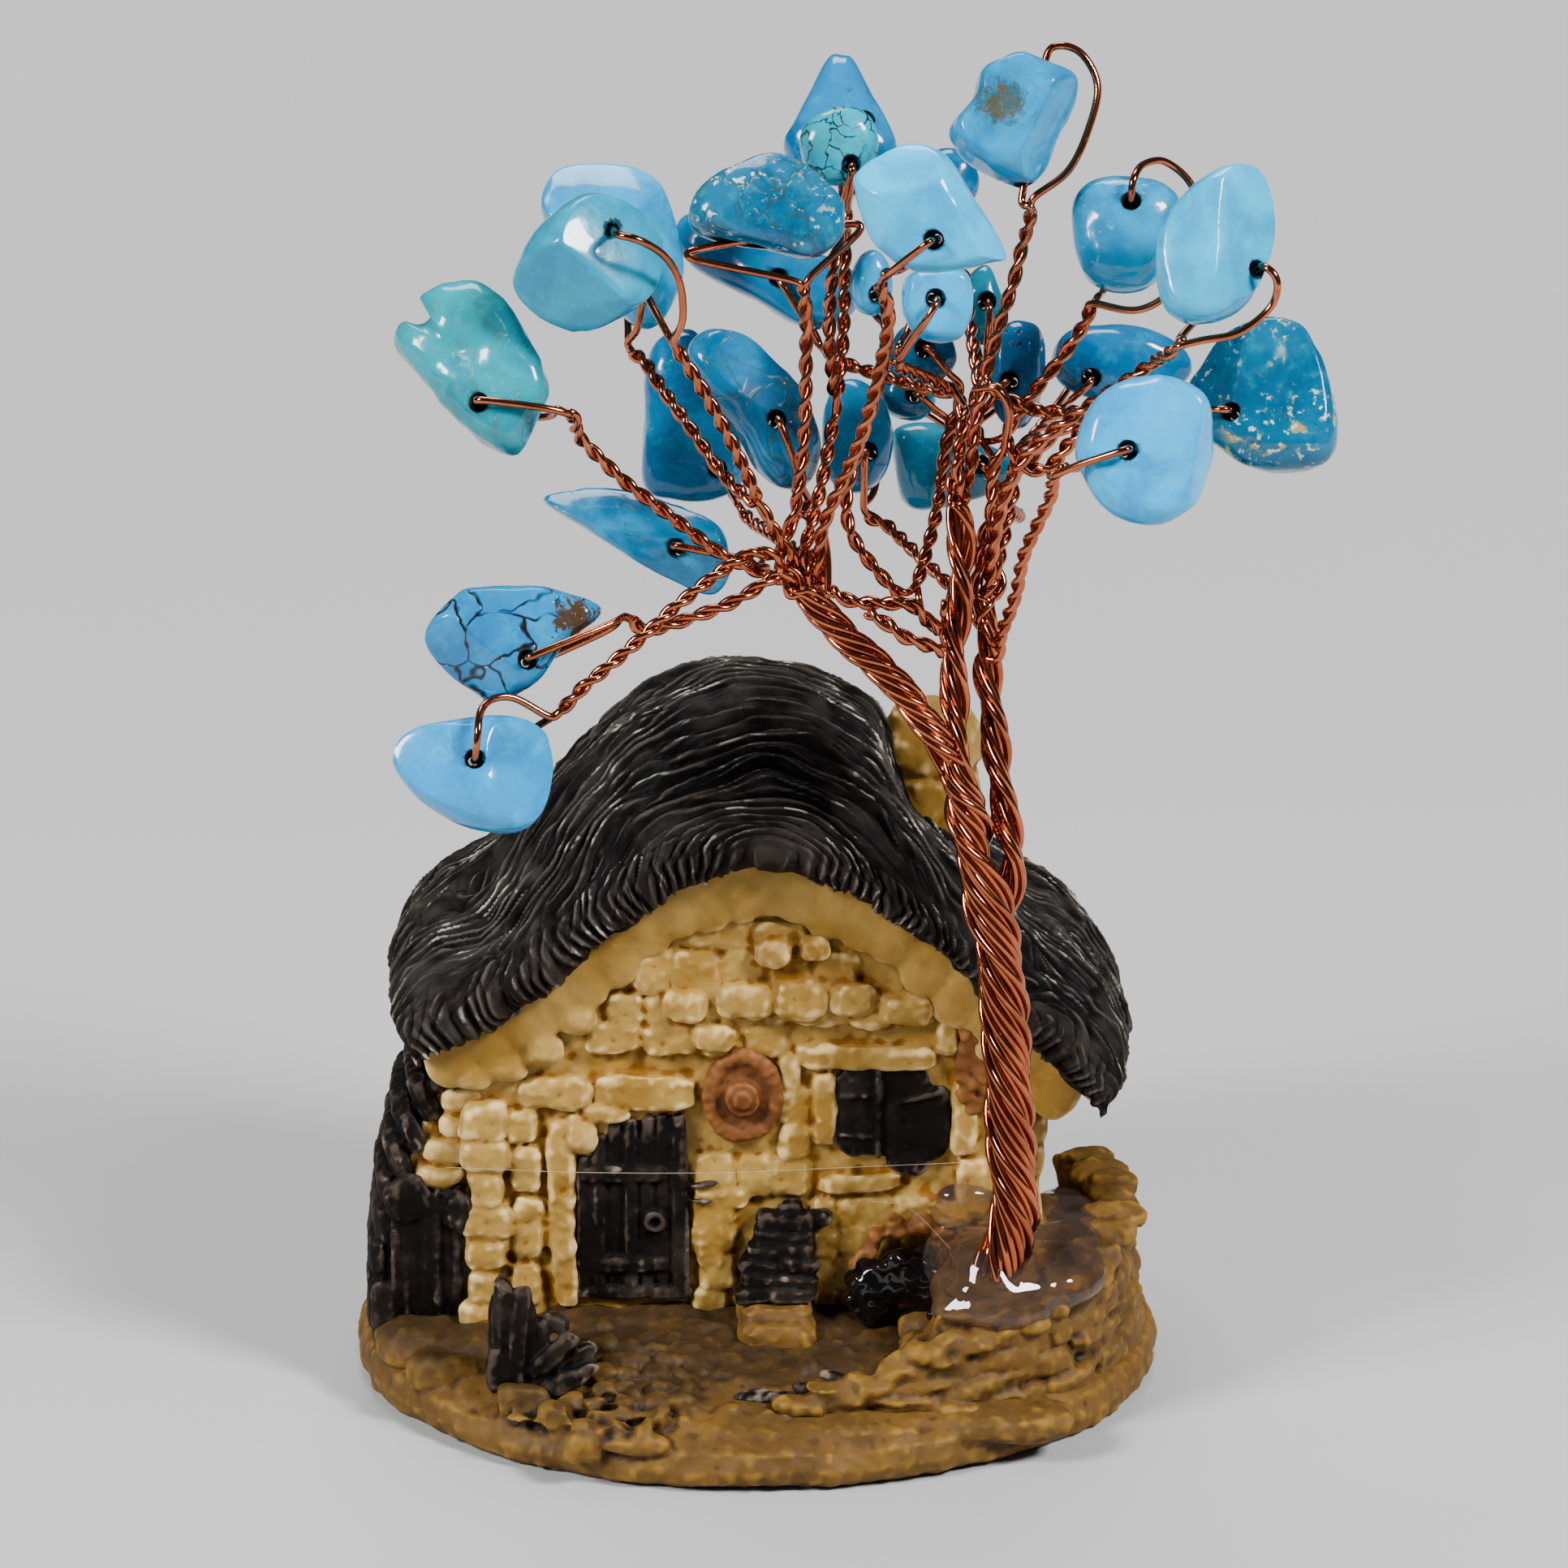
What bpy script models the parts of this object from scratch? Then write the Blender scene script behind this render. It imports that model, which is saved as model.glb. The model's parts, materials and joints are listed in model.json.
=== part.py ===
"""Gem tree on a cottage: drilled turquoise chips threaded on twisted copper wires.

Fourteen copper wires each carry two chips. A wire is doubled back through each chip and twisted on
itself, its two ends run down a limb, and all the ends are laid up into one trunk whose foot is held
by clear glue in a corner of a one-piece cast cottage. Lengths below are millimetres until MM turns
them into metres. +X is the cottage's right, +Y its back, +Z up, and the origin is in the middle of
the plinth's flat underside.
"""
import math

import bmesh
import bpy
import numpy as np

MM = 0.001

# ---- driving dimensions ---------------------------------------------------------------------
WIRE_RADIUS = 0.225          # bare copper craft wire, 0.45 mm across
TWIG_RADIUS = 0.36           # a twisted pair of it
STRAND_RADIUS = 0.27         # a pair once it nests in a limb or the trunk
HOLE_RADIUS = 0.55           # drilled hole through each chip
FACE_SCALE = 0.62            # a chip's flat faces against its rim
WIRE_GAP = 0.10              # clear space left between neighbouring wires
LAY_LENGTH = 14.0            # height of one full turn of the trunk's strands
LEAN = math.radians(20.0)    # chips are described face on, in a plane leaning back by this much
LOOP_CLEARANCE = 1.20        # from a chip's rim to where its wire starts to twist
RELAX_STEP = 0.8             # spacing of the points that the wires are relaxed with
FOOT_Z = 8.9                 # lower end of the wires, in the glue's socket

RIGHT = np.array([1.0, 0.0, 0.0])
UP = np.array([0.0, math.sin(LEAN), math.cos(LEAN)])
BACK = np.array([0.0, math.cos(LEAN), -math.sin(LEAN)])

# ---- chips: name, centre, thickness, slope of the flat face across and up, drilled hole, outline --
CHIPS = (
    ("far_left", (-15.5, -8, 62.1), 3.8, (-0.25, 0.15), (1.0, -2.2),
     [(-4.2, 1.3), (-3.8, 2.6), (-2.5, 2.3), (-1.8, 3.0), (-2.6, 3.9), (-1.5, 4.6), (0.6, 4.5),
      (2.4, 3.0), (4.2, -1.0), (3.4, -3.3), (2.5, -4.6), (0.9, -4.2), (-0.6, -2.9), (-3.2, 0.0)]),
    ("upper_left_back", (-7.8, 3, 66.5), 3.6, (0.2, -0.1), (1.1, -3.2),
     [(-3.8, 2.9), (-3.0, 4.7), (-1.0, 5.1), (1.4, 4.4), (3.0, 2.3), (3.8, -1.6), (2.9, -4.3),
      (1.3, -5.1), (-1.0, -2.7), (-3.7, 0.7)]),
    ("upper_left_front", (-8.9, -10, 68.6), 5.2, (0.15, -0.25), (1.2, 2.0),
     [(-4.1, -0.8), (-2.6, 1.9), (0.2, 3.7), (3.4, 2.3), (4.1, 0.9), (2.8, -1.8), (-0.7, -3.7),
      (-3.1, -2.6)]),
    ("back_left_long", (0.6, 8, 63.1), 3.2, (-0.2, 0.2), (1.0, -0.9),
     [(-5.2, 1.9), (-4.2, 3.2), (-0.4, 1.9), (4.2, 0.3), (5.2, -1.4), (4.4, -2.9), (1.9, -3.2),
      (-1.3, -1.4), (-4.3, 0.3)]),
    ("speckled_centre", (0.7, -5, 70.4), 4.6, (0.1, 0.15), (1.2, -1.5),
     [(-4.2, -0.4), (-3.2, 1.3), (-1.2, 2.6), (0.8, 2.8), (2.8, 1.7), (4.2, 0.2), (4.0, -1.6),
      (2.5, -2.8), (0.2, -2.3), (-3.5, -1.5)]),
    ("top_peak", (4.7, 6, 72.3), 3.8, (0.0, 0.3), (1.4, -0.6),
     [(-3.2, -1.6), (-2.7, -0.3), (-0.8, 3.2), (0.2, 3.5), (1.0, 2.9), (3.2, -1.5), (2.2, -3.1),
      (0.0, -3.5), (-2.3, -2.9)]),
    ("top_oval", (4.6, 0.5, 72.4), 2.6, (0.15, 0.0), (0.5, -1.2),
     [(-2.1, 0.0), (-1.5, 1.6), (0.0, 2.2), (1.5, 1.6), (2.1, 0.0), (1.5, -1.6), (0.0, -2.2),
      (-1.5, -1.6)]),
    ("sky_front", (9.3, -13, 72.5), 4.6, (-0.15, -0.1), (0.5, -1.6),
     [(-4.0, 1.1), (-3.5, 2.2), (-1.7, 3.3), (0.2, 3.1), (1.5, 2.0), (4.0, -2.2), (3.3, -2.9),
      (-0.4, -3.3), (-2.9, -1.9)]),
    ("behind_sky", (10.7, 7, 68.5), 3.2, (0.2, 0.1), (0.0, -0.7),
     [(-1.7, 0.4), (-1.0, 1.6), (0.2, 1.8), (1.3, 1.1), (1.7, -0.5), (0.8, -1.8), (-1.0, -1.5)]),
    ("top_right", (14.1, -3, 74.8), 5.2, (0.2, 0.1), (1.2, 0.0),
     [(-3.5, -0.6), (-2.2, 1.0), (-1.8, 2.5), (-1.0, 3.2), (0.4, 3.5), (2.8, 2.7), (3.5, 1.7),
      (2.5, -1.0), (1.2, -3.4), (-0.3, -3.5), (-2.7, -2.2)]),
    ("right_round", (20.3, -3.5, 68.4), 4.2, (-0.1, 0.2), (0.4, 1.3),
     [(-3.0, 0.9), (-2.1, 2.6), (0.1, 3.0), (2.3, 2.6), (3.0, 1.0), (1.7, -2.3), (-0.2, -3.0),
      (-2.3, -2.3)]),
    ("right_leaf", (24.7, -11.5, 70.1), 4.2, (0.3, 0.1), (1.9, -1.5),
     [(-3.0, -0.8), (-2.4, 1.6), (-1.0, 3.4), (0.7, 4.3), (2.3, 3.9), (3.0, 2.1), (2.9, -0.1),
      (1.5, -3.2), (-0.8, -4.3), (-2.6, -3.4)]),
    ("right_back_dark", (20.5, 4, 58.8), 3.4, (0.1, -0.2), (-1.9, -0.6),
     [(-3.9, -0.1), (-3.2, 1.5), (-1.4, 2.1), (1.3, 1.9), (3.4, 0.9), (3.9, -0.5), (2.5, -1.7),
      (-0.5, -2.1), (-3.0, -1.6)]),
    ("far_right_deep", (28, -3, 59), 4.2, (-0.2, 0.1), (-1.5, -1.1),
     [(-4.2, 0.4), (-2.5, 3.0), (-0.5, 4.1), (1.4, 4.2), (2.7, 3.4), (3.6, 1.0), (4.2, -1.7),
      (3.8, -3.5), (1.9, -4.2), (-1.1, -3.7), (-3.4, -2.1)]),
    ("right_front", (21, -15, 59.7), 4.2, (0.1, 0.05), (-1.2, -0.2),
     [(-3.7, 0.2), (-3.0, 2.2), (-1.3, 3.6), (0.9, 4.0), (2.9, 3.3), (3.7, 1.7), (3.6, -0.9),
      (2.8, -2.9), (0.6, -4.0), (-1.5, -3.8), (-3.1, -2.4)]),
    ("drilled_centre", (9.9, -7, 65.4), 3.6, (0.15, -0.1), (-0.3, 0.4),
     [(-1.9, 0.6), (-1.5, 1.7), (-0.2, 2.0), (1.5, 1.9), (1.9, 0.5), (1.7, -1.2), (0.9, -2.0),
      (-0.9, -1.8), (-1.8, -0.7)]),
    ("small_oval", (6.4, -3, 65.5), 2.6, (0.2, 0.0), (0.1, -0.7),
     [(-1.1, 0.0), (-0.8, 1.2), (0.0, 1.8), (0.8, 1.2), (1.1, 0.0), (0.8, -1.3), (0.0, -1.8),
      (-0.8, -1.3)]),
    ("speckled_right", (14.5, -2, 59.9), 3.2, (-0.2, 0.0), (-0.2, -0.4),
     [(-1.5, 0.7), (-1.1, 2.4), (0.1, 3.1), (1.2, 2.5), (1.5, 0.7), (1.1, -1.7), (0.2, -3.1),
      (-0.8, -2.7), (-1.4, -1.3)]),
    ("back_drilled", (9.3, 4, 59.5), 2.8, (0.1, 0.2), (0.0, -0.2),
     [(-2.0, -0.4), (-1.3, 1.0), (0.1, 1.7), (1.3, 1.0), (2.0, -0.6), (1.0, -1.7), (-1.0, -1.6)]),
    ("back_teal", (8.7, 9, 55.5), 2.8, (0.0, 0.15), (0.3, -0.3),
     [(-1.6, -0.2), (-1.2, 1.0), (0.0, 1.5), (1.2, 0.7), (1.6, -0.7), (0.5, -1.5), (-1.1, -1.1)]),
    ("back_low", (11.1, 12, 50.3), 3.6, (0.1, -0.1), (1.6, 0.1),
     [(-3.4, 1.3), (-2.9, 2.3), (-0.9, 2.4), (1.6, 1.5), (3.4, 0.3), (3.1, -1.3), (-0.2, -2.4),
      (-2.5, -2.1)]),
    ("centre_large", (-0.1, -1, 57.6), 4.2, (0.1, 0.1), (1.1, -0.8),
     [(-3.7, 3.1), (-2.6, 4.4), (-0.9, 4.2), (0.8, 3.1), (2.7, 1.1), (3.7, -1.8), (3.3, -3.9),
      (1.7, -4.4), (0.3, -3.4), (-1.2, -0.9), (-2.9, 0.9)]),
    ("centre_back", (5.7, 6, 53.9), 3.2, (-0.2, 0.1), (0.9, -1.1),
     [(-1.9, 0.3), (-1.5, 2.3), (-0.3, 3.2), (1.2, 2.4), (1.9, 0.1), (1.3, -2.4), (-0.2, -3.2),
      (-1.5, -2.4)]),
    ("left_back_tall", (-3.6, 6, 55.1), 3.6, (0.1, -0.1), (1.3, -2.9),
     [(-2.8, -3.9), (-2.8, 0.1), (-2.3, 3.6), (-1.0, 4.7), (0.4, 4.5), (1.5, 1.7), (2.6, -1.0),
      (2.8, -3.6), (1.3, -4.7), (-1.1, -4.7)]),
    ("left_spike", (-6.6, -2, 50.3), 3.8, (-0.15, 0.1), (2.4, -0.6),
     [(-5.3, 2.3), (-3.4, 2.8), (-1.3, 2.9), (2.1, 1.9), (4.6, 0.7), (5.3, -1.3), (4.7, -2.6),
      (3.5, -2.9), (0.7, -1.5), (-2.6, 0.5)]),
    ("veined_left", (-13.2, -12, 47.6), 4.0, (0.1, 0.1), (0.7, -1.0),
     [(-4.7, 0.6), (-3.2, 2.5), (-1.9, 3.1), (1.8, 3.1), (4.5, 2.3), (4.7, 1.5), (2.8, 0.0),
      (1.0, -2.2), (-1.1, -3.1), (-2.1, -2.5), (-4.1, -0.8)]),
    ("low_left", (-15.3, -16, 41.5), 3.8, (0.1, 0.1), (0.0, 0.7),
     [(-4.3, 0.7), (-3.6, 2.1), (-1.6, 2.9), (0.9, 3.2), (3.5, 2.7), (4.3, 1.2), (4.1, -1.3),
      (2.9, -2.9), (1.1, -3.2), (-1.1, -2.6), (-3.2, -0.9)]),
    ("back_grey", (12.8, 6, 61.5), 2.6, (0.2, 0.1), (-0.1, 0.1),
     [(-1.1, 0.8), (-0.6, 1.9), (0.2, 2.2), (0.8, 0.8), (1.1, -1.0), (0.5, -2.2), (-0.7, -1.7)]),
)

# Chips drilled across, in the plane of the flat face: the drill's angle up from the chip's own right.
DRILLED_ACROSS = {"speckled_centre": 10, "top_right": 80}
# Loops that go round a chip the long way: points right, up and out of its middle, hole to twist.
ROUND_THE_CHIP = {
    "upper_left_front": [(2.3, 1.8, 3.2), (3.8, 0.8, 2.4), (4.7, -0.8, 1.5), (4.9, -2.8, 0.9)],
    "top_right": [(2.3, 4.0, 0.2), (3.6, 3.6, 0.4), (4.5, 1.8, 0.5), (4.0, -0.6, 0.5), (2.9, -2.9, 0.4)],
    "right_round": [(0.6, 2.4, 2.7), (1.1, 3.5, 1.4), (2.2, 4.0, 0.0), (3.6, 2.9, -1.0), (3.9, 0.6, -1.2),
                    (2.6, -2.6, -1.0), (0.6, -4.1, -0.4)],
    "right_leaf": [(2.5, -2.3, 2.5), (2.4, -3.6, 1.8), (0.9, -4.9, 1.1), (-1.0, -5.3, 0.7)],
    "low_left": [(0.1, 2.0, 2.6), (0.3, 3.3, 2.0), (1.0, 4.0, 1.2), (2.2, 4.1, 0.7)],
}

# ---- the trunk's centre line, and each limb's centre line from where it leaves the trunk ---------
TRUNK = [(14.2, -10.9, 8.0), (14.5, -10.8, 11.6), (14.6, -10.7, 14.6), (14.3, -10.5, 17.9),
         (14.1, -10.2, 22.7), (13.7, -10.0, 27.5)]
STEM = [(12.9, -9.8, 31.8), (12.3, -9.6, 34.4), (11.8, -9.4, 36.9), (11.2, -9.1, 38.8)]
LIMBS = {
    "left": STEM + [(10.1, -8.9, 40.9), (8.9, -8.4, 42.6), (7.4, -8.0, 44.4), (5.4, -7.5, 46.1),
                    (3.6, -7.0, 47.9), (2.5, -6.6, 49.6)],
    "mid": STEM + [(11.2, -8.3, 41.3), (11.0, -7.5, 43.5), (11.0, -6.7, 46.0), (11.4, -5.8, 48.9),
                   (11.4, -5.0, 51.6), (11.0, -4.5, 54.0)],
    "right": [(13.7, -9.5, 31.0), (14.0, -9.0, 33.6), (13.9, -8.3, 36.2), (13.5, -7.6, 38.9),
              (13.2, -6.9, 41.6), (12.9, -6.2, 43.7), (12.9, -5.5, 46.1), (12.9, -4.8, 48.5)],
}
RIGHT_LEAVES = 26.5          # distance up the trunk where the right limb parts from the other two
MID_LEAVES = 32.0            # and where the middle and left limbs part
PART_LENGTH = 5.0            # the strands change places over this length
# ---- wires: name, limb, height where it leaves the limb, then each chip and the route to it ------
WIRES = (
    ("far_left", "left", 60, "far_left",
     [(1.1, -6.5, 49.7), (-0.2, -6.6, 50.0), (-2.0, -6.8, 51.0), (-4.5, -7.1, 53.3), (-7.3, -7.5, 55.5),
      (-8.9, -7.7, 57.4), (-10.1, -7.9, 58.3), (-11.2, -8.0, 59.2)],
     "left_spike", [(0.7, -6.3, 49.7), (-2.1, -2.0, 49.2)]),
    ("upper_left", "left", 60, "upper_left_front",
     [(1.3, -7.5, 52.1), (0.2, -8.0, 54.4), (-0.8, -8.5, 57.2), (-2.2, -9.1, 60.1), (-3.1, -9.5, 62.0),
      (-4.0, -9.9, 63.4), (-4.3, -10.0, 64.0)],
     "upper_left_back", [(-0.5, -5.8, 54.0), (-1.8, -4.6, 54.8), (-2.9, -3.4, 56.3), (-4.3, -2.2, 58.0),
                         (-5.6, -0.4, 59.2), (-6.4, 1.7, 60.5), (-7.0, 3.0, 61.7)]),
    ("low_left", "left", 60, "low_left",
     [(1.4, -8.0, 51.6), (0.0, -8.7, 52.4), (-1.2, -9.5, 51.6), (-2.9, -10.5, 50.5), (-4.5, -11.4, 49.5),
      (-6.2, -12.6, 48.1), (-8.4, -13.9, 46.6), (-10.0, -14.9, 45.7), (-11.8, -16.0, 44.5)],
     "veined_left", [(0.9, -8.3, 49.8), (-1.1, -9.0, 48.9), (-3.4, -9.6, 48.4), (-5.0, -10.2, 47.8),
                     (-7.2, -11.2, 47.9), (-9.2, -12.0, 48.1)]),
    ("speckled_centre", "left", 60, "speckled_centre",
     [(2.0, -6.0, 52.4), (2.4, -5.9, 54.2), (2.7, -5.7, 56.5), (2.8, -5.4, 60.3), (2.8, -5.2, 63.2),
      (2.4, -5.0, 65.5)],
     "centre_large", [(2.4, -4.4, 53.3), (2.0, -1.0, 53.4)]),
    ("top", "left", 60, "top_peak",
     [(3.0, -5.5, 52.2), (3.7, -4.0, 54.1), (4.3, -1.8, 57.0), (4.8, 0.2, 59.6), (5.0, 2.6, 62.9),
      (5.0, 4.3, 65.2), (5.4, 6.0, 67.5)],
     "top_oval", [(4.2, -3.0, 59.2), (4.0, -2.0, 62.4), (4.2, -1.0, 65.0), (4.5, -0.2, 67.0),
                  (4.7, 0.5, 69.2)]),
    ("sky_front", "left", 60, "sky_front",
     [(3.5, -7.5, 52.6), (4.4, -8.3, 55.0), (5.5, -9.2, 57.6), (6.1, -9.9, 59.6), (6.9, -11.2, 63.7),
      (7.5, -12.4, 67.3), (7.8, -13.0, 69.2)],
     "left_back_tall", [(2.5, -5.0, 51.0), (0.6, 0.8, 50.0), (-0.9, 6.0, 49.6)]),
    ("back_left", "mid", 60, "back_left_long",
     [(11.4, -4.5, 56.1), (12.0, -2.2, 58.0), (11.2, -0.9, 58.8), (9.3, 0.4, 58.4), (7.9, 1.6, 58.5),
      (6.8, 2.9, 58.5), (2.6, 8.0, 60.6)],
     "drilled_centre", [(9.2, -3.6, 60.2), (8.1, -6.0, 61.5), (7.7, -7.0, 62.6)]),
    ("top_right", "mid", 60, "top_right",
     [(11.6, -4.5, 56.1), (12.3, -4.4, 58.8), (12.7, -4.3, 60.9), (13.4, -4.2, 63.6), (14.0, -3.9, 65.0),
      (14.4, -3.6, 66.3), (14.7, -3.2, 68.3), (14.8, -3.0, 70.6)],
     "behind_sky", [(11.9, -2.0, 59.5), (11.9, 0.4, 62.2), (11.6, 3.0, 64.2), (11.4, 5.4, 65.0),
                    (11.3, 7.0, 65.7)]),
    ("small_oval", "mid", 46.5, "small_oval",
     [(9.4, -6.0, 47.1), (7.8, -5.7, 48.4), (6.7, -5.4, 49.6), (5.5, -5.1, 50.8), (4.7, -4.8, 52.2),
      (4.9, -4.3, 54.2), (5.8, -3.9, 56.7), (6.7, -3.4, 59.1), (7.0, -3.2, 60.9), (7.0, -3.0, 62.7)],
     "back_drilled", [(9.9, -4.0, 48.8), (10.3, -1.3, 52.3), (10.6, 1.8, 55.1), (11.0, 4.0, 57.2)]),
    ("back_grey", "mid", 60, "back_grey",
     [(11.2, -3.0, 55.2), (12.0, 0.5, 56.4), (12.4, 3.3, 57.5), (12.5, 6.0, 58.5)],
     "back_teal", [(11.2, 1.0, 55.0), (11.0, 5.0, 54.2), (10.8, 9.0, 53.6)]),
    ("right_round", "right", 60, "right_round",
     [(12.9, -4.5, 51.4), (13.0, -4.4, 54.2), (13.1, -4.3, 56.0), (14.0, -4.6, 58.0), (15.4, -4.9, 60.0),
      (17.0, -4.6, 61.8), (18.2, -4.1, 63.6), (19.1, -3.5, 65.2)],
     "speckled_right", [(12.8, -3.0, 56.6), (12.8, -2.0, 57.6)]),
    ("right_leaf", "right", 60, "right_leaf",
     [(13.2, -6.0, 51.9), (13.7, -6.9, 55.0), (14.6, -7.6, 57.1), (16.2, -8.3, 58.7), (18.1, -9.1, 60.3),
      (20.2, -10.2, 62.1), (21.7, -11.1, 63.6), (22.3, -11.5, 64.5)],
     "right_back_dark", [(14.6, -4.5, 56.2), (16.4, 0.9, 56.6), (17.2, 4.0, 56.6)]),
    ("far_right", "right", 60, "far_right_deep",
     [(12.7, -4.0, 51.7), (13.3, -3.8, 53.6), (14.2, -3.8, 55.2), (15.8, -4.0, 56.9), (17.2, -3.8, 57.9),
      (18.8, -3.5, 58.2), (21.0, -3.2, 58.2), (23.2, -3.0, 57.9)],
     "back_low", [(13.3, -2.0, 51.6), (14.2, 4.0, 50.2), (14.0, 12.0, 48.7)]),
    ("right_front", "right", 46.0, "right_front",
     [(13.4, -7.4, 46.6), (14.1, -9.1, 48.6), (14.5, -10.2, 50.5), (14.4, -11.1, 52.2), (15.3, -12.5, 54.6),
      (15.9, -13.4, 56.2), (16.4, -14.2, 57.5), (17.1, -15.0, 58.6)],
     "centre_back", [(12.2, -4.0, 47.2), (10.9, -2.2, 47.8), (9.9, -0.7, 48.2), (9.1, 0.9, 48.5),
                     (8.0, 3.0, 49.0), (7.2, 4.8, 49.6), (6.7, 6.0, 50.3)]),
)


# ---- materials and meshes ---------------------------------------------------------------------
def material(name, color, roughness, metallic=0.0, alpha=1.0):
    mat = bpy.data.materials.new(name)
    mat.use_nodes = True
    shader = mat.node_tree.nodes["Principled BSDF"]
    shader.inputs["Base Color"].default_value = (*color, 1.0)
    shader.inputs["Roughness"].default_value = roughness
    shader.inputs["Metallic"].default_value = metallic
    shader.inputs["Alpha"].default_value = alpha
    return mat


def solid(name, points, faces, mat=None, origin=(0.0, 0.0, 0.0)):
    """Make a mesh object from points in millimetres, with its origin at a given point."""
    mesh = bpy.data.meshes.new(name)
    at = np.array(origin, float)
    mesh.from_pydata([tuple((np.array(p, float) - at) * MM) for p in points], [], faces)
    work = bmesh.new()
    work.from_mesh(mesh)
    bmesh.ops.recalc_face_normals(work, faces=work.faces)
    work.to_mesh(mesh)
    work.free()
    mesh.update()
    obj = bpy.data.objects.new(name, mesh)
    obj.location = at * MM
    bpy.context.scene.collection.objects.link(obj)
    if mat:
        mesh.materials.append(mat)
    return obj


def join(target, other, operation="UNION"):
    """Unite other with target, or cut it away, by a Boolean modifier."""
    other.hide_render = True
    other.hide_viewport = False
    other.display_type = "WIRE"
    boolean = target.modifiers.new(operation.lower(), "BOOLEAN")
    boolean.operation = operation
    boolean.solver = "EXACT"
    boolean.object = other


def loft(rings):
    """Points and faces of a closed solid whose rings have the same number of points."""
    count = len(rings[0])
    points = [p for ring in rings for p in ring]
    faces = [tuple(range(count))[::-1]]
    for level in range(len(rings) - 1):
        for k in range(count):
            a = level * count + k
            b = level * count + (k + 1) % count
            faces.append((a, b, b + count, a + count))
    faces.append(tuple(range(len(points) - count, len(points))))
    return points, faces


def box(name, low, high, mat=None):
    ring = [(low[0], low[1]), (high[0], low[1]), (high[0], high[1]), (low[0], high[1])]
    return solid(name, *loft([[(x, y, z) for x, y in ring] for z in (low[2], high[2])]), mat)


def prism(name, profile, front, back, mat=None):
    """Extrude an outline in the XZ plane from front to back."""
    return solid(name, *loft([[(x, y, z) for x, z in profile] for y in (front, back)]), mat)


def unit(vector):
    return vector / np.linalg.norm(vector)


# ---- smooth lines ------------------------------------------------------------------------------
def smooth(points, step):
    """Catmull-Rom curve through the points, sampled about every step."""
    pts = np.array(points, float)
    ends = np.vstack([2 * pts[0] - pts[1], pts, 2 * pts[-1] - pts[-2]])
    out = []
    for k in range(1, len(ends) - 2):
        p0, p1, p2, p3 = ends[k - 1:k + 3]
        count = max(1, round(np.linalg.norm(p2 - p1) / step))
        for t in np.arange(count) / count:
            out.append(0.5 * (2 * p1 + (p2 - p0) * t + (2 * p0 - 5 * p1 + 4 * p2 - p3) * t ** 2
                              + (3 * p1 - p0 - 3 * p2 + p3) * t ** 3))
    out.append(pts[-1])
    return np.array(out)


def even(points, step):
    """The same line with its points spread evenly."""
    pts = np.array(points, float)
    length = np.concatenate([[0.0], np.cumsum(np.linalg.norm(np.diff(pts, axis=0), axis=1))])
    at = np.linspace(0.0, length[-1], max(2, round(length[-1] / step) + 1))
    return np.stack([np.interp(at, length, pts[:, k]) for k in range(3)], axis=1)


def tangents(points):
    pts = np.array(points, float)
    along = np.gradient(pts, axis=0)
    return along / np.linalg.norm(along, axis=1)[:, None]


def tube(name, points, radii, sides=5, mat=None):
    """Round bar along a line, with a frame carried from point to point so that it never twists."""
    along = tangents(points)
    across = np.cross(along[0], (0.31, 0.87, 0.38))
    rings = []
    for point, direction, radius in zip(points, along, radii):
        across = unit(across - direction * np.dot(across, direction))
        over = np.cross(direction, across)
        turns = [2 * math.pi * k / sides for k in range(sides)]
        rings.append([point + radius * (math.cos(t) * across + math.sin(t) * over) for t in turns])
    return solid(name, *loft(rings), mat)


# ---- chips ---------------------------------------------------------------------------------------
def chip_frame(centre, slope):
    """A chip's own axes: across, up and out of its flat face."""
    across = RIGHT + slope[0] * BACK
    up = UP + slope[1] * BACK
    return np.array(centre, float), across, up, unit(np.cross(across, up))


def rounded(outline):
    """Cut each corner of an outline in two, once, so that it reads as tumbled."""
    pts = np.array(outline, float)
    out = []
    for k, corner in enumerate(pts):
        before, after = pts[k - 1], pts[(k + 1) % len(pts)]
        out.append(corner + 0.18 * (before - corner))
        out.append(corner + 0.18 * (after - corner))
    return np.array(out)


def drill(name, centre, slope, hole):
    """A chip's middle, its own axes, the middle of its hole and the direction it is drilled in."""
    middle, across, up, out = chip_frame(centre, slope)
    drilled = middle + hole[0] * across + hole[1] * up
    if name not in DRILLED_ACROSS:
        return middle, across, up, out, drilled, out
    angle = math.radians(DRILLED_ACROSS[name])
    return middle, across, up, out, drilled, unit(math.cos(angle) * across + math.sin(angle) * up)


def make_chip(name, centre, thickness, slope, hole, outline, mat):
    """A tumbled stone: a blunt rim, crowned faces and a drilled hole, with its origin on the hole."""
    middle, across, up, out, drilled, axis = drill(name, centre, slope, hole)
    rim = rounded(outline) if len(outline) < 9 else np.array(outline, float)
    inset = rim.mean(axis=0)
    levels = ((-0.5, FACE_SCALE), (-0.2, 1.0), (0.2, 1.0), (0.5, FACE_SCALE))
    rings = []
    for height, scale in levels:
        ring = inset + (rim - inset) * scale
        rings.append([middle + u * across + w * up + height * thickness * out for u, w in ring])
    chip = solid(f"chip_{name}", *loft(rings), mat, origin=drilled)
    bar = tube(f"drill_{name}", [drilled - 9.0 * axis, drilled + 9.0 * axis], [HOLE_RADIUS] * 2, sides=6)
    join(chip, bar, "DIFFERENCE")
    return chip


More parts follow.
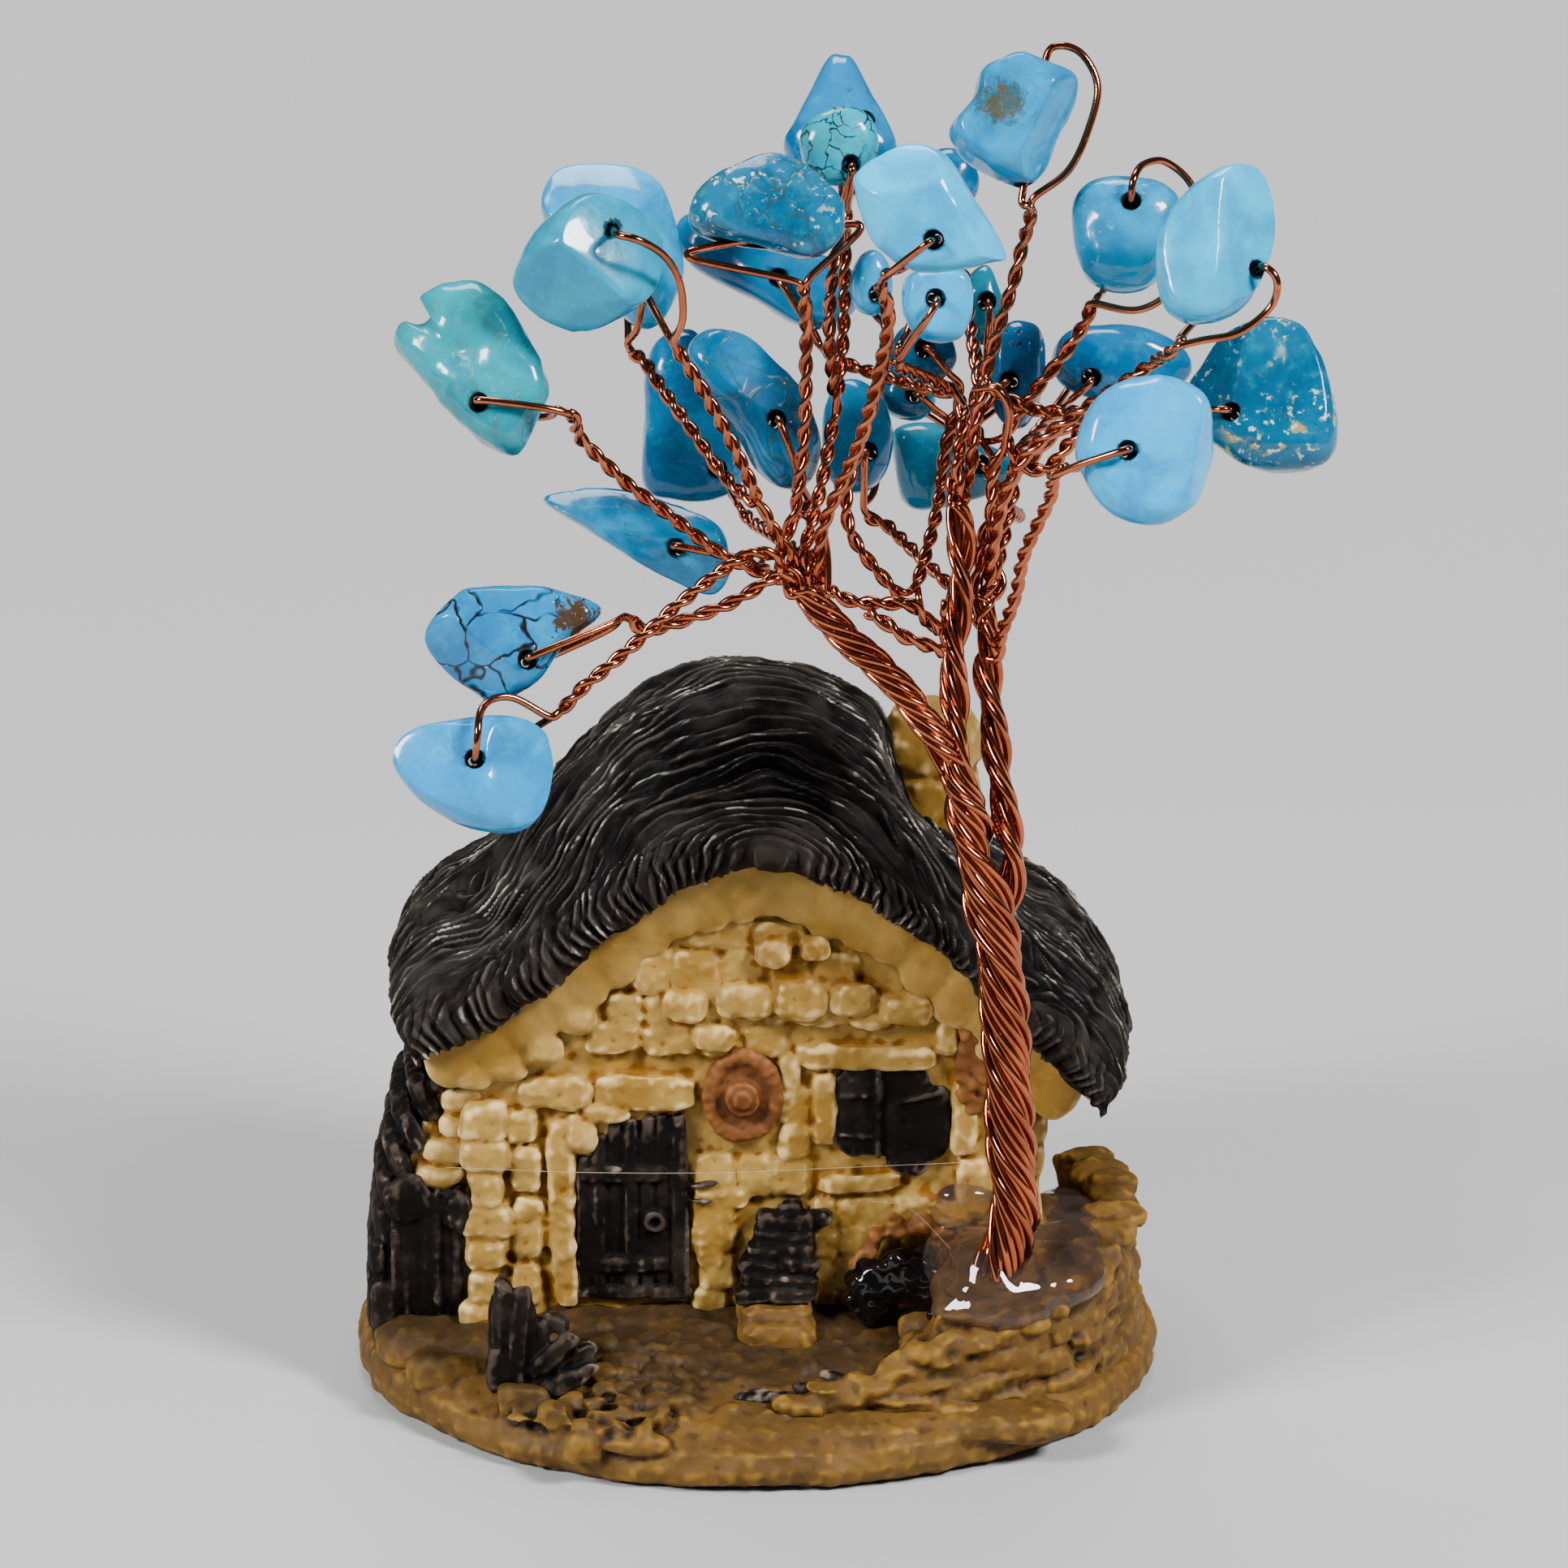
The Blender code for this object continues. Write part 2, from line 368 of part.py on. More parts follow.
def rim_reach(outline, hole, direction):
    """Furthest that the outline lies from the hole, within 14 degrees of a direction."""
    reach = 0.0
    pts = np.array(outline, float) - np.array(hole, float)
    for turn in np.radians(np.arange(-14.0, 14.1, 3.5)):
        ray = np.array([direction[0] * math.cos(turn) - direction[1] * math.sin(turn),
                        direction[0] * math.sin(turn) + direction[1] * math.cos(turn)])
        for k, start in enumerate(pts):
            side = pts[(k + 1) % len(pts)] - start
            cross = ray[0] * side[1] - ray[1] * side[0]
            if abs(cross) < 1e-9:
                continue
            distance = (start[0] * side[1] - start[1] * side[0]) / cross
            along = (start[0] * ray[1] - start[1] * ray[0]) / cross
            if distance > 0 and 0 <= along <= 1:
                reach = max(reach, distance)
    return reach


def loop_end(chip, wanted):
    """Where a chip's wire starts to twist: the wanted point, moved into its plane and clear of its rim.

    Returns that point, the middle of the hole, and the distance from the hole to the rim on that side."""
    name, centre, _, slope, hole, outline = chip
    middle, across, up, out, drilled, _ = drill(name, centre, slope, hole)
    offset = np.array(wanted, float) - drilled
    offset = offset - out * np.dot(offset, out)
    u, w = np.linalg.lstsq(np.stack([across, up], axis=1), offset, rcond=None)[0]
    length = math.hypot(u, w)
    rim = rim_reach(outline, hole, (u / length, w / length))
    reach = max(length, rim + LOOP_CLEARANCE)
    return drilled + offset * reach / length, drilled, rim


def loop_path(chip, end, rim, twig_direction):
    """One strand out of the twist, through the hole and back into the twist."""
    name, centre, thickness, slope, hole, outline = chip
    middle, across, up, out, drilled, axis = drill(name, centre, slope, hole)
    side = unit(axis - twig_direction * np.dot(axis, twig_direction))
    outward = unit(end - drilled)
    plane = np.linalg.lstsq(np.stack([across, up], axis=1), outward, rcond=None)[0]
    rim_points = np.array(outline, float)
    face = rim_points.mean(axis=0) + FACE_SCALE * (rim_points - rim_points.mean(axis=0))
    flat = rim_reach(face, hole, plane / np.linalg.norm(plane))
    half = []
    for sign in (1.0, -1.0):
        mouth = 0.5 * thickness
        if name in DRILLED_ACROSS:
            angle = math.radians(DRILLED_ACROSS[name])
            mouth = rim_reach(outline, hole, (sign * math.cos(angle), sign * math.sin(angle)))
        strand = [end - 0.35 * twig_direction + 0.24 * sign * side,
                  end + 0.30 * twig_direction + 0.40 * sign * side]
        if sign > 0 and name in ROUND_THE_CHIP:
            strand += [middle + u * across + w * up + h * out for u, w, h in ROUND_THE_CHIP[name][::-1]]
        elif name in DRILLED_ACROSS:
            strand.append(drilled + 0.5 * outward + (mouth + 0.55) * sign * axis)
        else:
            strand.append(drilled + (rim + 0.1) * outward + (0.2 * thickness + 0.62) * sign * out)
            if flat > 1.3:
                strand.append(drilled + flat * outward + (mouth + 0.42) * sign * out)
            strand.append(drilled + 0.40 * outward + (mouth + 0.60) * sign * out)
        strand.append(drilled + (mouth + 0.10) * sign * axis)
        strand.append(drilled + min(0.7, 0.5 * mouth) * sign * axis)
        half.append(strand)
    return smooth(half[0] + half[1][::-1], 0.9)


# ---- laying up the wires ---------------------------------------------------------------------
def settle(points, spacing):
    """Draw round sections together around their middle until they touch."""
    pts = np.array(points, float)
    for step in range(400):
        pts -= (0.03 if step < 300 else 0.0) * (pts - pts.mean(axis=0))
        for _ in range(8):
            apart = pts[:, None] - pts[None]
            distance = np.linalg.norm(apart, axis=2) + np.eye(len(pts)) * 9.0
            short = np.clip(spacing - distance, 0.0, None)
            pts += 0.5 * (apart / distance[..., None] * short[..., None]).sum(axis=1)
    return pts - pts.mean(axis=0)


def turned(points, angle):
    c, s = math.cos(angle), math.sin(angle)
    return np.asarray(points, float) @ np.array([[c, s], [-s, c]])


def ring_of(count, radius, centre):
    turns = [2 * math.pi * k / count for k in range(count)]
    return [(centre[0] + radius * math.cos(t), centre[1] + radius * math.sin(t)) for t in turns]


def strand_places():
    """Each wire's place in the section of the trunk, of the stem above it, and of its own limb."""
    spacing = 1.08 * (2 * STRAND_RADIUS + WIRE_GAP)
    groups = {limb: [k for k, wire in enumerate(WIRES) if wire[1] == limb] for limb in LIMBS}
    turn = 2 * math.pi * (MID_LEAVES - RIGHT_LEAVES) / LAY_LENGTH
    start = np.zeros((len(WIRES), 2))
    start[groups["left"]] = turned(ring_of(6, 0.6, (-0.7, 0.0)), turn) + (-0.6, 0.0)
    start[groups["mid"]] = turned(ring_of(4, 0.45, (0.9, 0.0)), turn) + (-0.6, 0.0)
    start[groups["right"]] = ring_of(4, 0.45, (1.5, 0.0))
    trunk = settle(start, spacing)
    stem, limb = trunk.copy(), trunk.copy()
    pair = groups["left"] + groups["mid"]
    stem[pair] = settle(trunk[pair], spacing)
    stem[groups["right"]] = settle(trunk[groups["right"]], spacing)
    for group in groups.values():
        limb[group] = settle(stem[group], spacing)
    return trunk, stem, limb


def bundle_line(axis, leaves, places):
    """One wire's line up the trunk and its limb, turning around the middle as a rope's strands do."""
    line = even(smooth(axis, 0.5), RELAX_STEP)
    along = tangents(line)
    travelled = np.arange(len(line)) * RELAX_STEP
    line_out = []
    for point, direction, distance in zip(line, along, travelled):
        if point[2] > leaves:
            break
        trunk, stem, limb = places
        first = np.clip((distance - RIGHT_LEAVES) / PART_LENGTH + 0.5, 0.0, 1.0)
        second = np.clip((distance - MID_LEAVES) / PART_LENGTH + 0.5, 0.0, 1.0)
        place = (trunk * (1 - first) + stem * first) * (1 - second) + limb * second
        place = turned([place], -2 * math.pi * (distance - RIGHT_LEAVES) / LAY_LENGTH)[0]
        splay = 1.0 + 0.16 * max(0.0, 1.0 - distance / 3.0)
        across = unit(RIGHT - direction * direction[0])
        line_out.append(point + splay * (place[0] * across + place[1] * np.cross(direction, across)))
    return line_out


def closest(p1, d1, p2, d2):
    """Closest points of pairs of segments: how far along each, from 0 to 1."""
    r = p1 - p2
    a, e = (d1 * d1).sum(1), (d2 * d2).sum(1)
    b, c, f = (d1 * d2).sum(1), (d1 * r).sum(1), (d2 * r).sum(1)
    bottom = a * e - b * b
    s = np.clip(np.where(bottom > 1e-9, (b * f - c * e) / np.maximum(bottom, 1e-9), 0.5), 0, 1)
    t = np.clip((b * s + f) / e, 0, 1)
    s = np.clip((b * t - c) / a, 0, 1)
    return s, t


def relax(lines, rounds=420):
    """Ease wires of different owners apart where they cross or crowd, keeping the lines smooth.

    A line is a dictionary with points, radii, its owner and, on a branch, the parent line and
    the index of the parent's point that it grows from."""
    sizes = [len(line["points"]) for line in lines]
    first = np.concatenate([[0], np.cumsum(sizes)])
    points = np.vstack([line["points"] for line in lines])
    home = points.copy()
    radii = np.concatenate([line["radii"] for line in lines])
    start = np.concatenate([np.arange(first[k], first[k + 1] - 1) for k in range(len(lines))])
    owner = np.concatenate([[line["owner"]] * (len(line["points"]) - 1) for line in lines])
    held = np.zeros(len(points), bool)
    held[[first[k + 1] - 1 for k in range(len(lines))]] = True
    held[[first[k] for k, line in enumerate(lines) if line["parent"] is None]] = True
    for turn in range(rounds):
        if turn % 12 == 0:
            middle = 0.5 * (points[start] + points[start + 1])
            gap = np.linalg.norm(middle[:, None] - middle[None], axis=2)
            near = (gap < 2.2) & (owner[:, None] < owner[None])
            one, two = (start[k] for k in np.nonzero(near))
        d1, d2 = points[one + 1] - points[one], points[two + 1] - points[two]
        s, t = closest(points[one], d1, points[two], d2)
        apart = (points[one] + d1 * s[:, None]) - (points[two] + d2 * t[:, None])
        distance = np.maximum(np.linalg.norm(apart, axis=1), 1e-6)
        wanted = np.maximum(radii[one], radii[one + 1]) + np.maximum(radii[two], radii[two + 1]) + WIRE_GAP
        push = 0.25 * np.clip(wanted - distance, 0, None)[:, None] * apart / distance[:, None]
        move = np.zeros_like(points)
        for index, share, sign in ((one, 1 - s, 1), (one + 1, s, 1), (two, 1 - t, -1), (two + 1, t, -1)):
            np.add.at(move, index, sign * share[:, None] * push)
        size = np.linalg.norm(move, axis=1)[:, None]
        points += np.where(held[:, None], 0.0, move * np.minimum(1.0, 0.15 / np.maximum(size, 1e-9)))
        if turn < rounds - 140:
            for k, line in enumerate(lines):
                part = points[first[k]:first[k + 1]]
                part[1:-1] += 0.06 * (0.5 * (part[:-2] + part[2:]) - part[1:-1])
            points += 0.01 * (home - points) * ~held[:, None]
        for k, line in enumerate(lines):
            if line["parent"] is not None:
                points[first[k]] = points[first[line["parent"]] + line["joined"]]
    return [points[first[k]:first[k + 1]].copy() for k in range(len(lines))]


def wire_lines():
    """The relaxed lines of all the wires: for each wire the main line and its branch."""
    places = strand_places()
    chips = {chip[0]: chip for chip in CHIPS}
    lines = []
    for number, (_, limb, leaves, main_chip, route, side_chip, side_route) in enumerate(WIRES):
        axis = TRUNK + LIMBS[limb]
        bundle = bundle_line(axis, leaves, [place[number] for place in places])
        bundle = [p for p in bundle if p[2] > FOOT_Z]
        end, drilled, _ = loop_end(chips[main_chip], route[-1])
        twig = even(smooth([bundle[-1]] + route[:-1] + [end + unit(end - drilled), end], 0.4), RELAX_STEP)
        points = np.vstack([bundle, twig[1:]])
        ramp = np.clip((np.arange(len(points)) - len(bundle) + 1) / 4.0, 0.0, 1.0)
        radii = STRAND_RADIUS + (TWIG_RADIUS - STRAND_RADIUS) * ramp
        lines.append({"points": points, "radii": radii, "owner": number, "parent": None})
        fork = int(np.argmin(np.linalg.norm(points - np.array(side_route[0]), axis=1)))
        end, drilled, _ = loop_end(chips[side_chip], side_route[-1])
        route = [points[fork]] + side_route[1:-1] + [end + unit(end - drilled), end]
        side = even(smooth(route, 0.4), RELAX_STEP)
        lines.append({"points": side, "radii": np.full(len(side), TWIG_RADIUS), "owner": number,
                      "parent": 2 * number, "joined": fork})
    return lines, relax(lines)


def thinned(points, error=0.08, longest=3.2):
    """Numbers of the points that a line needs to stay within an error of itself."""
    keep = [0]
    while keep[-1] < len(points) - 1:
        here = keep[-1]
        ahead = here + 1
        for far in range(here + 2, len(points)):
            chord = points[far] - points[here]
            length = np.linalg.norm(chord)
            offset = np.cross(points[here + 1:far] - points[here], chord / length)
            if length > longest or np.linalg.norm(offset, axis=1).max() > error:
                break
            ahead = far
        keep.append(ahead)
    return keep


def make_wires(mat):
    chips = {chip[0]: chip for chip in CHIPS}
    lines, relaxed = wire_lines()
    for number, wire in enumerate(WIRES):
        pieces = []
        for index, role, chip_name in ((2 * number, "main", wire[3]), (2 * number + 1, "side", wire[5])):
            points = relaxed[index]
            keep = thinned(points)
            end, _, rim = loop_end(chips[chip_name], points[-1])
            direction = unit(points[-1] - points[-3])
            body = points[keep]
            body[-1] = body[-1] + 0.1 * direction
            pieces.append(tube(f"{role}_{wire[0]}", body, lines[index]["radii"][keep]))
            path = loop_path(chips[chip_name], end, rim, direction)
            pieces.append(tube(f"loop_{chip_name}", path, [WIRE_RADIUS] * len(path), sides=4))
        whole = pieces[0]
        whole.name = f"wire_{wire[0]}"
        whole.data.materials.append(mat)
        for piece in pieces[1:]:
            join(whole, piece)


# ---- the cast cottage ------------------------------------------------------------------------------
ROOF_TOP = [(-20.0, 21.4), (-20.7, 23.4), (-18.6, 25.7), (-15.0, 27.3), (-10.5, 31.4), (-6.5, 34.4),
            (-3.0, 35.7), (0.4, 36.0), (4.0, 35.2), (8.0, 32.6), (12.0, 28.8), (15.5, 25.2),
            (18.8, 22.8), (21.0, 19.6), (20.6, 17.4)]
ROOF_UNDER = [(18.6, 18.6), (15.8, 21.6), (12.5, 25.0), (8.6, 28.6), (4.5, 31.2), (0.0, 32.3),
              (-4.0, 31.2), (-8.0, 28.4), (-12.0, 25.2), (-15.5, 22.8), (-18.2, 21.2)]
GABLE = [(-16.4, 2.2), (-16.4, 23.6), (-12.0, 26.8), (-8.0, 30.2), (-4.0, 32.8), (0.0, 34.0),
         (4.5, 32.8), (8.6, 30.2), (12.5, 26.6), (15.6, 23.0), (15.9, 2.2)]
LEAN_TO = [(-15.0, 2.1), (-21.9, 2.1), (-21.8, 8.0), (-20.5, 14.2), (-18.6, 19.6), (-15.0, 21.0)]
PLINTH_HALF = (23.2, 19.6)
GARDEN_WALL = [(2.0, -16.4, 3.4), (8.0, -15.7, 5.6), (14.6, -13.3, 7.6), (19.4, -9.4, 9.0),
               (21.6, -4.4, 10.2), (21.9, 0.5, 10.7), (19.6, 5.5, 10.9)]
WALL_THICKNESS = 2.3


def ellipse(half, centre, z, count=26):
    turns = [2 * math.pi * k / count for k in range(count)]
    return [(centre[0] + half[0] * math.cos(t), centre[1] + half[1] * math.sin(t), z) for t in turns]


def scaled(profile, factor, about=(0.2, 27.0)):
    return [(about[0] + (x - about[0]) * factor, about[1] + (z - about[1]) * factor) for x, z in profile]


def garden_wall():
    pts = np.array(GARDEN_WALL)
    along = np.gradient(pts[:, :2], axis=0)
    inward = np.stack([-along[:, 1], along[:, 0]], axis=1)
    inward = inward / np.linalg.norm(inward, axis=1)[:, None] * WALL_THICKNESS
    rings = []
    for (x, y, top), (dx, dy) in zip(pts, inward):
        rings.append([(x, y, 1.1), (x + dx, y + dy, 1.1), (x + dx, y + dy, top), (x, y, top)])
    return solid("garden_wall", *loft(rings))


def make_cottage(mat):
    rx, ry = PLINTH_HALF
    rings = [ellipse((rx - 0.3, ry - 0.3), (0, 0), 0.0), ellipse((rx, ry), (0, 0), 0.6),
             ellipse((rx - 0.2, ry - 0.3), (0, 0), 2.2), ellipse((rx - 1.4, ry - 1.6), (0, 0.4), 3.0),
             ellipse((rx - 4.5, ry - 5.5), (0, 2.6), 4.4), ellipse((rx - 7.0, ry - 9.0), (0, 4.8), 5.6)]
    cottage = solid("cottage_casting", *loft(rings), mat)
    stations = ((-7.4, 0.965), (-6.0, 1.0), (14.8, 1.0), (16.6, 0.96))
    roof = [[(x, y, z) for x, z in scaled(ROOF_TOP + ROOF_UNDER, factor)] for y, factor in stations]
    terrace = [(9.4, -12.6), (13.6, -12.4), (18.0, -9.6), (20.3, -4.2), (20.4, 1.0), (17.0, 4.4),
               (12.0, 3.0), (10.4, -4.0)]
    chimney = [ellipse((r, r * 0.86), (10.1, 9.0), z, 10)
               for z, r in ((26.0, 3.0), (33.0, 2.9), (35.8, 2.7), (37.0, 1.9))]
    bush = [ellipse((r, r * 0.7), (8.2, -7.9), z, 9)
            for z, r in ((4.2, 1.9), (5.6, 2.9), (7.6, 3.1), (9.4, 2.4), (10.3, 1.1))]
    plaque = [[(-0.5 + 2.15 * math.cos(t), y, 18.4 + 2.6 * math.sin(t))
               for t in [2 * math.pi * k / 12 for k in range(12)]] for y in (-5.85, -3.9)]
    parts = [
        prism("house_walls", GABLE, -5.0, 13.4),
        solid("thatch", *loft(roof)),
        prism("lean_to", LEAN_TO, -4.3, 4.4),
        solid("chimney", *loft(chimney)),
        garden_wall(),
        solid("terrace", *loft([[(x, y, z) for x, y in terrace] for z in (1.3, 7.9)])),
        solid("bush", *loft(bush)),
        box("lower_step", (-1.3, -9.7, 2.6), (3.3, -4.7, 5.5)),
        box("upper_step", (-0.7, -7.7, 2.9), (3.7, -4.4, 8.6)),
        box("step_post", (-0.9, -6.3, 3.1), (2.9, -4.2, 12.4)),
        box("fence_post", (-14.6, -13.4, 1.9), (-12.0, -11.5, 9.6)),
        box("fence_rail", (-12.6, -14.2, 1.7), (-8.8, -12.3, 4.3)),
        box("door", (-10.2, -5.45, 4.1), (-3.9, -4.1, 16.2)),
        box("door_lintel", (-13.5, -5.9, 17.0), (-3.5, -4.15, 19.3)),
        box("window_lintel", (2.4, -5.8, 20.5), (10.5, -4.25, 21.9)),
        box("window_sill", (4.0, -5.75, 12.4), (11.4, -4.3, 13.6)),
        box("corner_pillar", (-16.9, -5.8, 3.3), (-14.1, -4.4, 17.2)),
        solid("plaque", *loft(plaque)),
    ]
    for part in parts:
        join(cottage, part)
    return cottage


def make_glue(mat):
    """A low pool of clear glue on the terrace, with a socket that the trunk's foot stands in."""
    outline = [(10.0, -12.3), (13.0, -12.9), (14.6, -11.3), (15.7, -8.5), (18.5, -4.2), (19.1, 0.3),
               (16.6, 1.6), (16.5, -5.5), (12.2, -5.6), (11.9, -9.6)]
    levels = ((8.3, 1.0), (9.0, 1.0), (9.6, 0.93))
    middle = (16.1, -6.4)
    rings = []
    for z, factor in levels:
        rings.append([(middle[0] + (x - middle[0]) * factor, middle[1] + (y - middle[1]) * factor, z)
                      for x, y in outline])
    glue = solid("glue_pool", *loft(rings), mat)
    foot = TRUNK[0]
    socket = solid("foot_socket", *loft([ellipse((2.1, 2.1), foot[:2], z, 12) for z in (8.65, 12.0)]))
    join(glue, socket, "DIFFERENCE")


def main():
    for obj in list(bpy.data.objects):
        bpy.data.objects.remove(obj, do_unlink=True)
    copper = material("copper", (0.72, 0.34, 0.19), 0.25, metallic=1.0)
    turquoise = material("turquoise", (0.12, 0.48, 0.68), 0.2)
    casting = material("painted_casting", (0.55, 0.42, 0.24), 0.7)
    clear = material("clear_glue", (0.55, 0.5, 0.42), 0.08, alpha=0.5)
    for chip in CHIPS:
        make_chip(*chip, turquoise)
    make_wires(copper)
    make_cottage(casting)
    make_glue(clear)


main()
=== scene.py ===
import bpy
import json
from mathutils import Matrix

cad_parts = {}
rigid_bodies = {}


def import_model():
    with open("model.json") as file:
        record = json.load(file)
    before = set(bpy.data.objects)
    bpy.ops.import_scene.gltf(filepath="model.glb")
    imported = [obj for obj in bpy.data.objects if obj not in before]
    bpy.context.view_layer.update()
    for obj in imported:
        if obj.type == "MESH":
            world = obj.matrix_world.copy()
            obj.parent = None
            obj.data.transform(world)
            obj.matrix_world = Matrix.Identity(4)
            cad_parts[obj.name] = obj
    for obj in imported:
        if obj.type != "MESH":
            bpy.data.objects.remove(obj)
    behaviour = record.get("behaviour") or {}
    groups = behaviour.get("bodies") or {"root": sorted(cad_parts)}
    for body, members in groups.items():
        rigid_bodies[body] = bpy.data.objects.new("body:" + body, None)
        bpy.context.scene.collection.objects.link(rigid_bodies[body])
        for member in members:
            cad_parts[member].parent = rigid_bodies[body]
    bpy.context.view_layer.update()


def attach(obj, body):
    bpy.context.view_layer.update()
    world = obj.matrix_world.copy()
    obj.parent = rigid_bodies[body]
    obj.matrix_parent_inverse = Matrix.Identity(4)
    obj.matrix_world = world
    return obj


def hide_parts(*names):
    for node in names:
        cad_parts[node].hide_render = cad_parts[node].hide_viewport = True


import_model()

# Looks of the gem tree: tumbled turquoise stones on twisted copper wire, a painted cast cottage and
# a pool of clear glue. Lengths are millimetres until MM turns them into metres; +X is the cottage's
# right, +Y its back and +Z up.
import json
import math
from itertools import product

import bmesh
import bpy
import numpy as np

MM = 0.001
ROOT = "cottage_and_wires"

# ---- driving dimensions ---------------------------------------------------------------------
STRAND = 0.215               # radius of the copper wire as it shows
TWIST_PITCH = 2.6            # length of one full turn of a twisted pair
FINE = 7                     # fine points of a wire to each point of its relaxed line
TWIG_RADIUS = 0.36           # room that a twisted pair takes
STRAND_RADIUS = 0.27         # room that a pair takes once it nests in a limb or the trunk
HOLE_RADIUS = 0.55           # drilled hole through each chip
FACE_SCALE = 0.62            # a chip's flat faces against its rim
WIRE_GAP = 0.10              # clear space left between neighbouring wires
LAY_LENGTH = 14.0            # height of one full turn of the trunk's strands
LEAN = math.radians(20.0)    # chips are described face on, in a plane leaning back by this much
LOOP_CLEARANCE = 1.20        # from a chip's rim to where its wire starts to twist
RELAX_STEP = 0.8             # spacing of the points that the wires are relaxed with
AXIS_STEP = 0.5              # spacing of the points along the trunk's and the limbs' centre lines
UNWIND = 4.5                 # a pair leaves its place in the limb over this length
STRAND_STEP = 0.13           # spacing of the points along a finished strand
CROWDED = 2.2                # wires nearer than this are looked at when they are eased apart
PUSH_SHARE = 0.25            # share of an overlap that one round takes away
LONGEST_MOVE = 0.15          # furthest that a point moves in one round
STRAIGHTEN = 0.06            # pull towards the middle of a point's neighbours, in one round
HOMING = 0.01                # pull back to where the point started, in one round
LAST_ROUNDS = 140            # the last rounds only push apart
WAIST_RADIUS = 0.27          # the drilled hole's narrow middle, where its two ends meet
FOOT_Z = 8.9                 # lower end of the wires, in the glue's socket
FOOT_BEND_Z = 13.2           # below this height the trunk leans towards the door
FOOT_LEAN = 1.2              # how far it has leant at its lower end

RIGHT = np.array([1.0, 0.0, 0.0])
UP = np.array([0.0, math.sin(LEAN), math.cos(LEAN)])
BACK = np.array([0.0, math.cos(LEAN), -math.sin(LEAN)])

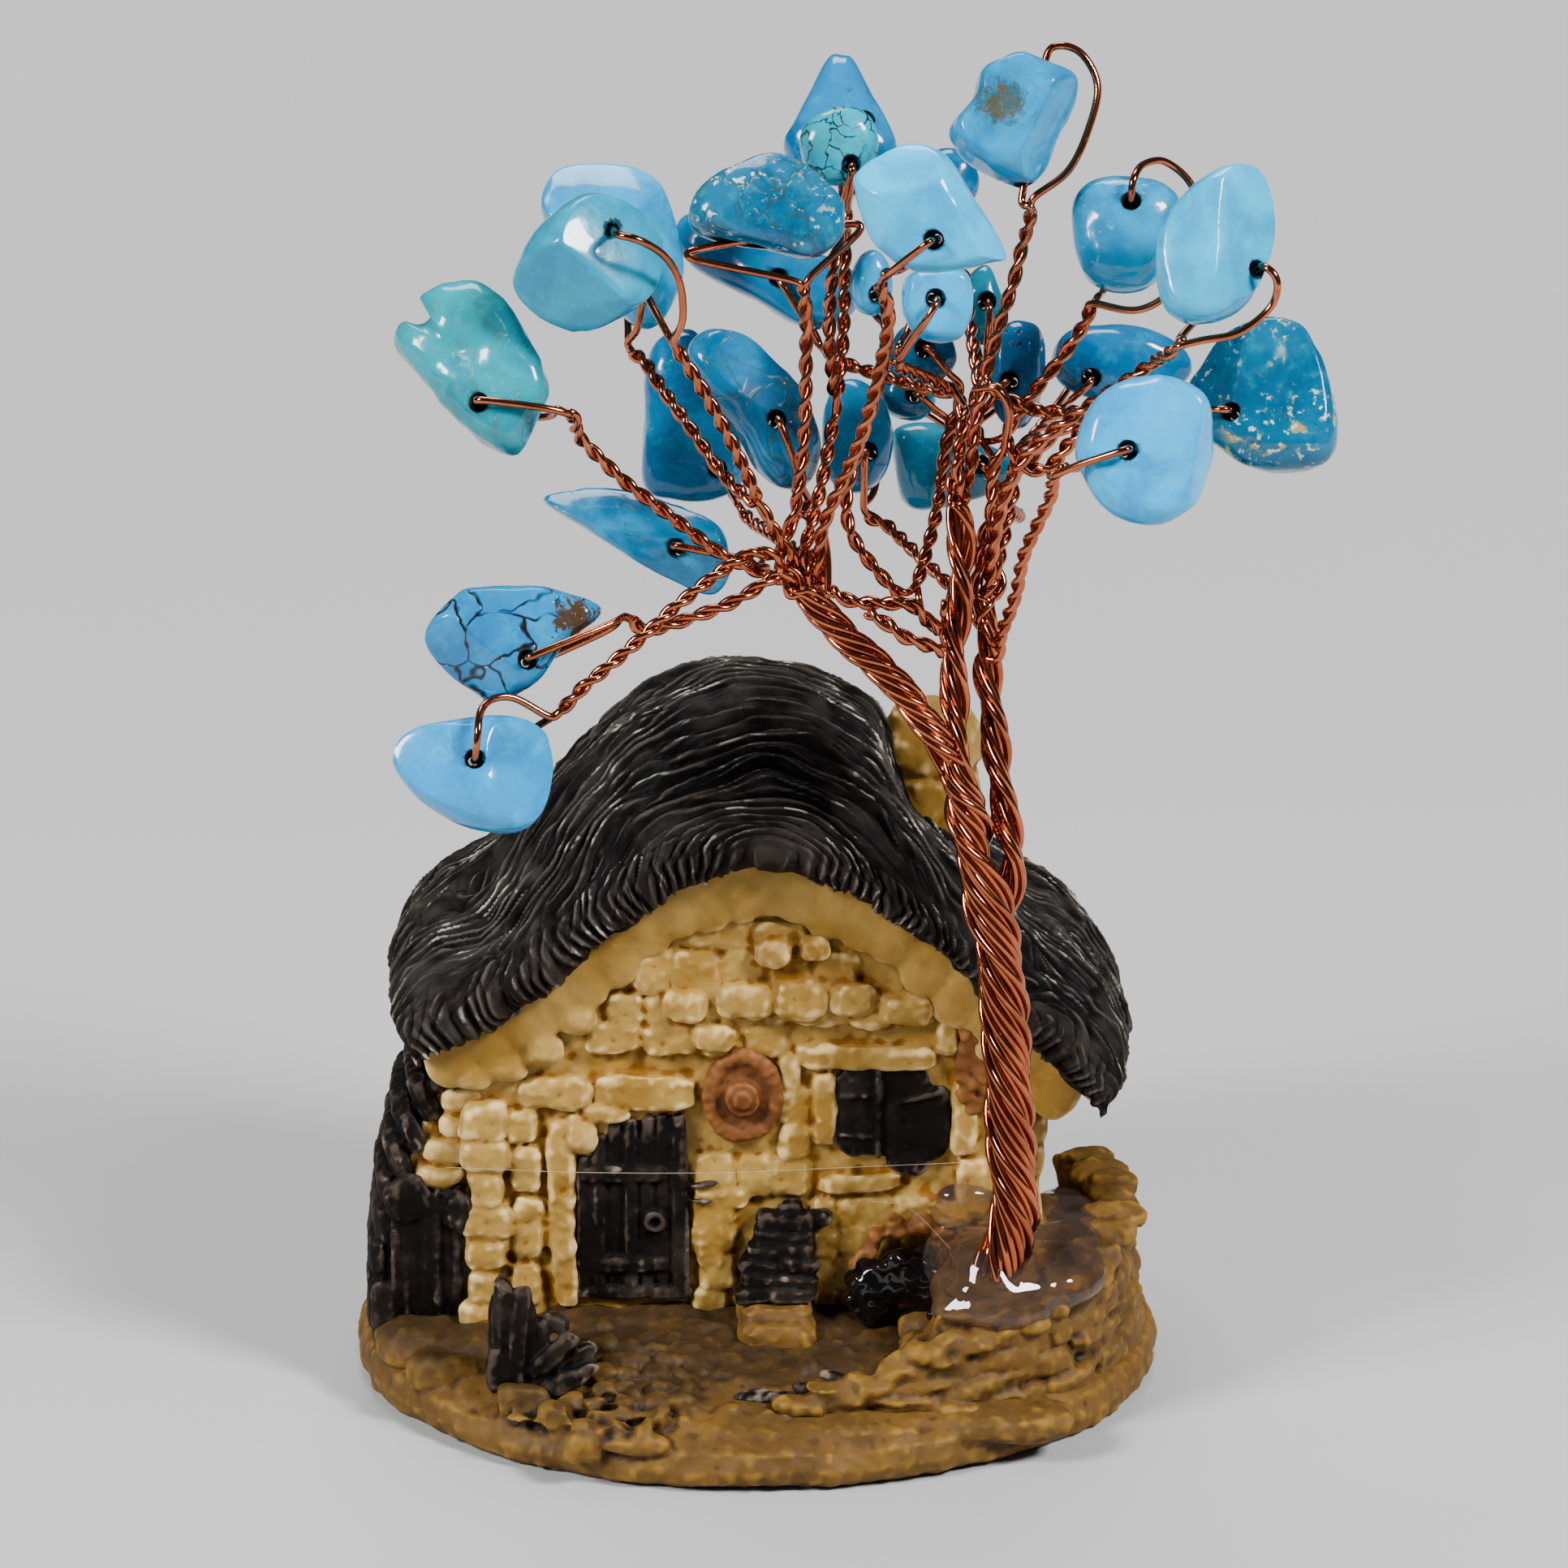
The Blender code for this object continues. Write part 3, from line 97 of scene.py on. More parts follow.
# ---- chips: name, centre, thickness, slope of the flat face across and up, drilled hole, outline --
CHIPS = (
    ("far_left", (-15.5, -8, 62.1), 3.8, (-0.25, 0.15), (1.0, -2.2),
     [(-4.2, 1.3), (-3.8, 2.6), (-2.5, 2.3), (-1.8, 3.0), (-2.6, 3.9), (-1.5, 4.6), (0.6, 4.5),
      (2.4, 3.0), (4.2, -1.0), (3.4, -3.3), (2.5, -4.6), (0.9, -4.2), (-0.6, -2.9), (-3.2, 0.0)]),
    ("upper_left_back", (-7.8, 3, 66.5), 3.6, (0.2, -0.1), (1.1, -3.2),
     [(-3.8, 2.9), (-3.0, 4.7), (-1.0, 5.1), (1.4, 4.4), (3.0, 2.3), (3.8, -1.6), (2.9, -4.3),
      (1.3, -5.1), (-1.0, -2.7), (-3.7, 0.7)]),
    ("upper_left_front", (-8.9, -10, 68.6), 5.2, (0.15, -0.25), (1.2, 2.0),
     [(-4.1, -0.8), (-2.6, 1.9), (0.2, 3.7), (3.4, 2.3), (4.1, 0.9), (2.8, -1.8), (-0.7, -3.7),
      (-3.1, -2.6)]),
    ("back_left_long", (0.6, 8, 63.1), 3.2, (-0.2, 0.2), (1.0, -0.9),
     [(-5.2, 1.9), (-4.2, 3.2), (-0.4, 1.9), (4.2, 0.3), (5.2, -1.4), (4.4, -2.9), (1.9, -3.2),
      (-1.3, -1.4), (-4.3, 0.3)]),
    ("speckled_centre", (0.7, -5, 70.4), 4.6, (0.1, 0.15), (1.2, -1.5),
     [(-4.2, -0.4), (-3.2, 1.3), (-1.2, 2.6), (0.8, 2.8), (2.8, 1.7), (4.2, 0.2), (4.0, -1.6),
      (2.5, -2.8), (0.2, -2.3), (-3.5, -1.5)]),
    ("top_peak", (4.7, 6, 72.3), 3.8, (0.0, 0.3), (1.4, -0.6),
     [(-3.2, -1.6), (-2.7, -0.3), (-0.8, 3.2), (0.2, 3.5), (1.0, 2.9), (3.2, -1.5), (2.2, -3.1),
      (0.0, -3.5), (-2.3, -2.9)]),
    ("top_oval", (4.6, 0.5, 72.4), 2.6, (0.15, 0.0), (0.5, -1.2),
     [(-2.1, 0.0), (-1.5, 1.6), (0.0, 2.2), (1.5, 1.6), (2.1, 0.0), (1.5, -1.6), (0.0, -2.2),
      (-1.5, -1.6)]),
    ("sky_front", (9.3, -13, 72.5), 4.6, (-0.15, -0.1), (0.5, -1.6),
     [(-4.0, 1.1), (-3.5, 2.2), (-1.7, 3.3), (0.2, 3.1), (1.5, 2.0), (4.0, -2.2), (3.3, -2.9),
      (-0.4, -3.3), (-2.9, -1.9)]),
    ("behind_sky", (10.7, 7, 68.5), 3.2, (0.2, 0.1), (0.0, -0.7),
     [(-1.7, 0.4), (-1.0, 1.6), (0.2, 1.8), (1.3, 1.1), (1.7, -0.5), (0.8, -1.8), (-1.0, -1.5)]),
    ("top_right", (14.1, -3, 74.8), 5.2, (0.2, 0.1), (1.2, 0.0),
     [(-3.5, -0.6), (-2.2, 1.0), (-1.8, 2.5), (-1.0, 3.2), (0.4, 3.5), (2.8, 2.7), (3.5, 1.7),
      (2.5, -1.0), (1.2, -3.4), (-0.3, -3.5), (-2.7, -2.2)]),
    ("right_round", (20.3, -3.5, 68.4), 4.2, (-0.1, 0.2), (0.4, 1.3),
     [(-3.0, 0.9), (-2.1, 2.6), (0.1, 3.0), (2.3, 2.6), (3.0, 1.0), (1.7, -2.3), (-0.2, -3.0),
      (-2.3, -2.3)]),
    ("right_leaf", (24.7, -11.5, 70.1), 4.2, (0.3, 0.1), (1.9, -1.5),
     [(-3.0, -0.8), (-2.4, 1.6), (-1.0, 3.4), (0.7, 4.3), (2.3, 3.9), (3.0, 2.1), (2.9, -0.1),
      (1.5, -3.2), (-0.8, -4.3), (-2.6, -3.4)]),
    ("right_back_dark", (20.5, 4, 58.8), 3.4, (0.1, -0.2), (-1.9, -0.6),
     [(-3.9, -0.1), (-3.2, 1.5), (-1.4, 2.1), (1.3, 1.9), (3.4, 0.9), (3.9, -0.5), (2.5, -1.7),
      (-0.5, -2.1), (-3.0, -1.6)]),
    ("far_right_deep", (28, -3, 59), 4.2, (-0.2, 0.1), (-1.5, -1.1),
     [(-4.2, 0.4), (-2.5, 3.0), (-0.5, 4.1), (1.4, 4.2), (2.7, 3.4), (3.6, 1.0), (4.2, -1.7),
      (3.8, -3.5), (1.9, -4.2), (-1.1, -3.7), (-3.4, -2.1)]),
    ("right_front", (21, -15, 59.7), 4.2, (0.1, 0.05), (-1.2, -0.2),
     [(-3.7, 0.2), (-3.0, 2.2), (-1.3, 3.6), (0.9, 4.0), (2.9, 3.3), (3.7, 1.7), (3.6, -0.9),
      (2.8, -2.9), (0.6, -4.0), (-1.5, -3.8), (-3.1, -2.4)]),
    ("drilled_centre", (9.9, -7, 65.4), 3.6, (0.15, -0.1), (-0.3, 0.4),
     [(-1.9, 0.6), (-1.5, 1.7), (-0.2, 2.0), (1.5, 1.9), (1.9, 0.5), (1.7, -1.2), (0.9, -2.0),
      (-0.9, -1.8), (-1.8, -0.7)]),
    ("small_oval", (6.4, -3, 65.5), 2.6, (0.2, 0.0), (0.1, -0.7),
     [(-1.1, 0.0), (-0.8, 1.2), (0.0, 1.8), (0.8, 1.2), (1.1, 0.0), (0.8, -1.3), (0.0, -1.8),
      (-0.8, -1.3)]),
    ("speckled_right", (14.5, -2, 59.9), 3.2, (-0.2, 0.0), (-0.2, -0.4),
     [(-1.5, 0.7), (-1.1, 2.4), (0.1, 3.1), (1.2, 2.5), (1.5, 0.7), (1.1, -1.7), (0.2, -3.1),
      (-0.8, -2.7), (-1.4, -1.3)]),
    ("back_drilled", (9.3, 4, 59.5), 2.8, (0.1, 0.2), (0.0, -0.2),
     [(-2.0, -0.4), (-1.3, 1.0), (0.1, 1.7), (1.3, 1.0), (2.0, -0.6), (1.0, -1.7), (-1.0, -1.6)]),
    ("back_teal", (8.7, 9, 55.5), 2.8, (0.0, 0.15), (0.3, -0.3),
     [(-1.6, -0.2), (-1.2, 1.0), (0.0, 1.5), (1.2, 0.7), (1.6, -0.7), (0.5, -1.5), (-1.1, -1.1)]),
    ("back_low", (11.1, 12, 50.3), 3.6, (0.1, -0.1), (1.6, 0.1),
     [(-3.4, 1.3), (-2.9, 2.3), (-0.9, 2.4), (1.6, 1.5), (3.4, 0.3), (3.1, -1.3), (-0.2, -2.4),
      (-2.5, -2.1)]),
    ("centre_large", (-0.1, -1, 57.6), 4.2, (0.1, 0.1), (1.1, -0.8),
     [(-3.7, 3.1), (-2.6, 4.4), (-0.9, 4.2), (0.8, 3.1), (2.7, 1.1), (3.7, -1.8), (3.3, -3.9),
      (1.7, -4.4), (0.3, -3.4), (-1.2, -0.9), (-2.9, 0.9)]),
    ("centre_back", (5.7, 6, 53.9), 3.2, (-0.2, 0.1), (0.9, -1.1),
     [(-1.9, 0.3), (-1.5, 2.3), (-0.3, 3.2), (1.2, 2.4), (1.9, 0.1), (1.3, -2.4), (-0.2, -3.2),
      (-1.5, -2.4)]),
    ("left_back_tall", (-3.6, 6, 55.1), 3.6, (0.1, -0.1), (1.3, -2.9),
     [(-2.8, -3.9), (-2.8, 0.1), (-2.3, 3.6), (-1.0, 4.7), (0.4, 4.5), (1.5, 1.7), (2.6, -1.0),
      (2.8, -3.6), (1.3, -4.7), (-1.1, -4.7)]),
    ("left_spike", (-6.6, -2, 50.3), 3.8, (-0.15, 0.1), (2.4, -0.6),
     [(-5.3, 2.3), (-3.4, 2.8), (-1.3, 2.9), (2.1, 1.9), (4.6, 0.7), (5.3, -1.3), (4.7, -2.6),
      (3.5, -2.9), (0.7, -1.5), (-2.6, 0.5)]),
    ("veined_left", (-13.2, -12, 47.6), 4.0, (0.1, 0.1), (0.7, -1.0),
     [(-4.7, 0.6), (-3.2, 2.5), (-1.9, 3.1), (1.8, 3.1), (4.5, 2.3), (4.7, 1.5), (2.8, 0.0),
      (1.0, -2.2), (-1.1, -3.1), (-2.1, -2.5), (-4.1, -0.8)]),
    ("low_left", (-15.3, -16, 41.5), 3.8, (0.1, 0.1), (0.0, 0.7),
     [(-4.3, 0.7), (-3.6, 2.1), (-1.6, 2.9), (0.9, 3.2), (3.5, 2.7), (4.3, 1.2), (4.1, -1.3),
      (2.9, -2.9), (1.1, -3.2), (-1.1, -2.6), (-3.2, -0.9)]),
    ("back_grey", (12.8, 6, 61.5), 2.6, (0.2, 0.1), (-0.1, 0.1),
     [(-1.1, 0.8), (-0.6, 1.9), (0.2, 2.2), (0.8, 0.8), (1.1, -1.0), (0.5, -2.2), (-0.7, -1.7)]),
)

# Chips drilled across, in the plane of the flat face: the drill's angle up from the chip's own right.
DRILLED_ACROSS = {"speckled_centre": 10, "top_right": 80}
# Loops that go round a chip the long way: points right, up and out of its middle, hole to twist.
ROUND_THE_CHIP = {
    "upper_left_front": [(2.3, 1.8, 3.2), (3.8, 0.8, 2.4), (4.7, -0.8, 1.5), (4.9, -2.8, 0.9)],
    "top_right": [(2.3, 4.0, 0.2), (3.6, 3.6, 0.4), (4.5, 1.8, 0.5), (4.0, -0.6, 0.5), (2.9, -2.9, 0.4)],
    "right_round": [(0.6, 2.4, 2.7), (1.1, 3.5, 1.4), (2.2, 4.0, 0.0), (3.6, 2.9, -1.0), (3.9, 0.6, -1.2),
                    (2.6, -2.6, -1.0), (0.6, -4.1, -0.4)],
    "right_leaf": [(2.5, -2.3, 2.5), (2.4, -3.6, 1.8), (0.9, -4.9, 1.1), (-1.0, -5.3, 0.7)],
    "low_left": [(0.1, 2.0, 2.6), (0.3, 3.3, 2.0), (1.0, 4.0, 1.2), (2.2, 4.1, 0.7)],
}

# How much further off a chip its wire stays, so that the chip can turn under it.
ROOM = {"upper_left_front": 0.32, "sky_front": 0.28, "right_leaf": 0.28}

# ---- the trunk's centre line, and each limb's centre line from where it leaves the trunk ---------
TRUNK = [(14.2, -10.9, 8.0), (14.5, -10.8, 11.6), (14.6, -10.7, 14.6), (14.3, -10.5, 17.9),
         (14.1, -10.2, 22.7), (13.7, -10.0, 27.5)]
STEM = [(12.9, -9.8, 31.8), (12.3, -9.6, 34.4), (11.8, -9.4, 36.9), (11.2, -9.1, 38.8)]
LIMBS = {
    "left": STEM + [(10.1, -8.9, 40.9), (8.9, -8.4, 42.6), (7.4, -8.0, 44.4), (5.4, -7.5, 46.1),
                    (3.6, -7.0, 47.9), (2.5, -6.6, 49.6)],
    "mid": STEM + [(11.2, -8.3, 41.3), (11.0, -7.5, 43.5), (11.0, -6.7, 46.0), (11.4, -5.8, 48.9),
                   (11.4, -5.0, 51.6), (11.0, -4.5, 54.0)],
    "right": [(13.7, -9.5, 31.0), (14.0, -9.0, 33.6), (13.9, -8.3, 36.2), (13.5, -7.6, 38.9),
              (13.2, -6.9, 41.6), (12.9, -6.2, 43.7), (12.9, -5.5, 46.1), (12.9, -4.8, 48.5)],
}
RIGHT_LEAVES = 26.5          # distance up the trunk where the right limb parts from the other two
MID_LEAVES = 32.0            # and where the middle and left limbs part
PART_LENGTH = 5.0            # the strands change places over this length

# ---- wires: name, limb, height where it leaves the limb, then each chip and the route to it ------
WIRES = (
    ("far_left", "left", 60, "far_left",
     [(1.1, -6.5, 49.7), (-0.2, -6.6, 50.0), (-2.0, -6.8, 51.0), (-4.5, -7.1, 53.3), (-7.3, -7.5, 55.5),
      (-8.9, -7.7, 57.4), (-10.1, -7.9, 58.3), (-11.2, -8.0, 59.2)],
     "left_spike", [(0.7, -6.3, 49.7), (-2.1, -2.0, 49.2)]),
    ("upper_left", "left", 60, "upper_left_front",
     [(1.3, -7.5, 52.1), (0.2, -8.0, 54.4), (-0.8, -8.5, 57.2), (-2.2, -9.1, 60.1), (-3.1, -9.5, 62.0),
      (-4.0, -9.9, 63.4), (-4.3, -10.0, 64.0)],
     "upper_left_back", [(-0.5, -5.8, 54.0), (-1.8, -4.6, 54.8), (-2.9, -3.4, 56.3), (-4.3, -2.2, 58.0),
                         (-5.6, -0.4, 59.2), (-6.4, 1.7, 60.5), (-7.0, 3.0, 61.7)]),
    ("low_left", "left", 60, "low_left",
     [(1.4, -8.0, 51.6), (0.0, -8.7, 52.4), (-1.2, -9.5, 51.6), (-2.9, -10.5, 50.5), (-4.5, -11.4, 49.5),
      (-6.2, -12.6, 48.1), (-8.4, -13.9, 46.6), (-10.0, -14.9, 45.7), (-11.8, -16.0, 44.5)],
     "veined_left", [(0.9, -8.3, 49.8), (-1.1, -9.0, 48.9), (-3.4, -9.6, 48.4), (-5.0, -10.2, 47.8),
                     (-7.2, -11.2, 47.9), (-9.2, -12.0, 48.1)]),
    ("speckled_centre", "left", 60, "speckled_centre",
     [(2.0, -6.0, 52.4), (2.4, -5.9, 54.2), (2.7, -5.7, 56.5), (2.8, -5.4, 60.3), (2.8, -5.2, 63.2),
      (2.4, -5.0, 65.5)],
     "centre_large", [(2.4, -4.4, 53.3), (2.0, -1.0, 53.4)]),
    ("top", "left", 60, "top_peak",
     [(3.0, -5.5, 52.2), (3.7, -4.0, 54.1), (4.3, -1.8, 57.0), (4.8, 0.2, 59.6), (5.0, 2.6, 62.9),
      (5.0, 4.3, 65.2), (5.4, 6.0, 67.5)],
     "top_oval", [(4.2, -3.0, 59.2), (4.0, -2.0, 62.4), (4.2, -1.0, 65.0), (4.5, -0.2, 67.0),
                  (4.7, 0.5, 69.2)]),
    ("sky_front", "left", 60, "sky_front",
     [(3.5, -7.5, 52.6), (4.4, -8.3, 55.0), (5.5, -9.2, 57.6), (6.1, -9.9, 59.6), (6.9, -11.2, 63.7),
      (7.5, -12.4, 67.3), (7.8, -13.0, 69.2)],
     "left_back_tall", [(2.5, -5.0, 51.0), (0.6, 0.8, 50.0), (-0.9, 6.0, 49.6)]),
    ("back_left", "mid", 60, "back_left_long",
     [(11.4, -4.5, 56.1), (12.0, -2.2, 58.0), (11.2, -0.9, 58.8), (9.3, 0.4, 58.4), (7.9, 1.6, 58.5),
      (6.8, 2.9, 58.5), (2.6, 8.0, 60.6)],
     "drilled_centre", [(9.2, -3.6, 60.2), (8.1, -6.0, 61.5), (7.7, -7.0, 62.6)]),
    ("top_right", "mid", 60, "top_right",
     [(11.6, -4.5, 56.1), (12.3, -4.4, 58.8), (12.7, -4.3, 60.9), (13.4, -4.2, 63.6), (14.0, -3.9, 65.0),
      (14.4, -3.6, 66.3), (14.7, -3.2, 68.3), (14.8, -3.0, 70.6)],
     "behind_sky", [(11.9, -2.0, 59.5), (11.9, 0.4, 62.2), (11.6, 3.0, 64.2), (11.4, 5.4, 65.0),
                    (11.3, 7.0, 65.7)]),
    ("small_oval", "mid", 46.5, "small_oval",
     [(9.4, -6.0, 47.1), (7.8, -5.7, 48.4), (6.7, -5.4, 49.6), (5.5, -5.1, 50.8), (4.7, -4.8, 52.2),
      (4.9, -4.3, 54.2), (5.8, -3.9, 56.7), (6.7, -3.4, 59.1), (7.0, -3.2, 60.9), (7.0, -3.0, 62.7)],
     "back_drilled", [(9.9, -4.0, 48.8), (10.3, -1.3, 52.3), (10.6, 1.8, 55.1), (11.0, 4.0, 57.2)]),
    ("back_grey", "mid", 60, "back_grey",
     [(11.2, -3.0, 55.2), (12.0, 0.5, 56.4), (12.4, 3.3, 57.5), (12.5, 6.0, 58.5)],
     "back_teal", [(11.2, 1.0, 55.0), (11.0, 5.0, 54.2), (10.8, 9.0, 53.6)]),
    ("right_round", "right", 60, "right_round",
     [(12.9, -4.5, 51.4), (13.0, -4.4, 54.2), (13.1, -4.3, 56.0), (14.0, -4.6, 58.0), (15.4, -4.9, 60.0),
      (17.0, -4.6, 61.8), (18.2, -4.1, 63.6), (19.1, -3.5, 65.2)],
     "speckled_right", [(12.8, -3.0, 56.6), (12.8, -2.0, 57.6)]),
    ("right_leaf", "right", 60, "right_leaf",
     [(13.2, -6.0, 51.9), (13.7, -6.9, 55.0), (14.6, -7.6, 57.1), (16.2, -8.3, 58.7), (18.1, -9.1, 60.3),
      (20.2, -10.2, 62.1), (21.7, -11.1, 63.6), (22.3, -11.5, 64.5)],
     "right_back_dark", [(14.6, -4.5, 56.2), (16.4, 0.9, 56.6), (17.2, 4.0, 56.6)]),
    ("far_right", "right", 60, "far_right_deep",
     [(12.7, -4.0, 51.7), (13.3, -3.8, 53.6), (14.2, -3.8, 55.2), (15.8, -4.0, 56.9), (17.2, -3.8, 57.9),
      (18.8, -3.5, 58.2), (21.0, -3.2, 58.2), (23.2, -3.0, 57.9)],
     "back_low", [(13.3, -2.0, 51.6), (14.2, 4.0, 50.2), (14.0, 12.0, 48.7)]),
    ("right_front", "right", 46.0, "right_front",
     [(13.4, -7.4, 46.6), (14.1, -9.1, 48.6), (14.5, -10.2, 50.5), (14.4, -11.1, 52.2), (15.3, -12.5, 54.6),
      (15.9, -13.4, 56.2), (16.4, -14.2, 57.5), (17.1, -15.0, 58.6)],
     "centre_back", [(12.2, -4.0, 47.2), (10.9, -2.2, 47.8), (9.9, -0.7, 48.2), (9.1, 0.9, 48.5),
                     (8.0, 3.0, 49.0), (7.2, 4.8, 49.6), (6.7, 6.0, 50.3)]),
)


# ---- numbers, noise and meshes ------------------------------------------------------------------
def unit(vector):
    return vector / np.linalg.norm(vector)


def unit_rows(rows):
    return rows / np.maximum(np.linalg.norm(rows, axis=1), 1e-6)[:, None]


def clamp(value):
    return np.clip(value, 0, 1)


def ease(share):
    """A share from 0 to 1, eased at both ends."""
    return share * share * (3 - 2 * share)


def noise(points, scale, seed=0):
    """Smooth noise between -1 and 1 at points in mm; scale is its features' width, or one for each axis."""
    p = np.asarray(points, float) / np.array(scale, float) + 13.7 * seed + 500.0
    cell = np.floor(p).astype(np.int64)
    part = p - cell
    near = ease(part)
    total = np.zeros(len(p))
    for corner in product((0, 1), repeat=3):
        x, y, z = (cell + corner).T.astype(np.uint64)
        mixed = (x * np.uint64(73856093) ^ y * np.uint64(19349663) ^ z * np.uint64(83492791)
                 ^ np.uint64(seed + 77))
        mixed = (mixed ^ (mixed >> np.uint64(13))) * np.uint64(1274126177)
        mixed = mixed ^ (mixed >> np.uint64(16))
        value = (mixed % np.uint64(65536)).astype(float) / 32767.5 - 1.0
        total += np.prod(np.where(corner, near, 1.0 - near), axis=1) * value
    return total


def placed(name, data):
    """A new object in the scene."""
    obj = bpy.data.objects.new(name, data)
    bpy.context.scene.collection.objects.link(obj)
    return obj


def modified(obj):
    """Make an object's mesh what its modifiers make of it, and return that mesh."""
    depsgraph = bpy.context.evaluated_depsgraph_get()
    mesh = bpy.data.meshes.new_from_object(obj.evaluated_get(depsgraph))
    obj.modifiers.clear()
    obj.data = mesh
    return mesh


def mesh_object(name, points, faces, mat):
    mesh = bpy.data.meshes.new(name)
    mesh.from_pydata((np.asarray(points, float) * MM).tolist(), [], faces)
    work = bmesh.new()
    work.from_mesh(mesh)
    bmesh.ops.recalc_face_normals(work, faces=work.faces)
    work.to_mesh(mesh)
    work.free()
    mesh.polygons.foreach_set("use_smooth", [True] * len(mesh.polygons))
    mesh.materials.append(mat)
    return placed(name, mesh)


def grid_faces(rows, columns):
    """Quads between the points of a grid that is stored row after row and closes across its columns."""
    return [(i * columns + j, i * columns + (j + 1) % columns,
             (i + 1) * columns + (j + 1) % columns, (i + 1) * columns + j)
            for i in range(rows - 1) for j in range(columns)]


def tube_faces(rows, columns):
    """The same, with both ends closed."""
    return ([tuple(range(columns))[::-1]] + grid_faces(rows, columns)
            + [tuple(range((rows - 1) * columns, rows * columns))])


def ball_faces(rows, columns):
    """Faces of a ball: a point, rows - 1 rings of points, and a last point."""
    last = 1 + (rows - 2) * columns
    return ([(0, 1 + (j + 1) % columns, 1 + j) for j in range(columns)]
            + [tuple(1 + k for k in face) for face in grid_faces(rows - 1, columns)]
            + [(last + j, last + (j + 1) % columns, last + columns) for j in range(columns)])


def grid_normals(grid):
    """Unit normals of a grid of points whose columns close on themselves."""
    across = np.roll(grid, -1, axis=1) - np.roll(grid, 1, axis=1)
    normal = np.cross(across, np.gradient(grid, axis=0))
    return normal / np.maximum(np.linalg.norm(normal, axis=2), 1e-9)[..., None]


def put_attribute(obj, name, values):
    attribute = obj.data.attributes.new(name, "FLOAT", "POINT")
    attribute.data.foreach_set("value", np.asarray(values, float).ravel())


def vectors(items, field):
    flat = np.empty(3 * len(items))
    items.foreach_get(field, flat)
    return flat.reshape(-1, 3)


def mesh_points(obj):
    return vectors(obj.data.vertices, "co") / MM


def mesh_normals(obj):
    return vectors(obj.data.vertex_normals, "vector")


def move_points(obj, points):
    obj.data.vertices.foreach_set("co", (points * MM).ravel())
    obj.data.update()


def relief(obj, rounds=8):
    """Height of each point over the mesh smoothed around it: above 0 on crests, below in creases."""
    edges = np.empty(2 * len(obj.data.edges), int)
    obj.data.edges.foreach_get("vertices", edges)
    one, two = edges.reshape(-1, 2).T
    points = mesh_points(obj)
    count = np.bincount(one, minlength=len(points)) + np.bincount(two, minlength=len(points))
    calm = points.copy()
    for _ in range(rounds):
        total = np.zeros_like(calm)
        for k in range(3):
            total[:, k] = (np.bincount(one, calm[two, k], len(points))
                           + np.bincount(two, calm[one, k], len(points)))
        calm = 0.3 * calm + 0.7 * total / np.maximum(count, 1)[:, None]
    return ((points - calm) * mesh_normals(obj)).sum(axis=1)


def fused(name, pieces, mat, voxel=0.16, rounds=2):
    """Melt overlapping pieces into one surface."""
    work = bmesh.new()
    for points, faces in pieces:
        verts = [work.verts.new(tuple(p * MM)) for p in np.asarray(points, float)]
        for face in faces:
            work.faces.new([verts[k] for k in face])
    bmesh.ops.recalc_face_normals(work, faces=work.faces)
    mesh = bpy.data.meshes.new(name)
    work.to_mesh(mesh)
    work.free()
    obj = placed(name, mesh)
    remesh = obj.modifiers.new("melt", "REMESH")
    remesh.mode = "VOXEL"
    remesh.voxel_size = voxel * MM
    soften = obj.modifiers.new("soften", "SMOOTH")
    soften.factor = 0.5
    soften.iterations = rounds
    melted = modified(obj)
    melted.name = name
    bpy.data.meshes.remove(mesh)
    melted.materials.clear()
    melted.materials.append(mat)
    melted.polygons.foreach_set("use_smooth", [True] * len(melted.polygons))
    return obj


def roughen(obj, layers, seed=0):
    """Push a mesh in and out along its normals by (scale, amount) layers of noise.

    An even scale is sampled at turned points, so that the noise's grid doesn't show on flat faces."""
    points, normals = mesh_points(obj), mesh_normals(obj)
    askew = points @ np.array([[0.80, 0.48, -0.36], [-0.60, 0.64, -0.48], [0.0, 0.60, 0.80]])
    push = sum(amount * noise(points if isinstance(scale, tuple) else askew, scale, seed + k)
               for k, (scale, amount) in enumerate(layers))
    moved = points + normals * push[:, None]
    moved[:, 2] = np.maximum(moved[:, 2], 0.0)
    move_points(obj, moved)


# ---- solids for the casting, as points and faces ------------------------------------------------
def loft(rings):
    """Points and faces of a closed solid whose rings have the same number of points."""
    return [np.array(p, float) for ring in rings for p in ring], tube_faces(len(rings), len(rings[0]))


def stone(centre, half, seed=0, power=3.4, lump=0.12, turn=0.0):
    """A rounded block: half its size each way, how square (2 is an ellipsoid), how lumpy, and its tilt."""
    rows, columns = 9, 14
    ring = []
    for i in range(1, rows):
        lat = math.pi * (i / rows - 0.5)
        for j in range(columns):
            lon = 2 * math.pi * j / columns
            ring.append((math.cos(lat) * math.cos(lon), math.cos(lat) * math.sin(lon), math.sin(lat)))
    ring = np.array([(0, 0, -1)] + ring + [(0, 0, 1)], float)
    size = (np.abs(ring) ** power).sum(axis=1) ** (-1.0 / power)
    points = ring * size[:, None]
    points = points * (1.0 + lump * noise(points + seed * 3.1, 0.9, seed))[:, None] * np.array(half)
    c, s = math.cos(turn), math.sin(turn)
    points = points @ np.array([[c, 0, s], [0, 1, 0], [-s, 0, c]]) + np.array(centre, float)
    return points, ball_faces(rows, columns)


def prism(profile, front, back):
    """Extrude an outline in the XZ plane from front to back."""
    return loft([[(x, y, z) for x, z in profile] for y in (front, back)])


def ellipse(half, centre, z, count=40):
    turns = [2 * math.pi * k / count for k in range(count)]
    return [(centre[0] + half[0] * math.cos(t), centre[1] + half[1] * math.sin(t), z) for t in turns]


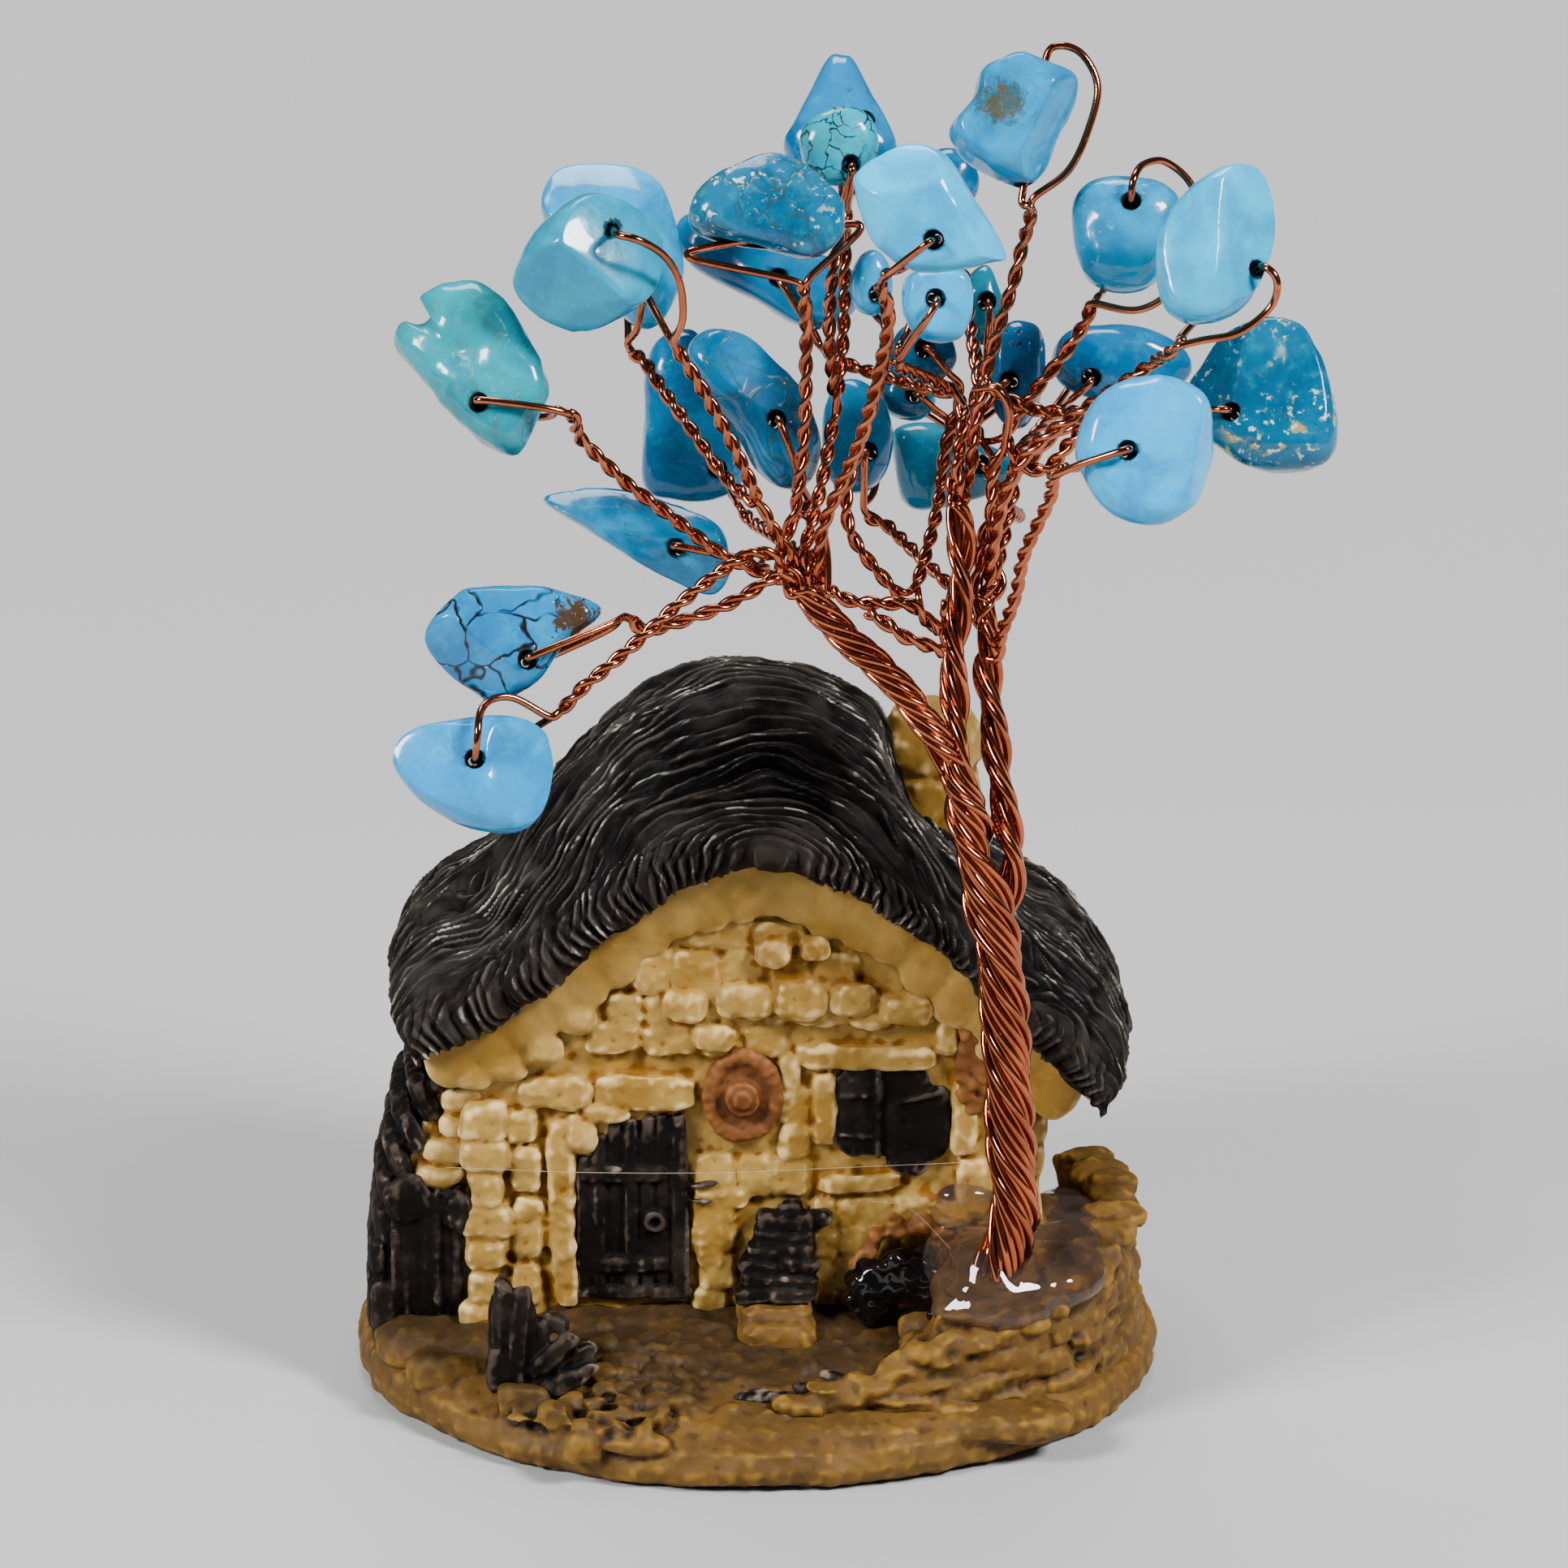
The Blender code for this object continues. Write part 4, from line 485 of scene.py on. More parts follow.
# ---- materials ---------------------------------------------------------------------------------
def rgb(red, green, blue):
    """A colour as it looks on a screen, 0 to 255, as the pigment that gives it under the studio's film.

    The film lifts dark tones and fades strong ones, so a pigment is deeper and stronger than its look.
    """
    seen = [((c / 255.0 + 0.055) / 1.055) ** 2.4 if c > 10 else c / 3294.6 for c in (red, green, blue)]
    light = 0.21 * seen[0] + 0.72 * seen[1] + 0.07 * seen[2]
    depth, strength = min(1.0, 0.48 + 1.8 * light * light), 1.18 + 0.55 * light
    return tuple(max(0.0015, depth * (light + strength * (c - light))) for c in seen) + (1.0,)


def grey(value):
    return (value, value, value, 1.0)


class Paint:
    """A material being built: each method adds a node and returns its output socket."""

    def __init__(self, name, roughness=0.5, metallic=0.0, coat=0.0, coat_roughness=0.1):
        self.mat = bpy.data.materials.new(name)
        self.mat.use_nodes = True
        self.tree = self.mat.node_tree
        self.shader = self.tree.nodes["Principled BSDF"]
        self.shader.inputs["Roughness"].default_value = roughness
        self.shader.inputs["Metallic"].default_value = metallic
        self.shader.inputs["Coat Weight"].default_value = coat
        self.shader.inputs["Coat Roughness"].default_value = coat_roughness
        self.where = self.tree.nodes.new("ShaderNodeTexCoord").outputs["Object"]

    def link(self, output, target):
        self.tree.links.new(output, target)

    def feed(self, target, value):
        """Set an input to a fixed number or colour, or link an output to it."""
        if isinstance(value, (int, float, tuple)):
            target.default_value = value
        else:
            self.link(value, target)

    def noise(self, size, detail=3.0, rough=0.55, distortion=0.0):
        """Noise from 0 to 1 with features about size mm wide."""
        node = self.tree.nodes.new("ShaderNodeTexNoise")
        node.inputs["Scale"].default_value = 1.0 / (size * MM)
        node.inputs["Detail"].default_value = detail
        node.inputs["Roughness"].default_value = rough
        node.inputs["Distortion"].default_value = distortion
        self.link(self.where, node.inputs["Vector"])
        return node.outputs["Fac"]

    def cell_edges(self, size, wander):
        """Distance to the edges of cells about size mm wide, with the edges pushed about by noise."""
        shift = self.tree.nodes.new("ShaderNodeTexNoise")
        shift.inputs["Scale"].default_value = 0.7 / (size * MM)
        shift.inputs["Detail"].default_value = 3.0
        self.link(self.where, shift.inputs["Vector"])
        mixed = self.tree.nodes.new("ShaderNodeMix")
        mixed.data_type = "VECTOR"
        mixed.inputs["Factor"].default_value = wander * MM
        self.link(self.where, mixed.inputs[4])
        self.link(shift.outputs["Color"], mixed.inputs[5])
        node = self.tree.nodes.new("ShaderNodeTexVoronoi")
        node.feature = "DISTANCE_TO_EDGE"
        node.inputs["Scale"].default_value = 1.0 / (size * MM)
        self.link(mixed.outputs[1], node.inputs["Vector"])
        return node.outputs["Distance"]

    def attribute(self, name):
        node = self.tree.nodes.new("ShaderNodeAttribute")
        node.attribute_name = name
        return node.outputs["Fac"]

    def between(self, value, low, high):
        """0 below low and 1 above high, eased; low may be the larger."""
        node = self.tree.nodes.new("ShaderNodeMapRange")
        node.interpolation_type = "SMOOTHSTEP"
        flip = low > high
        node.inputs["From Min"].default_value = high if flip else low
        node.inputs["From Max"].default_value = low if flip else high
        node.inputs["To Min"].default_value = 1.0 if flip else 0.0
        node.inputs["To Max"].default_value = 0.0 if flip else 1.0
        self.link(value, node.inputs["Value"])
        return node.outputs["Result"]

    def math(self, kind, one, two):
        node = self.tree.nodes.new("ShaderNodeMath")
        node.operation = kind
        self.feed(node.inputs[0], one)
        self.feed(node.inputs[1], two)
        return node.outputs[0]

    def times(self, one, two):
        return self.math("MULTIPLY", one, two)

    def centred(self, value, strength):
        """A value between 0 and 1 moved to lie about 0, and strengthened."""
        return self.times(self.math("SUBTRACT", value, 0.5), strength)

    def mix(self, factor, one, two):
        """Mix two colours, each a fixed colour or a socket."""
        node = self.tree.nodes.new("ShaderNodeMix")
        node.data_type = "RGBA"
        self.feed(node.inputs["Factor"], factor)
        self.feed(node.inputs[6], one)
        self.feed(node.inputs[7], two)
        return node.outputs[2]

    def color(self, output):
        self.link(output, self.shader.inputs["Base Color"])

    def vary(self, socket, value, low, high):
        """Drive one of the shader's numbers from a value between 0 and 1."""
        node = self.tree.nodes.new("ShaderNodeMapRange")
        node.inputs["To Min"].default_value = low
        node.inputs["To Max"].default_value = high
        self.link(value, node.inputs["Value"])
        self.link(node.outputs["Result"], self.shader.inputs[socket])

    def bump(self, height, depth, strength=1.0):
        """Fine relief, depth mm deep where height goes from 0 to 1."""
        node = self.tree.nodes.new("ShaderNodeBump")
        node.inputs["Strength"].default_value = strength
        node.inputs["Distance"].default_value = depth * MM
        self.link(height, node.inputs["Height"])
        before = self.shader.inputs["Normal"].links
        if before:
            self.link(before[0].from_socket, node.inputs["Normal"])
        self.link(node.outputs["Normal"], self.shader.inputs["Normal"])


# ---- smooth lines, and the wires as they lie ---------------------------------------------------------
def span(p0, p1, p2, p3, t):
    """Catmull-Rom curve from p1 to p2, at shares t of the way."""
    return 0.5 * (2 * p1 + (p2 - p0) * t + (2 * p0 - 5 * p1 + 4 * p2 - p3) * t ** 2
                  + (3 * p1 - p0 - 3 * p2 + p3) * t ** 3)


def smooth(points, step):
    """Catmull-Rom curve through the points, sampled about every step."""
    pts = np.array(points, float)
    ends = np.vstack([2 * pts[0] - pts[1], pts, 2 * pts[-1] - pts[-2]])
    out = []
    for k in range(1, len(ends) - 2):
        count = max(1, round(np.linalg.norm(ends[k + 1] - ends[k]) / step))
        out += [span(*ends[k - 1:k + 3], t) for t in np.arange(count) / count]
    out.append(pts[-1])
    return np.array(out)


def travelled(points):
    """Distance along a line at each of its points."""
    return np.concatenate([[0.0], np.cumsum(np.linalg.norm(np.diff(points, axis=0), axis=1))])


def at_lengths(points, length, at):
    """Points of a line at distances along it."""
    return np.stack([np.interp(at, length, column) for column in points.T], axis=1)


def even(points, step):
    """The same line with its points spread evenly."""
    length = travelled(points)
    return at_lengths(points, length, np.linspace(0.0, length[-1], max(2, round(length[-1] / step) + 1)))


def tangents(points):
    pts = np.array(points, float)
    along = np.gradient(pts, axis=0)
    return along / np.linalg.norm(along, axis=1)[:, None]


def chip_frame(centre, slope):
    """A chip's own axes: across, up and out of its flat face."""
    across = RIGHT + slope[0] * BACK
    up = UP + slope[1] * BACK
    return np.array(centre, float), across, up, unit(np.cross(across, up))


def drill(name, centre, slope, hole):
    """A chip's middle, its own axes, the middle of its hole and the direction it is drilled in."""
    middle, across, up, out = chip_frame(centre, slope)
    drilled = middle + hole[0] * across + hole[1] * up
    if name not in DRILLED_ACROSS:
        return middle, across, up, out, drilled, out
    angle = math.radians(DRILLED_ACROSS[name])
    return middle, across, up, out, drilled, unit(math.cos(angle) * across + math.sin(angle) * up)


def rim_reach(outline, hole, direction):
    """Furthest that the outline lies from the hole, within 14 degrees of a direction."""
    reach = 0.0
    pts = np.array(outline, float) - np.array(hole, float)
    for turn in np.radians(np.arange(-14.0, 14.1, 3.5)):
        ray = np.array([direction[0] * math.cos(turn) - direction[1] * math.sin(turn),
                        direction[0] * math.sin(turn) + direction[1] * math.cos(turn)])
        for k, start in enumerate(pts):
            side = pts[(k + 1) % len(pts)] - start
            cross = ray[0] * side[1] - ray[1] * side[0]
            if abs(cross) < 1e-9:
                continue
            distance = (start[0] * side[1] - start[1] * side[0]) / cross
            along = (start[0] * ray[1] - start[1] * ray[0]) / cross
            if distance > 0 and 0 <= along <= 1:
                reach = max(reach, distance)
    return reach


def loop_end(chip, wanted):
    """Where a chip's wire starts to twist: the wanted point, moved into its plane and clear of its rim.

    Returns that point, the middle of the hole, and the distance from the hole to the rim on that side."""
    name, centre, _, slope, hole, outline = chip
    _, across, up, out, drilled, _ = drill(name, centre, slope, hole)
    offset = np.array(wanted, float) - drilled
    offset = offset - out * np.dot(offset, out)
    u, w = np.linalg.lstsq(np.stack([across, up], axis=1), offset, rcond=None)[0]
    length = math.hypot(u, w)
    rim = rim_reach(outline, hole, (u / length, w / length))
    reach = max(length, rim + LOOP_CLEARANCE)
    return drilled + offset * reach / length, drilled, rim


def loop_path(chip, end, rim, twig_direction, step):
    """One strand out of the twist, through the hole and back into the twist."""
    name, centre, thickness, slope, hole, outline = chip
    middle, across, up, out, drilled, axis = drill(name, centre, slope, hole)
    side = unit(axis - twig_direction * np.dot(axis, twig_direction))
    outward = unit(end - drilled)
    plane = np.linalg.lstsq(np.stack([across, up], axis=1), outward, rcond=None)[0]
    rim_points = np.array(outline, float)
    face = rim_points.mean(axis=0) + FACE_SCALE * (rim_points - rim_points.mean(axis=0))
    flat = rim_reach(face, hole, plane / np.linalg.norm(plane))
    half = []
    for sign in (1.0, -1.0):
        mouth = 0.5 * thickness
        if name in DRILLED_ACROSS:
            angle = math.radians(DRILLED_ACROSS[name])
            mouth = rim_reach(outline, hole, (sign * math.cos(angle), sign * math.sin(angle)))
        # out of the twist, over the rim and the face, and into the hole's mouth
        strand = [end - 0.35 * twig_direction + 0.24 * sign * side,
                  end + 0.30 * twig_direction + 0.40 * sign * side]
        if sign > 0 and name in ROUND_THE_CHIP:
            strand += [middle + u * across + w * up + h * out for u, w, h in ROUND_THE_CHIP[name][::-1]]
        elif name in DRILLED_ACROSS:
            strand.append(drilled + 0.5 * outward + (mouth + 0.55) * sign * axis)
        else:
            room = ROOM.get(name, 0.0)
            strand.append(drilled + (rim + 0.1 + room) * outward
                          + (0.2 * thickness + 0.62 + room) * sign * out)
            if flat > 1.3:
                strand.append(drilled + flat * outward + (mouth + 0.42 + 0.5 * room) * sign * out)
            strand.append(drilled + 0.40 * outward + (mouth + 0.60) * sign * out)
        strand.append(drilled + (mouth + 0.10) * sign * axis)
        strand.append(drilled + min(0.7, 0.5 * mouth) * sign * axis)
        half.append(strand)
    return smooth(half[0] + half[1][::-1], step)


def settle(points, spacing):
    """Draw round sections together around their middle until they touch."""
    pts = np.array(points, float)
    drawing, still = 300, 100
    for step in range(drawing + still):
        pts -= (0.03 if step < drawing else 0.0) * (pts - pts.mean(axis=0))
        for _ in range(8):
            apart = pts[:, None] - pts[None]
            distance = np.linalg.norm(apart, axis=2) + np.eye(len(pts)) * 9.0
            short = np.clip(spacing - distance, 0.0, None)
            pts += 0.5 * (apart / distance[..., None] * short[..., None]).sum(axis=1)
    return pts - pts.mean(axis=0)


def turned(points, angle):
    c, s = math.cos(angle), math.sin(angle)
    return np.asarray(points, float) @ np.array([[c, s], [-s, c]])


def ring_of(count, radius, centre):
    turns = [2 * math.pi * k / count for k in range(count)]
    return [(centre[0] + radius * math.cos(t), centre[1] + radius * math.sin(t)) for t in turns]


def strand_places():
    """Each wire's place in the section of the trunk, of the stem above it, and of its own limb."""
    spacing = 1.08 * (2 * STRAND_RADIUS + WIRE_GAP)
    groups = {limb: [k for k, wire in enumerate(WIRES) if wire[1] == limb] for limb in LIMBS}
    turn = 2 * math.pi * (MID_LEAVES - RIGHT_LEAVES) / LAY_LENGTH
    start = np.zeros((len(WIRES), 2))
    start[groups["left"]] = turned(ring_of(6, 0.6, (-0.7, 0.0)), turn) + (-0.6, 0.0)
    start[groups["mid"]] = turned(ring_of(4, 0.45, (0.9, 0.0)), turn) + (-0.6, 0.0)
    start[groups["right"]] = ring_of(4, 0.45, (1.5, 0.0))
    trunk = settle(start, spacing)
    stem, limb = trunk.copy(), trunk.copy()
    pair = groups["left"] + groups["mid"]
    stem[pair] = settle(trunk[pair], spacing)
    stem[groups["right"]] = settle(trunk[groups["right"]], spacing)
    for group in groups.values():
        limb[group] = settle(stem[group], spacing)
    return trunk, stem, limb


def place_at(places, distance):
    """A strand's place in the section, some distance up the trunk and its limb."""
    trunk, stem, limb = places
    first = clamp((distance - RIGHT_LEAVES) / PART_LENGTH + 0.5)
    second = clamp((distance - MID_LEAVES) / PART_LENGTH + 0.5)
    return (trunk * (1 - first) + stem * first) * (1 - second) + limb * second


def bundle_line(axis, leaves, places):
    """One wire's line up the trunk and its limb, turning around the middle as a rope's strands do."""
    line = even(smooth(axis, AXIS_STEP), RELAX_STEP)
    along = tangents(line)
    line_out = []
    for point, direction, distance in zip(line, along, np.arange(len(line)) * RELAX_STEP):
        if point[2] > leaves:
            break
        place = turned([place_at(places, distance)],
                       -2 * math.pi * (distance - RIGHT_LEAVES) / LAY_LENGTH)[0]
        splay = 1.0 + 0.16 * max(0.0, 1.0 - distance / 3.0)
        across = unit(RIGHT - direction * direction[0])
        line_out.append(point + splay * (place[0] * across + place[1] * np.cross(direction, across)))
    return line_out


def closest(p1, d1, p2, d2):
    """Closest points of pairs of segments: how far along each, from 0 to 1."""
    r = p1 - p2
    a, e = (d1 * d1).sum(1), (d2 * d2).sum(1)
    b, c, f = (d1 * d2).sum(1), (d1 * r).sum(1), (d2 * r).sum(1)
    bottom = a * e - b * b
    s = clamp(np.where(bottom > 1e-9, (b * f - c * e) / np.maximum(bottom, 1e-9), 0.5))
    t = clamp((b * s + f) / e)
    s = clamp((b * t - c) / a)
    return s, t


def relax(lines, rounds=420):
    """Ease wires of different owners apart where they cross or crowd, keeping the lines smooth.

    A line is a dictionary with points, radii, its owner and, on a branch, the parent line and
    the index of the parent's point that it grows from."""
    sizes = [len(line["points"]) for line in lines]
    first = np.concatenate([[0], np.cumsum(sizes)])
    points = np.vstack([line["points"] for line in lines])
    home = points.copy()
    radii = np.concatenate([line["radii"] for line in lines])
    start = np.concatenate([np.arange(first[k], first[k + 1] - 1) for k in range(len(lines))])
    owner = np.concatenate([[line["owner"]] * (len(line["points"]) - 1) for line in lines])
    held = np.zeros(len(points), bool)
    held[[first[k + 1] - 1 for k in range(len(lines))]] = True
    held[[first[k] for k, line in enumerate(lines) if line["parent"] is None]] = True
    for turn in range(rounds):
        if turn % 12 == 0:
            middle = 0.5 * (points[start] + points[start + 1])
            gap = np.linalg.norm(middle[:, None] - middle[None], axis=2)
            near = (gap < CROWDED) & (owner[:, None] < owner[None])
            one, two = (start[k] for k in np.nonzero(near))
        d1, d2 = points[one + 1] - points[one], points[two + 1] - points[two]
        s, t = closest(points[one], d1, points[two], d2)
        apart = (points[one] + d1 * s[:, None]) - (points[two] + d2 * t[:, None])
        distance = np.maximum(np.linalg.norm(apart, axis=1), 1e-6)
        wanted = np.maximum(radii[one], radii[one + 1]) + np.maximum(radii[two], radii[two + 1]) + WIRE_GAP
        push = PUSH_SHARE * np.clip(wanted - distance, 0, None)[:, None] * apart / distance[:, None]
        move = np.zeros_like(points)
        for index, share, sign in ((one, 1 - s, 1), (one + 1, s, 1), (two, 1 - t, -1), (two + 1, t, -1)):
            np.add.at(move, index, sign * share[:, None] * push)
        size = np.linalg.norm(move, axis=1)[:, None]
        move *= np.minimum(1.0, LONGEST_MOVE / np.maximum(size, 1e-9))
        points += np.where(held[:, None], 0.0, move)
        if turn < rounds - LAST_ROUNDS:
            for k, line in enumerate(lines):
                part = points[first[k]:first[k + 1]]
                part[1:-1] += STRAIGHTEN * (0.5 * (part[:-2] + part[2:]) - part[1:-1])
            points += HOMING * (home - points) * ~held[:, None]
        for k, line in enumerate(lines):
            if line["parent"] is not None:
                points[first[k]] = points[first[line["parent"]] + line["joined"]]
    return [points[first[k]:first[k + 1]].copy() for k in range(len(lines))]


def wire_lines():
    """The relaxed lines of all the wires: for each wire the main line and its branch."""
    places = strand_places()
    chips = {chip[0]: chip for chip in CHIPS}
    lines = []
    for number, (_, limb, leaves, main_chip, route, side_chip, side_route) in enumerate(WIRES):
        axis = TRUNK + LIMBS[limb]
        bundle = bundle_line(axis, leaves, [place[number] for place in places])
        bundle = [p for p in bundle if p[2] > FOOT_Z]
        end, drilled, _ = loop_end(chips[main_chip], route[-1])
        twig = even(smooth([bundle[-1]] + route[:-1] + [end + unit(end - drilled), end], 0.4), RELAX_STEP)
        points = np.vstack([bundle, twig[1:]])
        ramp = clamp((np.arange(len(points)) - len(bundle) + 1) / 4.0)
        radii = STRAND_RADIUS + (TWIG_RADIUS - STRAND_RADIUS) * ramp
        lines.append({"points": points, "radii": radii, "owner": number, "parent": None})
        fork = int(np.argmin(np.linalg.norm(points - np.array(side_route[0]), axis=1)))
        end, drilled, _ = loop_end(chips[side_chip], side_route[-1])
        side = even(smooth([points[fork]] + side_route[1:-1] + [end + unit(end - drilled), end], 0.4),
                    RELAX_STEP)
        lines.append({"points": side, "radii": np.full(len(side), TWIG_RADIUS), "owner": number,
                      "parent": 2 * number, "joined": fork})
    return lines, relax(lines)


# ---- stones -------------------------------------------------------------------------------------
def closed_curve(outline, count):
    """Smooth closed curve through an outline, as evenly spread points."""
    pts = [(u, w, 0.0) for u, w in outline]
    lap = smooth(pts[-2:] + pts + pts[:2], 0.15)
    begin = int(np.argmin(np.linalg.norm(lap - pts[0], axis=1)))
    end = begin + 20 + int(np.argmin(np.linalg.norm(lap[begin + 20:] - pts[0], axis=1)))
    return resampled(lap[begin:end + 1], count)[:, :2]


def resampled(points, count):
    """A closed line's points spread evenly, the last left out because it repeats the first."""
    length = travelled(points)
    return at_lengths(points, length, np.linspace(0.0, length[-1], count + 1)[:-1])


def tumble(local, name, thickness, seed):
    """Uneven out a stone's local points: soft lumps, small dimples and flats ground by tumbling."""
    outward = unit_rows(local)
    lumps = 0.16 * noise(local, 3.0, seed) + LUMPY.get(name, 1.0) * (
        0.09 * noise(local, 1.5, seed + 5) + 0.03 * noise(local, 0.6, seed + 9))
    local = local + outward * lumps[:, None]
    for facing, (across, up, share) in FLATS.get(name, []):
        facing = unit(np.array(facing, float))
        over = local @ facing - facing @ np.array([across, up, share * 0.5 * thickness])
        local = local - np.where(over > 0, 0.88 * over, 0.0)[:, None] * facing
    return local


def make_stone(chip, number, mat):
    """A tumbled chip of turquoise with its hole drilled, riding on the chip's own body."""
    name, centre, thickness, slope, hole, outline = chip
    middle, across, up, out, drilled, axis = drill(name, centre, slope, hole)
    columns, rows = 96, 44
    rim = closed_curve(outline, columns)
    inset = np.mean(outline, axis=0)
    power = 2.0 / STONE_POWER
    local = []
    for i in range(1, rows):
        lat = math.pi * (i / rows - 0.5)
        scale = math.cos(lat) ** power
        height = math.copysign(abs(math.sin(lat)) ** power, lat) * 0.5 * thickness
        local += [(*(inset + (point - inset) * scale), height) for point in rim]
    local = np.array([(*inset, -0.5 * thickness)] + local + [(*inset, 0.5 * thickness)])
    local = tumble(local, name, thickness, number)
    points = middle + local[:, :1] * across + local[:, 1:2] * up + local[:, 2:] * out
    obj = mesh_object(f"stone_{name}", points, ball_faces(rows, columns), mat)
    turn = [2 * math.pi * k / 24 for k in range(24)]
    side = unit(np.cross(axis, (0.3, 0.2, 0.9)))
    over = np.cross(axis, side)
    bore = ((-9.0, HOLE_RADIUS), (-1.3, HOLE_RADIUS), (-0.3, WAIST_RADIUS),
            (0.3, WAIST_RADIUS), (1.3, HOLE_RADIUS), (9.0, HOLE_RADIUS))
    rings = [[drilled + d * axis + r * (math.cos(t) * side + math.sin(t) * over) for t in turn]
             for d, r in bore]
    bit = mesh_object(f"bit_{name}", *loft(rings), mat)
    cut = obj.modifiers.new("hole", "BOOLEAN")
    cut.operation = "DIFFERENCE"
    cut.object = bit
    drilled_mesh = modified(obj)
    bpy.data.objects.remove(bit, do_unlink=True)
    drilled_mesh.polygons.foreach_set("use_smooth", [True] * len(drilled_mesh.polygons))
    drilled_mesh.set_sharp_from_angle(angle=math.radians(50))
    from_axis = mesh_points(obj) - drilled
    off = np.linalg.norm(from_axis - (from_axis @ axis)[:, None] * axis, axis=1)
    # marks the inside of the hole, which the stone's paint darkens as painted shade
    put_attribute(obj, "bore", (off < 1.03 * HOLE_RADIUS).astype(float))
    if name in SPOTS:
        at_across, at_up, reach = SPOTS[name]
        from_spot = mesh_points(obj) - (middle + at_across * across + at_up * up)
        flat = from_spot - (from_spot @ out)[:, None] * out
        put_attribute(obj, "spot", clamp(1 - np.linalg.norm(flat, axis=1) / reach))
    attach(obj, f"{name}_chip")
    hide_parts(f"chip_{name}")


STONE_POWER = 2.8            # how square a stone's section is: 2 is an ellipse
# Flats ground on a stone: the way each faces in the stone's own axes (across, up, out),
# and a point it passes through, whose height is a share of half the stone's thickness.
FLATS = {
    "upper_left_front": [((-0.35, -0.42, 0.84), (0, 0, 0.84)), ((0.38, 0.44, 0.81), (0, 0, 0.84))],
    "upper_left_back": [((-0.06, 0.75, 0.66), (-0.4, 1.3, 0.62)), ((0.5, 0.2, 0.84), (1.0, 0.4, 0.8))],
    "sky_front": [((0.03, -0.1, 0.99), (0, 0, 0.84)), ((-0.1, 0.62, 0.78), (0, 1.5, 0.82)),
                  ((0.7, 0.3, 0.64), (2.2, 0, 0.6))],
    "right_leaf": [((-0.52, 0.12, 0.84), (-0.5, 0, 0.86)), ((0.3, 0.05, 0.95), (-0.5, 0, 0.86))],
    "right_front": [((0.0, 0.04, 1.0), (0, 0, 0.76)), ((0.85, -0.12, 0.5), (2.8, 0, 0.5))],
    "top_right": [((0.62, -0.3, 0.72), (1.1, 0, 0.8)), ((-0.22, 0.1, 0.97), (0, 0, 0.8))],
    "far_right_deep": [((0.1, 0.14, 0.98), (0, 0, 0.78)), ((-0.5, 0.2, 0.84), (-1.6, 0, 0.75))],
    "low_left": [((-0.32, 0.05, 0.94), (-0.8, 0, 0.8)), ((0.5, 0.1, 0.86), (1.6, 0, 0.75))],
    "left_spike": [((0.1, 0.58, 0.8), (0, 0.35, 0.8)), ((0.0, -0.5, 0.86), (0, 0.2, 0.8))],
    "veined_left": [((0.0, 0.12, 0.99), (0, 0, 0.8)), ((-0.4, -0.4, 0.82), (-1.4, -0.6, 0.75))],
    "drilled_centre": [((0.0, 0, 1), (0, 0, 0.76)), ((0.8, 0.2, 0.56), (2.0, 0, 0.5))],
    "centre_large": [((0.2, 0.3, 0.93), (0.3, 0.6, 0.84)), ((0.8, -0.3, 0.52), (3.15, -3.0, 0.43))],
    "speckled_centre": [((0.1, 0.5, 0.86), (0, 0.6, 0.82)), ((0.1, -0.35, 0.93), (0, 0, 0.86))],
}
# Where a stone's patch of brown matrix lies (across, up) and how far it reaches.
SPOTS = {"top_right": (-1.0, 0.5, 2.6), "veined_left": (3.4, 1.4, 2.8)}
# How much lumpier than usual a stone's surface is.
LUMPY = {"far_left": 2.4, "speckled_centre": 1.5, "top_right": 1.6, "far_right_deep": 1.3,
         "left_spike": 1.3}

